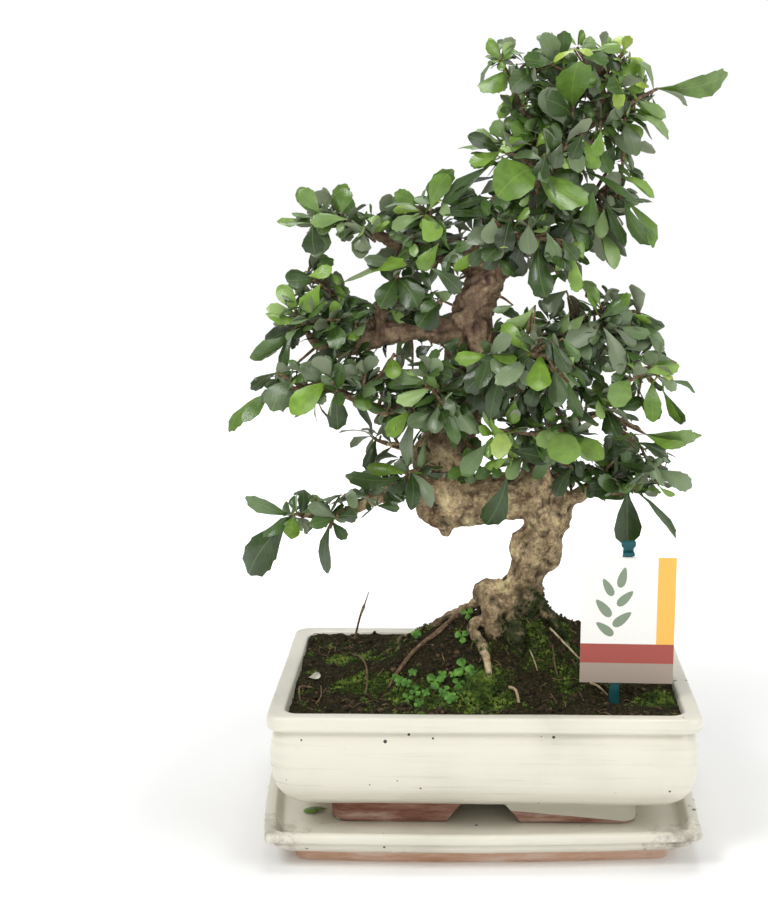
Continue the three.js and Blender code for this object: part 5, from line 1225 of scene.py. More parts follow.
def make_ground_cover(settings):
    """Crumbs of bark and peat, and moss shoots, strewn over the soil."""
    rand = random.Random(41)
    crumb = crumb_template()
    shoot = moss_template()
    peat = speckled_material("peat_and_bark_crumbs", [(0.3, "14100b"), (0.5, "30251a"), (0.62, "4f3e2b"),
                                                      (0.78, "8f7856")], 6)
    green = moss_material()
    bm = bmesh.new()
    for _ in range(settings.crumbs):
        x, y = inside_pot(rand.uniform(-0.985, 0.985), rand.uniform(-0.98, 0.98))
        if moss_at(x, y) > 0.55 and rand.random() < 0.8:
            continue
        size = 0.5 + 2.6 * rand.random() ** 4
        turn = Quaternion(Vector((rand.gauss(0, 1), rand.gauss(0, 1), rand.gauss(0, 1))).normalized(),
                          rand.uniform(0, 6))
        matrix = (Matrix.Translation((x, y, soil_top(x, y) + 0.2 * size)) @ turn.to_matrix().to_4x4()
                  @ Matrix.Diagonal((size, size * rand.uniform(0.4, 1), size * rand.uniform(0.3, 0.8), 1)))
        scatter(bm, crumb, matrix)
    finish_piece(bm, "compost_crumbs", [peat], crease=30)
    bm = bmesh.new()
    for _ in range(settings.moss_shoots * 3):
        x, y = inside_pot(rand.uniform(-0.98, 0.98), rand.uniform(-0.98, 0.98))
        thick = moss_at(x, y)
        if thick < 0.22 or rand.random() > thick * 1.4:
            continue
        size = 1.1 + 2.6 * rand.random() * thick
        scatter(bm, shoot, stand_up(rand, (x, y, soil_top(x, y) - 0.3), size, 0.4))
    # a clump of tall moss among the seedlings
    for _ in range(settings.moss_shoots // 5):
        place = ground(rand.gauss(-3, 6), rand.gauss(71, 6), rand.uniform(0, 5))
        scatter(bm, shoot, stand_up(rand, place, rand.uniform(2.0, 3.4), 0.5))
    finish_piece(bm, "moss_shoots", [green], crease=30)
    bpy.data.meshes.remove(crumb)
    bpy.data.meshes.remove(shoot)
    straw = speckled_material("dry_roots_and_straw", [(0.3, "3d2f22"), (0.5, "6b563c"), (0.7, "a48d68")], 9)
    bm = bmesh.new()
    for _ in range(settings.straws):
        x, y = inside_pot(rand.uniform(-0.96, 0.96), rand.uniform(-0.96, 0.96))
        turn = rand.uniform(0, TURN)
        stops = []
        for k in range(3):
            turn += rand.gauss(0, 0.35)
            stops.append([Vector((x, y, soil_top(x, y) + 0.3 + (0.9 if k == 1 else 0))), 0.32])
            reach = rand.uniform(2, 5)
            x, y = (max(-1, min(1, v / half)) for v, half in ((x + reach * math.cos(turn), SOIL_HALF_X - 3),
                                                            (y + reach * math.sin(turn), SOIL_HALF_Y - 3)))
            x *= SOIL_HALF_X - 3
            y *= SOIL_HALF_Y - 3
        tube(bm, stops, sides=4, steps=2, lumps=0.2)
    finish_piece(bm, "dry_straw", [straw], crease=60)


# Trunk, branches and roots.


def wood_tubes(bm):
    """The trunk, its lumps, the limbs and the surface roots as separate closed forms."""
    for row in TRUNK:
        tube(bm, stops_of(row["stops"]), sides=16, steps=3, lumps=row["lumps"] * 0.8)
    for x, z, y, radius, squash in LUMPS:
        bmesh.ops.create_icosphere(bm, subdivisions=3, radius=radius, matrix=(
            Matrix.Translation(at(x, z, y)) @ Matrix.Diagonal((*squash, 1))))
    for rows in LIMBS:
        tube(bm, stops_of(rows), sides=12 if rows[0][3] > 5 else 8, steps=3, lumps=0.06)
    for rows in BACK_ROOTS:
        tube(bm, stops_of(rows), sides=10, steps=3, lumps=0.06)
    for root in ROOTS:
        along = root["along"]
        stops = stops_of([root["start"]])
        for i, (x, z, radius) in enumerate(along):
            stops.append([ground(x, z, -7 if i == len(along) - 1 else radius * 0.8), radius])
        tube(bm, stops, sides=10, steps=3, lumps=0.08)


def girth_of(points):
    """The radius of the limb that each point lies on, by the nearest limb line."""
    starts = np.array([a for a, b, r in WOOD_LINES])
    ways = np.array([b - a for a, b, r in WOOD_LINES])
    radii = np.array([r for a, b, r in WOOD_LINES])
    square = (ways ** 2).sum(1)
    girth = np.empty(len(points))
    for first in range(0, len(points), 4000):
        block = points[first:first + 4000, None, :] - starts[None]
        t = np.clip((block * ways[None]).sum(2) / square[None], 0, 1)
        away = np.linalg.norm(block - t[..., None] * ways[None], axis=2) / radii[None]
        girth[first:first + 4000] = radii[away.argmin(1)]
    return girth


# Rough dark wood where limbs were cut away: [x, z, y, reach, strength].
SCARS = [[36, 249, -14, 10, 0.85], [34, 242, -12, 12, 0.8], [-20, 264, -16, 17, 0.7],
         [-30, 250, -14, 9, 0.55], [-8, 364, -16, 8, 0.5], [-4, 148, -8, 7, 0.7]]
# The knot of ringed bark on the upper trunk.
SWIRL_CENTRE = at(7, 380, -20)


def grow_bark_moss(points, normals, damp):
    """Moss shoots on the wet bark round the foot of the trunk."""
    rand = random.Random(77)
    shoot = moss_template()
    bm = bmesh.new()
    for i in rand.sample(range(len(points)), len(points) // 6):
        if damp[i] < 0.4 or points[i][2] < 92:
            continue
        size = rand.uniform(1.2, 2.8)
        turn = UP.rotation_difference(Vector(normals[i]))
        matrix = (Matrix.Translation(points[i]) @ turn.to_matrix().to_4x4()
                  @ Matrix.Rotation(rand.uniform(0, TURN), 4, "Z") @ Matrix.Diagonal((size, size, size, 1)))
        scatter(bm, shoot, matrix)
    bpy.data.meshes.remove(shoot)
    wet = speckled_material("dark_bark_moss", [(0.3, "151c0a"), (0.5, "2f3f16"), (0.7, "5f7630")], 7)
    finish_piece(bm, "moss_on_bark", [wet], crease=30)


def make_trunk(settings):
    """All the limbs as tubes, joined into one skin and roughened into bark."""
    bm = bmesh.new()
    wood_tubes(bm)
    raw = mesh_from(bm, "limb_tubes")
    carrier = add_object("limb_tubes", raw)
    skin = carrier.modifiers.new("skin", "REMESH")
    skin.mode = "VOXEL"
    skin.voxel_size = settings.bark_step / MM
    bpy.context.view_layer.update()
    graph = bpy.context.evaluated_depsgraph_get()
    mesh = bpy.data.meshes.new_from_object(carrier.evaluated_get(graph))
    bpy.data.objects.remove(carrier)
    bpy.data.meshes.remove(raw)
    bm = bmesh.new()
    bm.from_mesh(mesh)
    for _ in range(2):
        bmesh.ops.smooth_vert(bm, verts=bm.verts, factor=0.5, use_axis_x=True, use_axis_y=True,
                              use_axis_z=True)
    bm.to_mesh(mesh)
    bm.free()
    count = len(mesh.vertices)
    points = np.empty(count * 3)
    mesh.vertices.foreach_get("co", points)
    points = points.reshape(-1, 3)
    normals = np.array([v.vector[:] for v in mesh.vertex_normals])
    girth = girth_of(points)
    push = np.empty(count)
    crevices_and_hollow_shade = np.empty(count)
    damp = np.empty(count)
    for i in range(count):
        p = Vector(points[i])
        bend = noise.noise_vector(p / 11) * 3
        knobs = noise.noise((p + bend) / 17)
        fold = abs(noise.noise(Vector((p.x, p.y, p.z * 1.5)) / 24 + bend * 0.05))
        lumps = noise.noise((p + bend) / 7.5 + Vector((5, 1, 9)))
        split = abs(noise.noise(Vector((p.x / 7, p.y / 7, p.z / 15)) + bend * 0.06 + Vector((2, 7, 4))))
        grit = noise.fractal(p / 2.8, 0.8, 2.0, 3)
        strength = min(1.0, max(0.0, (girth[i] - 1.5) / 10)) * 0.9 + 0.1
        seam = 1 - min(1.0, split / 0.07)
        crease = (1 - min(1.0, fold / 0.12)) * smoothstep(280, 320, p.z)
        push[i] = strength * (2.6 * knobs + 1.9 * lumps - 1.1 * seam + 0.5 * grit - 2.4 * crease)
        # hollow darkens the dips between lumps and the folds of the upper trunk: painted shade.
        hollow = max(0.0, -lumps - 0.1) + 0.45 * crease
        around = p - SWIRL_CENTRE
        ripple = math.sin(around.length * 1.25 + 0.8 * math.atan2(around.z, around.x))
        rings = ripple * smoothstep(15, 7, around.length)
        push[i] += 1.3 * rings
        # The troughs between the knot's rings are darkened too: painted shade.
        hollow += 0.5 * max(0.0, -rings)
        crevices_and_hollow_shade[i] = min(1.0, max(0.0, 0.65 * seam * strength + 1.4 * hollow - 0.1 * grit))
        wet = smoothstep(30, 0, p.z - 102 - min(36, 1.2 * max(0.0, p.x - 4))) * (0.85 + noise.noise(p / 8))
        damp[i] = min(0.95, max(0.0, wet))
    points += normals * push[:, None]
    for x, z, y, reach, strength in SCARS:
        away = np.linalg.norm((points - np.array(at(x, z, y)[:])) * np.array([0.8, 0.7, 1.0]), axis=1)
        crevices_and_hollow_shade = np.maximum(crevices_and_hollow_shade, np.clip(1.25 - away / reach, 0, 1) * strength)
    grow_bark_moss(points, normals, damp)
    points = (points + np.array(PLANT[:])) * MM
    mesh.vertices.foreach_set("co", points.ravel())
    for name, values in (("crevices_and_hollow_shade", crevices_and_hollow_shade), ("damp", damp),
                         ("twig", np.clip((4.5 - girth) / 3.5, 0, 1) * 0.8)):
        mesh.attributes.new(name, "FLOAT", "POINT").data.foreach_set("value", values)
    mesh.update()
    mesh.name = "old_wood"
    add_piece(mesh, "old_wood", [bark_material()], ["trunk"], crease=180)


# Leaves.

# Each outline runs from foot to tip in rows of (edge place, width, place on the midrib).
OUTLINES = {
    "plain": [(0, 0.07, 0), (0.28, 0.55, 0.28), (0.6, 1, 0.58), (0.87, 0.74, 0.84), (1, 0.12, 1)],
    "entire": [(0, 0.06, 0), (0.16, 0.26, 0.16), (0.38, 0.68, 0.38), (0.62, 0.98, 0.6), (0.82, 0.86, 0.8),
               (0.95, 0.46, 0.93), (1, 0.1, 1)],
    "toothed": [(0, 0.06, 0), (0.24, 0.34, 0.22), (0.48, 0.76, 0.44), (0.7, 1, 0.62), (0.75, 0.9, 0.74),
                (0.9, 0.76, 0.87), (0.93, 0.46, 0.94), (1, 0.14, 1)],
    "scalloped": [(0, 0.06, 0), (0.18, 0.28, 0.16), (0.36, 0.62, 0.32), (0.55, 0.94, 0.46),
                  (0.59, 0.88, 0.55), (0.73, 1, 0.64), (0.77, 0.88, 0.74), (0.89, 0.78, 0.85),
                  (0.92, 0.48, 0.93), (1, 0.14, 1)],
}


BLADE_RISE = 0.22


def leaf_template(name):
    """A flat closed blade of unit length and width, with its UVs and which faces are its back."""
    outline = OUTLINES[name]
    bm = bmesh.new()
    mark = bm.loops.layers.float_color.new("blade")
    uv = bm.loops.layers.uv.new("UVMap")
    bmesh.ops.create_grid(bm, x_segments=4, y_segments=len(outline) - 1, size=1)
    rows = len(outline) - 1
    for vert in bm.verts:
        u = vert.co.x
        edge, width, rib = outline[round((vert.co.y + 1) / 2 * rows)]
        vert.co = Vector((u * width / 2, rib + (edge - rib) * u * u, 0))
    for face in bm.faces:
        for loop in face.loops:
            loop[uv].uv = (loop.vert.co.x + 0.5, loop.vert.co.y)
            loop[mark] = (0, 0, 0, 1)
    inner = [v for v in bm.verts if not v.is_boundary]
    made = bmesh.ops.duplicate(bm, geom=bm.verts[:] + bm.edges[:] + bm.faces[:])
    back = [item for item in made["geom"] if isinstance(item, bmesh.types.BMFace)]
    bmesh.ops.reverse_faces(bm, faces=back)
    for face in back:
        for loop in face.loops:
            loop[mark] = (0, 1, 0, 1)
            if not loop.vert.is_boundary:
                loop.vert.co.z = -BLADE_RISE
    for vert in inner:
        vert.co.z = BLADE_RISE * (0.35 if abs(vert.co.x) < 0.01 else 1.0)
    bmesh.ops.remove_doubles(bm, verts=bm.verts, dist=0.0001)
    return mesh_from(bm, "blade_" + name)


def add_blade(bm, templates, leaf, tone, rand):
    """Adds one leaf: a template blade bent along its length and across, set on its foot."""
    length = (leaf["tip"] - leaf["base"]).length
    axis = (leaf["tip"] - leaf["base"]).normalized()
    normal = square_to(leaf["normal"], axis)
    across = axis.cross(normal)
    verts = len(bm.verts)
    faces = len(bm.faces)
    bm.from_mesh(templates[leaf["form"]])
    bm.verts.ensure_lookup_table()
    bm.faces.ensure_lookup_table()
    width = leaf["width"]
    arch = leaf["arch"] + rand.uniform(-0.04, 0.06)
    cup = rand.uniform(-0.2, 0.32)
    swing = rand.uniform(-0.07, 0.07)
    twist = rand.uniform(-0.35, 0.35)
    ripple = rand.uniform(0, TURN)
    for vert in bm.verts[verts:]:
        x, s, z = vert.co
        bend = 4 * s * (1 - s)
        wide = x * width
        lift = z + arch * length * bend - cup * width * 4 * x * x * bend
        lift += twist * wide * s + 0.025 * length * math.sin(9 * s + ripple) * abs(2 * x)
        wide += swing * length * bend
        vert.co = leaf["base"] + axis * (s * length) + across * wide + normal * lift
    mark = bm.loops.layers.float_color["blade"]
    luck = rand.random()
    for face in bm.faces[faces:]:
        for loop in face.loops:
            loop[mark] = (tone, loop[mark][1], luck, 1)


def new_leafage():
    """A bmesh with the layers that the leaf material reads."""
    bm = bmesh.new()
    bm.loops.layers.float_color.new("blade")
    bm.loops.layers.uv.new("UVMap")
    return bm


def add_stalk(bm, root, base, sag=0.6):
    """A leaf's stalk: a fine green tube with a slight sag."""
    if (base - root).length < 1.2:
        return
    first = len(bm.faces)
    middle = root.lerp(base, 0.5) - UP * sag
    tube(bm, [[root, 0.75], [middle, 0.6], [base, 0.55]], sides=4, steps=2)
    mark = bm.loops.layers.float_color["blade"]
    bm.faces.ensure_lookup_table()
    for face in bm.faces[first:]:
        for loop in face.loops:
            loop[mark] = (0.62, 0, 0.5, 1)


def add_twig(bm, stops, sides=6):
    """A woody shoot; its faces take the second material."""
    first = len(bm.faces)
    tube(bm, stops, sides=sides, steps=3, lumps=0.12)
    bm.faces.ensure_lookup_table()
    for face in bm.faces[first:]:
        face.material_index = 1


# How light a leaf is: near black, dark, middle, green, bright and yellow-green.
TONES = {"k": 0.0, "d": 0.12, "m": 0.3, "g": 0.48, "b": 0.66, "y": 0.9}


def tone_of(leaf, rand):
    """How light and yellow a leaf is: dark inside and below, brighter up and out."""
    z = leaf["tip"].z
    out = abs(leaf["tip"].x) / 160
    base = 0.08 + 0.12 * smoothstep(200, 540, z) + 0.1 * out
    tone = base + 0.2 * rand.random() ** 2
    if rand.random() < 0.14:
        tone += 0.38
    return min(1.0, tone)


TRUNK_X = 10


def cluster(rand, foot, way, count, size, spread):
    """Leaves in a whorl round the end of a short shoot, their faces turned up and outward."""
    first = any_side(way)
    second = way.cross(first)
    outward = Vector((foot.x - TRUNK_X, foot.y - 2, 0)).normalized()
    leaves = []
    start = rand.uniform(0, TURN)
    for i in range(count):
        azimuth = start + SPIRAL * i + rand.uniform(-0.3, 0.3)
        angle = math.radians(rand.uniform(*spread) + 26 * (1 - i / count))
        radial = first * math.cos(azimuth) + second * math.sin(azimuth)
        axis = (way * math.cos(angle) + radial * math.sin(angle) - UP * 0.12).normalized()
        length = size * rand.uniform(0.7, 1.2) * (0.72 + 0.28 * (1 - i / count))
        base = foot + axis * 1.4
        normal = square_to(way * 0.5 + UP * 0.6 + outward * 0.7, axis)
        normal = Quaternion(axis, rand.uniform(-0.5, 0.5)) @ normal
        leaves.append({"base": base, "tip": base + axis * length,
                       "width": length * rand.uniform(0.42, 0.56), "normal": normal,
                       "arch": rand.uniform(0.03, 0.14),
                       "form": rand.choice(("plain", "entire", "entire", "toothed"))})
    return leaves


# The outline of all the leafage in the front view, from the crown's left, clockwise: [x, z].
LEAFAGE = [
    [-2, 546], [10, 553], [21, 549], [29, 538], [40, 552], [60, 556], [78, 553], [95, 550], [103, 541],
    [113, 531], [118, 513], [128, 500], [122, 490], [130, 476], [113, 462], [116, 450], [122, 437],
    [112, 430], [121, 403], [108, 391], [104, 398], [94, 386], [82, 398], [74, 370], [76, 382], [90, 374],
    [106, 371], [130, 348], [128, 330], [142, 318], [136, 306], [145, 275], [134, 276], [122, 276],
    [112, 288], [96, 287], [82, 297], [74, 292], [90, 287], [100, 282], [112, 282], [130, 275],
    [152, 270], [146, 260], [154, 244], [152, 228], [140, 228], [126, 220], [100, 221], [62, 222],
    [56, 236], [-36, 226], [-52, 211], [-70, 214], [-98, 200], [-118, 198], [-132, 190], [-150, 196],
    [-152, 222], [-130, 228], [-112, 221], [-86, 232], [-102, 238], [-84, 250], [-56, 250], [-48, 262],
    [-70, 265], [-78, 284], [-98, 288], [-104, 271], [-114, 276], [-142, 281], [-160, 286], [-170, 302],
    [-150, 322], [-118, 328], [-156, 334], [-158, 362], [-142, 379], [-144, 390], [-124, 399],
    [-104, 396], [-100, 378], [-84, 362], [-74, 364], [-70, 380], [-86, 396], [-64, 400], [-90, 396],
    [-100, 412], [-108, 397], [-126, 398], [-130, 414], [-140, 424], [-130, 449], [-92, 452], [-76, 430],
    [-66, 442], [-46, 442], [-32, 456], [-18, 462], [-16, 446], [2, 454], [-16, 466], [-12, 483],
    [8, 486], [10, 504], [-3, 508], [-3, 522], [4, 530]]

# Clear sky and bare wood between the leaf masses in the front view: [x, z, radius].
OPENINGS = [[42, 406, 5], [0, 392, 5], [28, 371, 6], [-12, 412, 3], [-30, 379, 4], [40, 186, 26],
            [30, 150, 30], [-6, 178, 30], [-50, 180, 26], [80, 185, 16], [4, 220, 15], [-22, 214, 14],
            [-62, 256, 9], [-24, 258, 12], [-84, 371, 6], [-84, 386, 4], [-50, 334, 6], [-30, 327, 5],
            [-8, 366, 13], [-4, 348, 11], [-30, 344, 7], [-52, 342, 6], [97, 384, 8], [78, 290, 5],
            [102, 264, 4], [70, 249, 4], [42, 216, 14], [116, 208, 10], [50, 236, 9], [-72, 401, 3]]


def in_leafage(x, z):
    """Whether a point of the front view lies inside the outline of the leafage."""
    inside = False
    for (x0, z0), (x1, z1) in zip(LEAFAGE, LEAFAGE[1:] + LEAFAGE[:1]):
        if (z0 > z) != (z1 > z) and x < x0 + (z - z0) / (z1 - z0) * (x1 - x0):
            inside = not inside
    return inside


def has_room(leaf):
    """Whether a leaf stays inside the leafage's outline, off its openings and out of the wood."""
    points = [leaf["tip"], leaf["base"].lerp(leaf["tip"], 0.6)]
    for point in points:
        x, z = seen(point)
        if not in_leafage(x, z):
            return False
        if any(math.hypot(x - ox, z - oz) < radius for ox, oz, radius in OPENINGS):
            return False
    return not in_wood(points)


def add_whorl(bm, templates, rand, foot, way, count, size, tone=None, spread=(30, 55)):
    """Adds the leaves of a whorl that have room, the long ones cut shorter; returns how many."""
    added = 0
    for leaf in cluster(rand, foot, way, count, size, spread):
        if not has_room(leaf):
            leaf["tip"] = leaf["base"].lerp(leaf["tip"], 0.72)
            leaf["width"] *= 0.8
            if not has_room(leaf):
                continue
        value = tone_of(leaf, rand)
        if tone is not None:
            value = min(1.0, max(0.0, 0.6 * TONES[tone] + 0.4 * value + rand.uniform(-0.08, 0.08)))
        add_blade(bm, templates, leaf, value, rand)
        added += 1
    return added


def make_sprigs(settings, templates, leafage_materials):
    """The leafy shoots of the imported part, each with its own leaves and a few small ones more."""
    rand = random.Random(7)
    for plan in lay_out_leaves():
        bm = new_leafage()
        for i, points in enumerate(plan["twigs"]):
            stops = [[point, 1.5 - 0.6 * k / len(points)] for k, point in enumerate(points)]
            if i == 0 and plan["end"] is not None:
                stops[0] = [plan["end"][0] - plan["end"][1] * 1.5, plan["end"][2]]
            add_twig(bm, stops)
        tones = plan["sprig"]["tones"]
        for order, leaf in enumerate(plan["leaves"]):
            tone = tone_of(leaf, rand)
            if order < len(tones):
                tone = TONES[tones[order]] + rand.uniform(-0.04, 0.04)
            add_stalk(bm, leaf["root"], leaf["base"])
            add_blade(bm, templates, leaf, max(0.0, tone), rand)
        front = bool(plan["sprig"]["leaves"])
        for points in plan["twigs"]:
            for k in range(1, len(points)):
                for _ in range(settings.extra_whorls if front else 2):
                    foot = points[k - 1].lerp(points[k], rand.uniform(0.3, 1.0))
                    way = Vector((rand.gauss(0, 0.7), rand.uniform(0.0, 1.0), rand.gauss(0.4, 0.6)))
                    way = (way + Vector(plan["sprig"]["out"]) * 0.4).normalized()
                    tip = foot + way * rand.uniform(2, 6)
                    if add_whorl(bm, templates, rand, tip, way, rand.randint(4, 6), rand.uniform(14, 22)):
                        add_twig(bm, [[foot, 1.0], [tip, 0.8]], sides=4)
        finish_piece(bm, plan["name"].replace("sprig", "shoot"), leafage_materials,
                     [plan["name"]], crease=60)


def make_branch_leaves(settings, templates, leafage_materials):
    """Short leafy spurs all along the branches, which fill the crown between its main shoots."""
    rand = random.Random(12)
    pieces = {}
    for rows in LIMBS + [TRUNK[2]["stops"][9:]]:
        stops = stops_of(rows)
        path = smooth_path(stops, 6)
        side = "left" if sum(r[0] for r in rows) / len(rows) < 0 else "right"
        height = "low" if rows[-1][1] < 330 else "high"
        name = f"spurs_{height}_{side}"
        if name not in pieces:
            pieces[name] = new_leafage()
        bm = pieces[name]
        travelled = 0.0
        for (a, radius), (b, _) in zip(path, path[1:]):
            travelled += (b - a).length
            if travelled < settings.spur_spacing / MM or radius > 9.5:
                continue
            travelled = 0.0
            along = (b - a).normalized()
            turn = rand.uniform(0, TURN)
            radial = Quaternion(along, turn) @ any_side(along, 0.95)
            way = (radial + along * 0.35 + UP * 0.5 + Vector((0, 0.35, 0))).normalized()
            foot = a + way * (radius * 0.6)
            tip = foot + way * (radius * 0.4 + rand.uniform(3, 14))
            if add_whorl(bm, templates, rand, tip, way, rand.randint(5, 8), rand.uniform(19, 29)):
                add_twig(bm, [[foot, 1.3], [foot.lerp(tip, 0.5), 1.1], [tip, 0.9]], sides=5)
    for name, bm in pieces.items():
        finish_piece(bm, name, leafage_materials, crease=60)


# Whorls that face the front: [x, z, y, leaves, leaf length, tone letter].
WHORLS = [
    [13, 533, -10, 6, 15, "b"], [30, 530, -8, 5, 16, "m"], [30, 510, -12, 6, 20, "m"],
    [48, 540, -4, 6, 17, "m"], [66, 541, -2, 7, 16, "b"], [84, 538, 0, 6, 15, "b"],
    [96, 532, 0, 5, 14, "b"], [100, 520, -4, 6, 16, "g"], [88, 518, -10, 5, 22, "b"],
    [50, 515, -12, 6, 22, "d"], [72, 503, -10, 5, 20, "d"], [40, 495, -14, 6, 20, "d"],
    [22, 495, -12, 5, 18, "g"], [55, 480, -16, 6, 20, "d"], [22, 480, -10, 6, 20, "d"],
    [84, 486, -8, 6, 20, "d"], [100, 490, -4, 5, 18, "g"], [70, 465, -14, 5, 20, "m"],
    [92, 462, -6, 5, 18, "m"], [50, 445, -20, 6, 24, "d"], [20, 448, -14, 6, 24, "d"],
    [-2, 440, -10, 5, 24, "k"], [0, 424, -10, 6, 22, "k"], [30, 425, -20, 6, 24, "k"],
    [60, 440, -14, 6, 22, "d"], [60, 420, -14, 6, 22, "d"], [82, 430, -6, 5, 20, "m"],
    [44, 392, -20, 6, 22, "k"], [62, 398, -10, 5, 20, "d"], [16, 404, -18, 5, 20, "k"],
    [30, 345, -16, 6, 22, "d"], [48, 350, -8, 5, 18, "d"], [60, 340, -8, 6, 22, "d"],
    [76, 345, -8, 6, 20, "d"], [92, 340, -4, 6, 20, "d"], [84, 325, -4, 6, 20, "d"],
    [100, 330, -2, 6, 20, "m"], [112, 340, 0, 5, 18, "m"], [70, 318, -8, 6, 20, "d"],
    [105, 315, -8, 6, 18, "m"], [20, 318, -36, 6, 24, "k"], [-4, 312, -26, 6, 24, "k"],
    [8, 300, -24, 6, 22, "k"], [28, 300, -26, 6, 22, "k"], [46, 300, -20, 6, 20, "d"],
    [88, 302, -8, 6, 18, "g"], [112, 295, -8, 5, 18, "g"], [20, 285, -20, 5, 20, "d"],
    [48, 275, -22, 5, 18, "b"], [30, 270, -20, 6, 20, "d"], [8, 268, -24, 5, 20, "y"],
    [30, 252, -22, 6, 20, "m"], [10, 246, -20, 5, 20, "g"], [-10, 246, -18, 5, 18, "g"],
    [52, 255, -18, 5, 20, "m"], [62, 240, 0, 6, 18, "d"], [80, 245, 4, 6, 18, "d"],
    [92, 255, 8, 6, 17, "m"], [108, 250, 12, 6, 18, "m"], [120, 240, 14, 6, 17, "g"],
    [96, 236, 8, 6, 18, "m"], [130, 255, 16, 5, 16, "m"], [86, 228, 4, 5, 18, "m"],
    [-30, 300, -30, 6, 22, "m"], [-14, 318, -20, 5, 20, "d"], [-36, 285, -22, 6, 20, "d"],
    [-54, 300, -20, 5, 18, "m"], [-70, 300, -24, 6, 18, "d"], [-86, 305, -28, 6, 18, "d"],
    [-100, 312, -28, 6, 20, "d"], [-118, 306, -32, 6, 20, "d"], [-140, 304, -36, 6, 20, "d"],
    [-90, 325, -14, 6, 18, "d"], [-108, 340, -12, 6, 20, "d"], [-95, 350, -8, 6, 18, "m"],
    [-120, 350, -10, 6, 20, "d"], [-130, 362, -8, 5, 20, "g"], [-110, 368, 4, 5, 20, "g"],
    [-125, 380, 8, 6, 18, "d"], [-108, 386, 8, 5, 16, "g"], [-55, 375, -12, 6, 20, "d"],
    [-36, 372, -12, 5, 18, "m"], [-30, 395, -10, 5, 20, "d"], [-50, 408, -4, 5, 18, "m"],
    [-58, 415, 0, 5, 18, "m"], [-40, 428, -6, 6, 20, "y"], [-28, 435, -6, 5, 22, "g"],
    [-100, 424, 16, 6, 18, "b"], [-118, 424, 18, 6, 18, "g"], [-78, 425, 12, 4, 14, "b"],
    [-22, 400, -12, 5, 20, "m"], [-50, 238, -16, 6, 20, "d"], [-68, 228, -14, 5, 16, "d"],
    [-84, 220, -14, 5, 14, "d"], [-100, 214, -18, 5, 14, "d"], [-112, 208, -20, 6, 14, "d"],
    [-136, 208, -22, 7, 18, "m"]]


def nearest_wood(point):
    """The nearest point on the middle lines of the trunk and limbs, and the wood's radius there."""
    best = None
    least = math.inf
    for a, b, radius in WOOD_LINES:
        line = b - a
        near = a + line * min(1.0, max(0.0, (point - a).dot(line) / line.dot(line)))
        away = (near - point).length - radius
        if away < least:
            least = away
            best = (near, radius)
    return best


def make_front_leaves(templates, leafage_materials):
    """The whorls that hang over the front of the trunk and limbs, each on a thin twig of its own."""
    rand = random.Random(33)
    bm = new_leafage()
    for x, z, y, count, size, tone in WHORLS:
        foot = at(x, z, y)
        near, radius = nearest_wood(foot)
        gap = foot - near
        if gap.length < radius + 3:
            foot = near + (gap + Vector((0, -4, 1))).normalized() * (radius + 3)
            gap = foot - near
        way = (gap.normalized() * 0.6 + Vector((0, -0.55, 0.3))).normalized()
        if add_whorl(bm, templates, rand, foot, way, count, size, tone, (42, 70)):
            root = near + gap.normalized() * radius * 0.6
            middle = root.lerp(foot, 0.5) + Vector((rand.gauss(0, 1), 0, rand.gauss(0, 1)))
            add_twig(bm, [[root, 1.5], [middle, 1.2], [foot, 0.9]], sides=5)
    finish_piece(bm, "front_whorls", leafage_materials, crease=60)


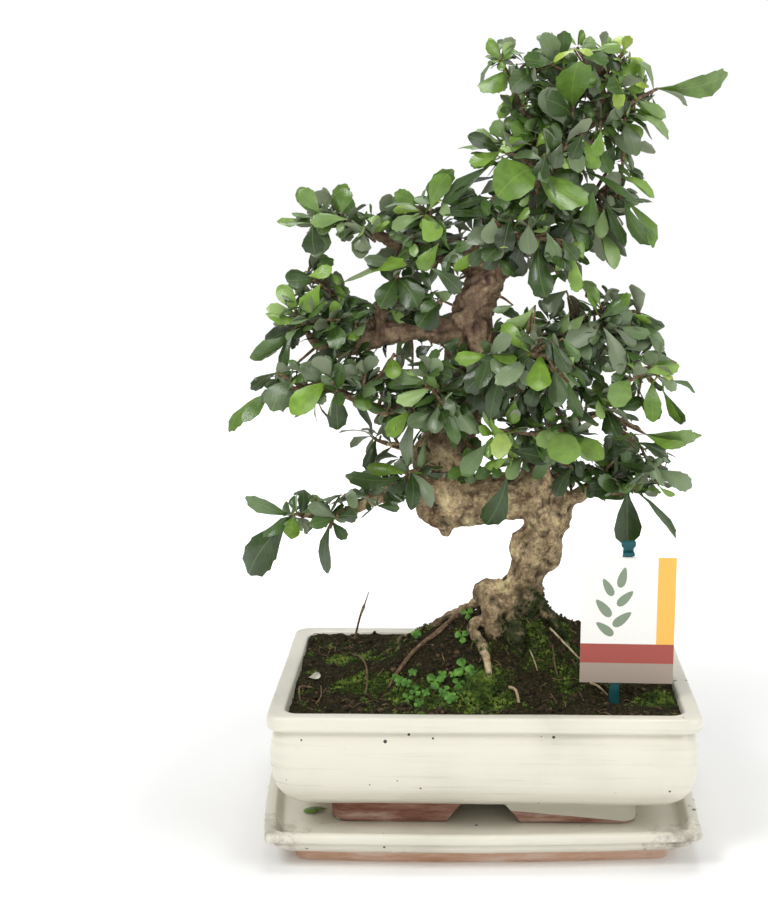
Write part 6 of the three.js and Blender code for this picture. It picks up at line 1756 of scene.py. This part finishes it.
# Single leaves that show most in the front view: [foot x, foot z, tip x, tip z, width, y, tone].
BLADES = [
    [16, 526, 12, 511, 9, -16, "g"], [19, 529, 44, 526, 4, -16, "b"], [38, 527, 24, 514, 19, -14, "k"],
    [23, 511, 12, 493, 9, -12, "b"], [23, 511, 22, 490, 6, -14, "k"], [33, 508, 26, 497, 7, -10, "b"],
    [50, 531, 29, 534, 12, -16, "m"], [64, 539, 50, 531, 5, -22, "y"], [66, 539, 77, 536, 5, -22, "y"],
    [70, 534, 88, 531, 11, -18, "m"], [78, 538, 96, 540, 8, -14, "g"], [88, 541, 94, 524, 10, -10, "d"],
    [98, 535, 88, 543, 8, -8, "b"], [98, 537, 102, 548, 8, -10, "y"], [101, 534, 112, 530, 4, -8, "y"],
    [97, 522, 116, 513, 7, -10, "y"], [97, 510, 113, 512, 7, -8, "g"], [92, 521, 95, 498, 9, -16, "y"],
    [78, 528, 78, 507, 9, -12, "d"], [40, 511, 36, 494, 9, -12, "m"], [47, 490, 27, 488, 7, -12, "k"],
    [59, 487, 42, 512, 22, -20, "d"], [98, 501, 129, 479, 10, -8, "g"], [93, 496, 119, 477, 9, -10, "m"],
    [107, 502, 126, 491, 5, -6, "b"], [12, 477, -6, 483, 11, -20, "g"], [17, 479, 8, 491, 13, -20, "g"],
    [36, 480, 20, 489, 13, -20, "g"], [38, 479, 13, 472, 12, -24, "b"], [20, 473, -17, 472, 5, -20, "g"],
    [38, 473, 52, 485, 13, -22, "b"], [42, 466, 61, 474, 10, -22, "d"], [38, 468, 18, 470, 9, -22, "d"],
    [14, 466, -8, 469, 7, -20, "b"], [14, 461, -8, 461, 9, -18, "g"], [64, 480, 66, 459, 13, -24, "k"],
    [71, 478, 80, 458, 10, -24, "b"], [93, 474, 85, 458, 12, -16, "d"], [86, 481, 110, 469, 12, -12, "d"],
    [97, 473, 101, 461, 6, -10, "g"], [72, 456, 110, 434, 13, -22, "m"], [98, 457, 114, 450, 5, -10, "d"],
    [99, 450, 120, 438, 7, -10, "b"], [84, 440, 101, 403, 9, -22, "d"], [100, 437, 119, 404, 9, -16, "m"],
    [78, 442, 75, 417, 14, -20, "m"], [86, 429, 84, 409, 10, -18, "b"], [84, 409, 95, 388, 8, -14, "m"],
    [64, 423, 52, 403, 16, -24, "d"], [62, 434, 56, 423, 12, -26, "k"], [46, 427, 38, 411, 16, -22, "d"],
    [30, 420, 20, 396, 20, -22, "k"], [72, 395, 65, 406, 13, -22, "b"], [66, 386, 67, 371, 10, -20, "b"],
    [10, 428, -20, 424, 13, -22, "d"], [6, 438, -18, 433, 11, -18, "d"], [12, 452, -20, 443, 9, -16, "k"],
    [40, 402, 41, 378, 14, -28, "k"], [55, 384, 37, 369, 15, -26, "d"], [1, 404, -20, 387, 7, -26, "b"],
    [11, 396, 23, 384, 10, -28, "m"], [8, 410, 1, 400, 10, -24, "d"], [22, 404, 18, 386, 15, -22, "k"],
    [-36, 389, -15, 371, 12, -26, "d"], [-30, 366, -43, 345, 16, -24, "d"], [38, 362, 13, 343, 9, -30, "b"],
    [36, 360, 33, 343, 9, -30, "b"], [43, 346, 56, 347, 6, -20, "d"], [30, 352, 22, 336, 12, -24, "k"],
    [60, 372, 44, 358, 14, -20, "k"], [82, 346, 62, 339, 14, -16, "k"], [22, 362, 8, 358, 6, -24, "m"],
    [-38, 304, -62, 308, 8, -26, "g"], [-32, 300, -2, 269, 15, -34, "m"],
    [-32, 305, -32, 319, 12, -28, "d"], [-16, 315, -45, 322, 8, -28, "b"],
    [-36, 333, -47, 325, 10, -22, "k"], [-16, 339, -26, 330, 10, -26, "d"], [8, 323, -8, 301, 16, -30, "k"],
    [30, 336, 2, 318, 15, -32, "k"], [37, 325, 10, 304, 14, -36, "d"], [42, 326, 59, 327, 7, -32, "y"],
    [56, 319, 64, 301, 10, -24, "g"], [9, 304, 4, 278, 16, -30, "k"], [19, 302, 13, 284, 8, -30, "d"],
    [24, 293, 23, 276, 11, -32, "b"], [46, 296, 50, 278, 9, -26, "g"], [30, 299, 43, 276, 10, -28, "k"],
    [52, 313, 56, 291, 14, -24, "k"], [6, 281, 20, 258, 8, -32, "b"], [-36, 293, -34, 270, 15, -32, "d"],
    [-30, 291, -19, 257, 7, -32, "m"], [-41, 276, -54, 241, 6, -26, "d"], [-42, 266, -45, 244, 5, -26, "m"],
    [20, 257, 51, 250, 13, -30, "d"], [1, 256, -15, 238, 13, -30, "g"], [19, 251, 2, 244, 8, -28, "b"],
    [64, 302, 71, 282, 7, -14, "d"], [86, 281, 66, 281, 3, -12, "k"], [88, 287, 95, 268, 15, -12, "d"],
    [108, 304, 90, 291, 16, -10, "b"], [124, 302, 123, 277, 13, -6, "g"], [130, 300, 142, 276, 6, -4, "b"],
    [120, 306, 130, 300, 3, -6, "k"], [130, 312, 108, 311, 8, -8, "d"], [139, 320, 114, 325, 12, -6, "m"],
    [112, 316, 139, 319, 7, -6, "g"], [123, 316, 137, 307, 5, -6, "y"], [82, 300, 88, 287, 4, -12, "b"],
    [101, 284, 113, 278, 5, -8, "k"], [118, 268, 154, 267, 9, -8, "g"], [118, 268, 147, 260, 7, -10, "b"],
    [118, 268, 90, 265, 5, -12, "g"], [112, 262, 133, 252, 9, -10, "d"], [110, 258, 90, 252, 9, -12, "k"],
    [95, 248, 125, 242, 7, -12, "d"], [66, 244, 54, 222, 12, -14, "d"], [68, 250, 72, 236, 7, -12, "d"],
    [66, 268, 84, 250, 14, -16, "g"], [100, 230, 76, 226, 12, -12, "d"], [112, 232, 100, 226, 8, -12, "g"],
    [128, 230, 140, 223, 4, -8, "b"], [84, 362, 76, 374, 9, -12, "g"], [82, 356, 75, 372, 5, -12, "b"],
    [84, 352, 105, 366, 11, -12, "m"], [86, 350, 100, 352, 9, -12, "d"], [108, 357, 130, 346, 4, -8, "d"],
    [106, 356, 121, 349, 3, -8, "b"], [97, 347, 120, 341, 7, -10, "m"], [94, 345, 110, 333, 8, -10, "k"],
    [119, 340, 130, 328, 6, -6, "m"], [87, 345, 100, 312, 14, -16, "d"], [103, 320, 115, 317, 7, -12, "b"],
    [62, 356, 56, 342, 9, -16, "g"], [74, 355, 62, 342, 9, -16, "g"], [66, 366, 82, 358, 4, -14, "d"],
    [14, 402, 2, 388, 12, -30, "k"], [5, 404, -8, 390, 9, -30, "d"], [24, 418, 12, 402, 15, -30, "k"],
    [34, 419, 30, 400, 15, -28, "d"], [44, 414, 52, 396, 14, -26, "k"], [58, 408, 66, 392, 12, -22, "d"],
    [10, 420, 0, 409, 12, -28, "d"], [60, 330, 52, 310, 14, -24, "k"], [46, 334, 50, 318, 12, -26, "d"],
    [40, 308, 34, 288, 12, -26, "d"], [66, 318, 78, 304, 12, -20, "k"], [-115, 428, -129, 445, 14, -6, "g"],
    [-100, 428, -96, 446, 13, -6, "g"], [-96, 424, -122, 422, 11, -10, "g"],
    [-122, 421, -144, 422, 4, -4, "m"], [-120, 421, -119, 399, 17, -8, "d"],
    [-82, 424, -72, 421, 8, -6, "b"], [-84, 413, -86, 401, 13, -8, "d"], [-45, 433, -69, 432, 6, -10, "m"],
    [-44, 434, -62, 442, 12, -8, "g"], [-36, 431, -24, 455, 15, -14, "g"],
    [-42, 426, -64, 417, 10, -12, "g"], [-42, 424, -30, 410, 16, -16, "b"],
    [-31, 406, -45, 388, 13, -16, "b"], [-62, 391, -82, 392, 7, -8, "k"],
    [-118, 383, -140, 381, 13, -8, "d"], [-124, 384, -107, 389, 11, -12, "b"],
    [-116, 378, -128, 358, 15, -14, "b"], [-103, 350, -106, 366, 9, -14, "b"],
    [-92, 354, -101, 340, 12, -16, "d"], [-104, 348, -92, 333, 14, -16, "d"],
    [-92, 331, -130, 312, 15, -16, "k"], [-84, 330, -86, 306, 18, -14, "k"],
    [-97, 320, -92, 300, 17, -14, "k"], [-86, 320, -90, 309, 9, -18, "b"],
    [-88, 304, -80, 293, 10, -16, "b"], [-136, 319, -150, 309, 10, -10, "d"],
    [-121, 322, -134, 318, 3, -8, "b"], [-142, 340, -168, 325, 5, -6, "m"],
    [-133, 345, -137, 331, 6, -8, "k"], [-50, 316, -76, 308, 8, -10, "m"],
    [-50, 308, -60, 292, 12, -14, "b"], [-57, 297, -72, 289, 6, -10, "d"], [8, 424, 4, 406, 13, -42, "d"],
    [20, 423, 15, 400, 15, -43, "k"], [33, 419, 34, 398, 14, -44, "d"], [46, 413, 52, 392, 13, -42, "m"],
    [57, 408, 68, 394, 11, -38, "d"], [44, 468, 39, 450, 13, -44, "d"], [56, 475, 51, 458, 12, -44, "k"],
    [70, 481, 63, 464, 12, -40, "d"], [83, 483, 79, 466, 10, -36, "g"], [-70, 288, -73, 276, 5, -8, "m"],
    [-60, 352, -45, 350, 8, -16, "k"], [-66, 360, -56, 350, 7, -14, "b"], [50, 336, 63, 313, 11, -54, "d"],
    [44, 338, 53, 322, 10, -54, "k"], [58, 338, 69, 321, 10, -50, "m"], [30, 326, 40, 312, 9, -52, "d"]]


def make_front_blades(templates, leafage_materials):
    """The single leaves of the front view, each turned to show its width, on a stalk or a thin twig."""
    rand = random.Random(58)
    bm = new_leafage()
    for foot_x, foot_z, tip_x, tip_z, wide, y, tone in BLADES:
        base = at(foot_x, foot_z, y)
        tip = at(tip_x, tip_z, y + rand.uniform(-4, 2))
        length = (tip - base).length
        axis = (tip - base).normalized()
        width = max(wide, 0.4 * length)
        turn = math.acos(min(1.0, wide / width)) * rand.choice((-1, 1))
        normal = Quaternion(axis, turn) @ square_to(Vector((0, -1, 0.45)), axis)
        leaf = {"base": base, "tip": tip, "width": width, "normal": normal, "arch": 0.08,
                "form": rand.choice(("toothed", "scalloped", "entire", "toothed"))}
        add_blade(bm, templates, leaf, min(1.0, max(0.0, TONES[tone] + rand.uniform(-0.06, 0.06))), rand)
        near, radius = nearest_wood(base)
        gap = base - near
        root = near + gap.normalized() * radius * 0.7
        if (base - root).length < 9:
            add_stalk(bm, root, base)
        else:
            middle = root.lerp(base, 0.5) + Vector((rand.gauss(0, 1), 0, rand.gauss(0, 1)))
            add_twig(bm, [[root, 1.2], [middle, 1.0], [base, 0.7]], sides=5)
    finish_piece(bm, "front_blades", leafage_materials, crease=60)


# Label, dead twig and fallen leaf.

CARD_CENTRE = Vector((101, -64, 147.5))
CARD_WIDTH = 65
CARD_HEIGHT = 91
BAND_TOP = -17
BAND_FOOT = -31
OCHRE_EDGE = 20
# The printed sprig's leaves: (x, z, turn, length), from the middle of the card.
PRINTED_LEAVES = ((-16, -6, -0.9, 15), (-4, 1, 0.9, 16), (-17, 9, -0.7, 16), (-2, 16, 0.8, 15),
                  (-14, 24, -0.5, 14), (-4, 31, 0.25, 15))
# The stake from its foot to its head: (x, z, half width).
STAKE_ROWS = ((92, 60, 1.2), (92.1, 72, 3.3), (92.3, 96, 3.5), (96, 143, 3.5), (100, 189, 3.5),
              (101, 199, 3.6), (101, 200.4, 5.0), (101, 203.4, 5.0), (101, 204, 4.6))


def make_label():
    """A plain plant tag: coloured bands and a leaf sprig of its own, on a plastic stake."""
    paper = card_material("white_coated_card", "f3f1ec")
    band = card_material("red_brown_printed_card", "a44a3f")
    ochre = card_material("ochre_printed_card", "f2bb55")
    green = card_material("grey_green_printed_card", "7f8f78")
    bm = bmesh.new()
    bmesh.ops.create_cube(bm, size=1, matrix=Matrix.Diagonal((CARD_WIDTH, 1, CARD_HEIGHT, 1)))
    for place, way in (((0, 0, BAND_TOP), UP), ((0, 0, BAND_FOOT), UP), ((OCHRE_EDGE, 0, 0), SIDEWAYS)):
        bmesh.ops.bisect_plane(bm, geom=bm.verts[:] + bm.edges[:] + bm.faces[:], plane_co=place,
                               plane_no=way)
    for face in bm.faces:
        middle = face.calc_center_median()
        if face.normal.y > -0.5:
            continue
        if middle.z < BAND_FOOT:
            face.material_index = 3
        elif middle.z < BAND_TOP:
            face.material_index = 1
        elif middle.x > OCHRE_EDGE:
            face.material_index = 2
    bmesh.ops.rotate(bm, cent=(0, 0, 0), matrix=Matrix.Rotation(math.radians(0.8), 3, "Y"), verts=bm.verts)
    for vert in bm.verts:
        vert.co += CARD_CENTRE
    warm = card_material("warm_grey_printed_card", "a39486")
    finish_piece(bm, "tag_card", [paper, band, ochre, warm], ["label_card"], crease=30)
    bm = bmesh.new()
    for x, z, angle, length in PRINTED_LEAVES:
        blade = bmesh.ops.create_circle(bm, segments=16, radius=1, cap_ends=True)["verts"]
        bmesh.ops.rotate(bm, cent=(0, 0, 0), matrix=Matrix.Rotation(math.pi / 2, 3, "X"), verts=blade)
        for vert in blade:
            s = vert.co.z
            vert.co = Vector((vert.co.x * length * 0.2 * (1 - 0.35 * s), 0, s * length / 2))
        bmesh.ops.rotate(bm, cent=(0, 0, 0), matrix=Matrix.Rotation(angle, 3, "Y"), verts=blade)
        bmesh.ops.translate(bm, vec=(x, 0, z), verts=blade)
    bmesh.ops.solidify(bm, geom=bm.faces[:], thickness=0.06)
    bmesh.ops.recalc_face_normals(bm, faces=bm.faces)
    for vert in bm.verts:
        vert.co += CARD_CENTRE + Vector((0, -0.53, 0))
    finish_piece(bm, "tag_leaf_print", [green], crease=30)
    plastic = speckled_material("teal_polystyrene_stake", [(0.3, "0f4348"), (0.7, "1d5d60")], 8, 0.35)
    bm = bmesh.new()
    front = CARD_CENTRE.y + 0.5 + GAP
    rings = []
    for x, z, half in STAKE_ROWS:
        rings.append([Vector((x + half, front, z)), Vector((x + half, front + 2.4, z)),
                      Vector((x + half * 0.35, front + 3.0, z)), Vector((x - half * 0.35, front + 3.0, z)),
                      Vector((x - half, front + 2.4, z)), Vector((x - half, front, z))])
    stack(bm, rings)
    hook = bmesh.ops.create_cube(bm, size=1)["verts"]
    bmesh.ops.scale(bm, vec=(8, 5.6, 2.6), verts=hook)
    bmesh.ops.translate(bm, vec=(101, front - 0.4, 195.2), verts=hook)
    bmesh.ops.bevel(bm, geom=[e for e in bm.edges if e.calc_face_angle(0) > 0.7], offset=0.4, segments=2,
                    profile=0.5, affect="EDGES", material=-1)
    finish_piece(bm, "tag_stake", [plastic], ["label_stake"], crease=35)


def make_litter(settings, templates, leafage_materials):
    """The dead twig that stands in the soil, the fallen leaf, fine roots, seedlings and a bleached leaf."""
    twig = leafage_materials[1]
    bm = bmesh.new()
    tube(bm, [[at(-99, 70, 80), 1.2], [at(-99, 92, 80), 1.1], [at(-98, 106, 80), 0.9],
              [at(-95, 114, 80.5), 1.4], [at(-94, 118, 81), 0.9], [at(-91, 130, 82), 0.75],
              [at(-88, 138, 82.5), 1.1], [at(-87, 141, 82.5), 0.5], [at(-84, 150, 83), 0.3]],
         sides=8, lumps=0.14)
    finish_piece(bm, "dead_shoot", [twig], ["dead_twig"], crease=60)
    rand = random.Random(3)
    bm = new_leafage()
    add_blade(bm, templates, {"base": Vector((-113, -52, 0.8)), "tip": Vector((-130, -57, 0.8)),
                              "width": 11, "normal": UP, "arch": 0.1, "form": "entire"}, 0.62, rand)
    finish_piece(bm, "shed_leaf", leafage_materials, ["fallen_leaf"], crease=60)
    pale = speckled_material("pale_fresh_root", [(0.3, "8e7a5c"), (0.5, "b7a381"), (0.7, "d8c9a8")], 5)
    for name, rows, skin in (("fine_roots", FINE_ROOTS, twig), ("pale_roots", PALE_ROOTS, pale)):
        bm = bmesh.new()
        for row in rows:
            stops = [[ground(x, z, lift), radius] for x, z, lift, radius in row]
            tube(bm, stops, sides=7, steps=5, lumps=0.15)
        finish_piece(bm, name, [skin], crease=60)
    bm = new_leafage()
    facing = Vector((0, -0.75, 0.66))
    small = [[rand.uniform(-66, -4), rand.uniform(61, 86), 3, rand.uniform(2.2, 4.2)]
             for _ in range(settings.seedlings)]
    for x, z, height, size in SEEDLINGS + small:
        stem = ground(x, z, -1)
        head = stem + Vector((0, -1, height))
        add_stalk(bm, stem, head, sag=0)
        turn = rand.uniform(0, TURN)
        first = square_to(UP, facing)
        for i in range(3 if size > 4 else 4):
            azimuth = turn + (2.09 if size > 4 else 1.57) * i
            axis = Quaternion(facing, azimuth) @ first
            add_blade(bm, templates, {"base": head, "tip": head + axis * size,
                                      "width": size * 0.95, "normal": square_to(facing, axis),
                                      "arch": 0.05, "form": "plain"}, rand.uniform(0.3, 0.72), rand)
    fresh = speckled_material("clover_leaf", [(0.3, "33591c"), (0.5, "4f7f2a"), (0.7, "77a843")], 6, 0.5)
    finish_piece(bm, "seedlings", [fresh, leafage_materials[1]], crease=60)
    bm = new_leafage()
    bleached = ground(-130, 81, 2)
    add_blade(bm, templates, {"base": bleached, "tip": bleached + Vector((9, -2, 2)), "width": 6,
                              "normal": -facing, "arch": 0.05, "form": "entire"}, 0.5, rand)
    dry = speckled_material("bleached_dead_leaf", [(0.3, "9c9a84"), (0.5, "bdbba8"), (0.7, "d8d6c8")], 5)
    finish_piece(bm, "bleached_leaf", [dry], crease=60)


# Fine roots over the soil in the front view: rows of [x, z, lift, radius]. The first are brown.
FINE_ROOTS = [
    [[-97, 101, 0.5, 0.7], [-91, 97, 2, 0.7], [-87, 89, 4, 0.7], [-86, 78, 3, 0.7], [-88, 68, 0.3, 0.5]],
    [[-12, 136, 0.6, 2.2], [-22, 127, 1.4, 2.1], [-33, 117, 1.8, 2.0], [-43, 109, 1.8, 1.8],
     [-52, 101, 1.6, 1.7], [-60, 91, 1.4, 1.5], [-67, 80, 0.6, 1.2], [-71, 75, -2, 0.8]],
    [[-44, 128, 1.8, 1.5], [-56, 120, 1.6, 1.4], [-62, 112, 1.4, 1.2], [-65, 102, -2, 0.8]],
    [[52, 108, 0.5, 0.6], [54, 92, 2, 0.6], [56, 84, 0.2, 0.5]],
    [[-128, 75, 0.4, 0.8], [-137, 73, 2, 0.8], [-137, 64, 0.2, 0.7]],
    [[-121, 76, 0.4, 0.6], [-121, 66, 2, 0.6], [-125, 62, 0.2, 0.5]],
]
PALE_ROOTS = [
    [[-2, 108, 2.4, 3.2], [2, 99, 2.4, 3.1], [4, 91, 2.2, 2.8], [6, 82, -3, 1.8]],
    [[50, 121, 1.0, 0.9], [60, 110, 1.5, 0.8], [72, 98, 0.2, 0.6]],
    [[22, 122, 1.0, 0.5], [24, 112, 1.4, 0.5], [24, 103, 0.2, 0.4]],
    [[35, 105, 0.5, 0.5], [38, 97, 1.4, 0.5], [41, 89, 0.2, 0.4]],
    [[80, 79, 0.6, 0.9], [86, 75, 2, 0.9], [93, 70, 0.2, 0.7]],
    [[20, 75, 0.4, 1.1], [25, 71, 2.4, 1.1], [27, 64, 0.2, 0.9]],
]

# Seedlings in the front view: [x, z, height, leaflet length].
SEEDLINGS = [[-11, 128, 7, 5], [-15, 110, 7, 5.5], [-49, 114, 5, 4], [-14, 86, 6, 8], [-18, 75, 5, 5],
             [-35, 77, 5, 7], [-62, 77, 4, 4], [-50, 70, 4, 4.5], [-28, 70, 4, 4.5], [-56, 64, 4, 4.5]]


# Stage.


CAMERA_PLACE = (-0.00384, -1.18035, 0.49760)
CAMERA_YAW = -0.0536746506
CAMERA_PITCH = 0.185773304
CAMERA_ROLL = -0.0119880529
CAMERA_LENS = 66.13
LIGHT_TARGET = Vector((0, 0, 0.28))
# The studio lights: (name, place in metres, size, share of the key light's power).
LIGHTS = (("key", (-0.9, -1.0, 1.5), 0.7, 1.0), ("fill", (1.1, -0.8, 0.9), 0.9, 0.45),
          ("top", (0.1, 0.2, 1.7), 0.9, 0.7))


def make_stage(settings):
    """A pale floor and backdrop, the floor glowing with painted light further from the plant, soft studio
    lights, and the camera at the photograph's angle.
    """
    bm = bmesh.new()
    bmesh.ops.create_grid(bm, x_segments=1, y_segments=1, size=3.0)
    mesh = mesh_from(bm, "studio_floor")
    floor = add_object("studio_floor", mesh)
    material, tree, place = new_material("pale_studio_floor")
    cloud = node(tree, "TexNoise", {"Vector": place, "Scale": 2.0, "Detail": 2.0})
    tint = node(tree, "ValToRGB", {"Fac": cloud.outputs["Fac"]}, stops=[(0.3, "f6f6f5"), (0.7, "fbfbfb")])
    # The floor emits light that grows from a quarter metre out to 0.9 m: painted light that whitens the far
    # floor.
    away = node(tree, "VectorMath", {0: place}, operation="LENGTH")
    glow = node(tree, "MapRange", {"Value": away.outputs["Value"], "From Min": 0.25, "From Max": 0.9,
                                   "To Max": 0.55})
    surface(tree, {"Base Color": tint.outputs["Color"], "Roughness": 0.9,
                   "Emission Color": (1, 1, 1, 1), "Emission Strength": glow.outputs["Result"]})
    mesh.materials.append(material)
    world = bpy.data.worlds.new("studio_white")
    world.use_nodes = True
    tree = world.node_tree
    tree.nodes.clear()
    eye = node(tree, "LightPath")
    strength = node(tree, "MapRange", {"Value": eye.outputs["Is Camera Ray"],
                                       "To Min": settings.sky_strength, "To Max": 1.0})
    sky = node(tree, "Background", {"Color": (1, 1, 1, 1), "Strength": strength.outputs["Result"]})
    node(tree, "OutputWorld", {"Surface": sky.outputs["Background"]})
    bpy.context.scene.world = world
    for name, place, size, share in LIGHTS:
        light = bpy.data.lights.new(name, "AREA")
        light.shape = "DISK"
        light.size = size
        light.energy = settings.key_power * share
        lamp = add_object(name, light)
        lamp.location = place
        lamp.rotation_euler = (LIGHT_TARGET - Vector(place)).to_track_quat("-Z", "Y").to_euler()
    data = bpy.data.cameras.new("photo_camera")
    data.lens = CAMERA_LENS
    data.sensor_width = 36
    data.clip_end = 20
    camera = add_object("photo_camera", data)
    level_part = math.cos(CAMERA_PITCH)
    ahead = Vector((math.sin(CAMERA_YAW) * level_part, math.cos(CAMERA_YAW) * level_part,
                    -math.sin(CAMERA_PITCH)))
    level = Vector((math.cos(CAMERA_YAW), -math.sin(CAMERA_YAW), 0))
    above = level.cross(ahead)
    right = level * math.cos(CAMERA_ROLL) + above * math.sin(CAMERA_ROLL)
    top = above * math.cos(CAMERA_ROLL) - level * math.sin(CAMERA_ROLL)
    turn = Matrix((right, top, -ahead)).transposed()
    camera.matrix_world = Matrix.Translation(CAMERA_PLACE) @ turn.to_4x4()
    bpy.context.scene.camera = camera
    bpy.context.scene.view_settings.view_transform = "Standard"


# The add-on: its settings, operators and panel.


class BonsaiPotSettings(bpy.types.PropertyGroup):
    """Sizes and colours of the pot and its saucer."""

    pot_width: bpy.props.FloatProperty(
        name="Pot width", description="Width of the pot over its lip", default=0.300, unit="LENGTH")
    pot_depth: bpy.props.FloatProperty(
        name="Pot depth", description="Depth of the pot over its lip", default=0.215, unit="LENGTH")
    saucer_width: bpy.props.FloatProperty(
        name="Saucer width", description="Width of the saucer at its corners", default=0.303, unit="LENGTH")
    saucer_depth: bpy.props.FloatProperty(
        name="Saucer depth", description="Depth of the saucer at its corners", default=0.222, unit="LENGTH")
    foot_half_width: bpy.props.FloatProperty(
        name="Foot half width", description="From the pot's middle to the side of a foot",
        default=0.109, unit="LENGTH")
    foot_half_depth: bpy.props.FloatProperty(
        name="Foot half depth", description="From the pot's middle to the front of a foot",
        default=0.073, unit="LENGTH")
    glaze_colour: bpy.props.FloatVectorProperty(
        name="Glaze", description="Colour of the glaze", subtype="COLOR", size=3, min=0, max=1,
        default=hex_colour("e6e2d1"))


class BonsaiPlantSettings(bpy.types.PropertyGroup):
    """How finely the bark, leaves and soil are made, and how densely they grow."""

    bark_step: bpy.props.FloatProperty(
        name="Bark step", description="Mesh size of the bark", default=0.00126, unit="LENGTH")
    spur_spacing: bpy.props.FloatProperty(
        name="Spur spacing", description="Distance along a branch between its leafy spurs",
        default=0.007, unit="LENGTH")
    extra_whorls: bpy.props.IntProperty(
        name="Extra whorls", description="Small whorls of leaves on each part of a shoot", default=1, min=0)
    crumbs: bpy.props.IntProperty(
        name="Crumbs", description="Crumbs of bark and peat on the soil", default=2600, min=0)
    moss_shoots: bpy.props.IntProperty(
        name="Moss shoots", description="Moss shoots on the soil", default=2400, min=0)
    seedlings: bpy.props.IntProperty(
        name="Small seedlings", description="Round-leaved seedlings among the moss", default=20, min=0)
    straws: bpy.props.IntProperty(
        name="Straws", description="Dry root ends and straws on the soil", default=240, min=0)


class BonsaiStageSettings(bpy.types.PropertyGroup):
    """The light round the plant."""

    sky_strength: bpy.props.FloatProperty(
        name="Surround", description="Strength of the light from the white surround",
        default=0.5, min=0)
    key_power: bpy.props.FloatProperty(
        name="Key light", description="Power of the key light", default=14.0, min=0, unit="POWER")


def leafage_kit():
    """The blade templates and materials that every leafy piece shares."""
    templates = {name: leaf_template(name) for name in OUTLINES}
    leaf = leaf_material("waxy_leaf", "253519", "49672d", "799d37", "8a9478")
    return templates, [leaf, twig_material()]


class BONSAI_OT_pot(bpy.types.Operator):
    """Makes the saucer, the pot on its feet and the grids over its drain holes"""

    bl_idname = "bonsai.make_pot"
    bl_label = "Pot and saucer"

    def execute(self, context):
        settings = context.scene.bonsai_pot
        glaze = glaze_material(settings.glaze_colour)
        slab = terracotta_material("bare_orange_stoneware", [(0.36, "cb9c7e"), (0.5, "dcb69e"),
                                                            (0.64, "ead2c2")])
        foot = terracotta_material("bare_dark_red_stoneware", [(0.36, "8a5a4b"), (0.5, "b08474"),
                                                              (0.66, "d8bfb0")])
        make_saucer(settings, glaze, slab)
        make_pot(settings, glaze, foot)
        make_drain_meshes()
        return {"FINISHED"}


class BONSAI_OT_soil(bpy.types.Operator):
    """Makes the soil with its crumbs and moss"""

    bl_idname = "bonsai.make_soil"
    bl_label = "Soil and moss"

    def execute(self, context):
        make_soil()
        make_ground_cover(context.scene.bonsai_plant)
        return {"FINISHED"}


class BONSAI_OT_trunk(bpy.types.Operator):
    """Makes the trunk with its branches and surface roots"""

    bl_idname = "bonsai.make_trunk"
    bl_label = "Trunk"

    def execute(self, context):
        make_trunk(context.scene.bonsai_plant)
        return {"FINISHED"}


class BONSAI_OT_leaves(bpy.types.Operator):
    """Makes the leafy shoots and the spurs between them"""

    bl_idname = "bonsai.make_leaves"
    bl_label = "Leaves"

    def execute(self, context):
        templates, materials = leafage_kit()
        make_sprigs(context.scene.bonsai_plant, templates, materials)
        make_branch_leaves(context.scene.bonsai_plant, templates, materials)
        make_front_leaves(templates, materials)
        make_front_blades(templates, materials)
        make_litter(context.scene.bonsai_plant, templates, materials)
        for mesh in templates.values():
            bpy.data.meshes.remove(mesh)
        return {"FINISHED"}


class BONSAI_OT_label(bpy.types.Operator):
    """Makes the plant tag on its stake"""

    bl_idname = "bonsai.make_label"
    bl_label = "Plant tag"

    def execute(self, context):
        make_label()
        return {"FINISHED"}


class BONSAI_OT_stage(bpy.types.Operator):
    """Makes the floor, the lights and the camera"""

    bl_idname = "bonsai.make_stage"
    bl_label = "Stage"

    def execute(self, context):
        make_stage(context.scene.bonsai_stage)
        return {"FINISHED"}


OPERATORS = [BONSAI_OT_stage, BONSAI_OT_pot, BONSAI_OT_soil, BONSAI_OT_trunk, BONSAI_OT_leaves,
             BONSAI_OT_label]


class BONSAI_PT_panel(bpy.types.Panel):
    """Lists the pieces in the 3D view's sidebar"""

    bl_idname = "BONSAI_PT_panel"
    bl_label = "Bonsai"
    bl_space_type = "VIEW_3D"
    bl_region_type = "UI"
    bl_category = "Bonsai"

    def draw(self, context):
        for settings in (context.scene.bonsai_pot, context.scene.bonsai_plant, context.scene.bonsai_stage):
            box = self.layout.box()
            for name in settings.__annotations__:
                box.prop(settings, name)
        for operator in OPERATORS:
            self.layout.operator(operator.bl_idname)


SETTINGS = {"bonsai_pot": BonsaiPotSettings, "bonsai_plant": BonsaiPlantSettings,
            "bonsai_stage": BonsaiStageSettings}


def register():
    """Adds the settings, operators and panel to Blender."""
    for name, group in SETTINGS.items():
        bpy.utils.register_class(group)
        setattr(bpy.types.Scene, name, bpy.props.PointerProperty(type=group))
    for operator in OPERATORS:
        bpy.utils.register_class(operator)
    bpy.utils.register_class(BONSAI_PT_panel)


def unregister():
    """Takes them out again."""
    bpy.utils.unregister_class(BONSAI_PT_panel)
    for operator in reversed(OPERATORS):
        bpy.utils.unregister_class(operator)
    for name, group in SETTINGS.items():
        delattr(bpy.types.Scene, name)
        bpy.utils.unregister_class(group)


def main():
    """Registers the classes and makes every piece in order."""
    register()
    for operator in OPERATORS:
        group, name = operator.bl_idname.split(".")
        getattr(getattr(bpy.ops, group), name)()


if __name__ == "__main__":
    main()
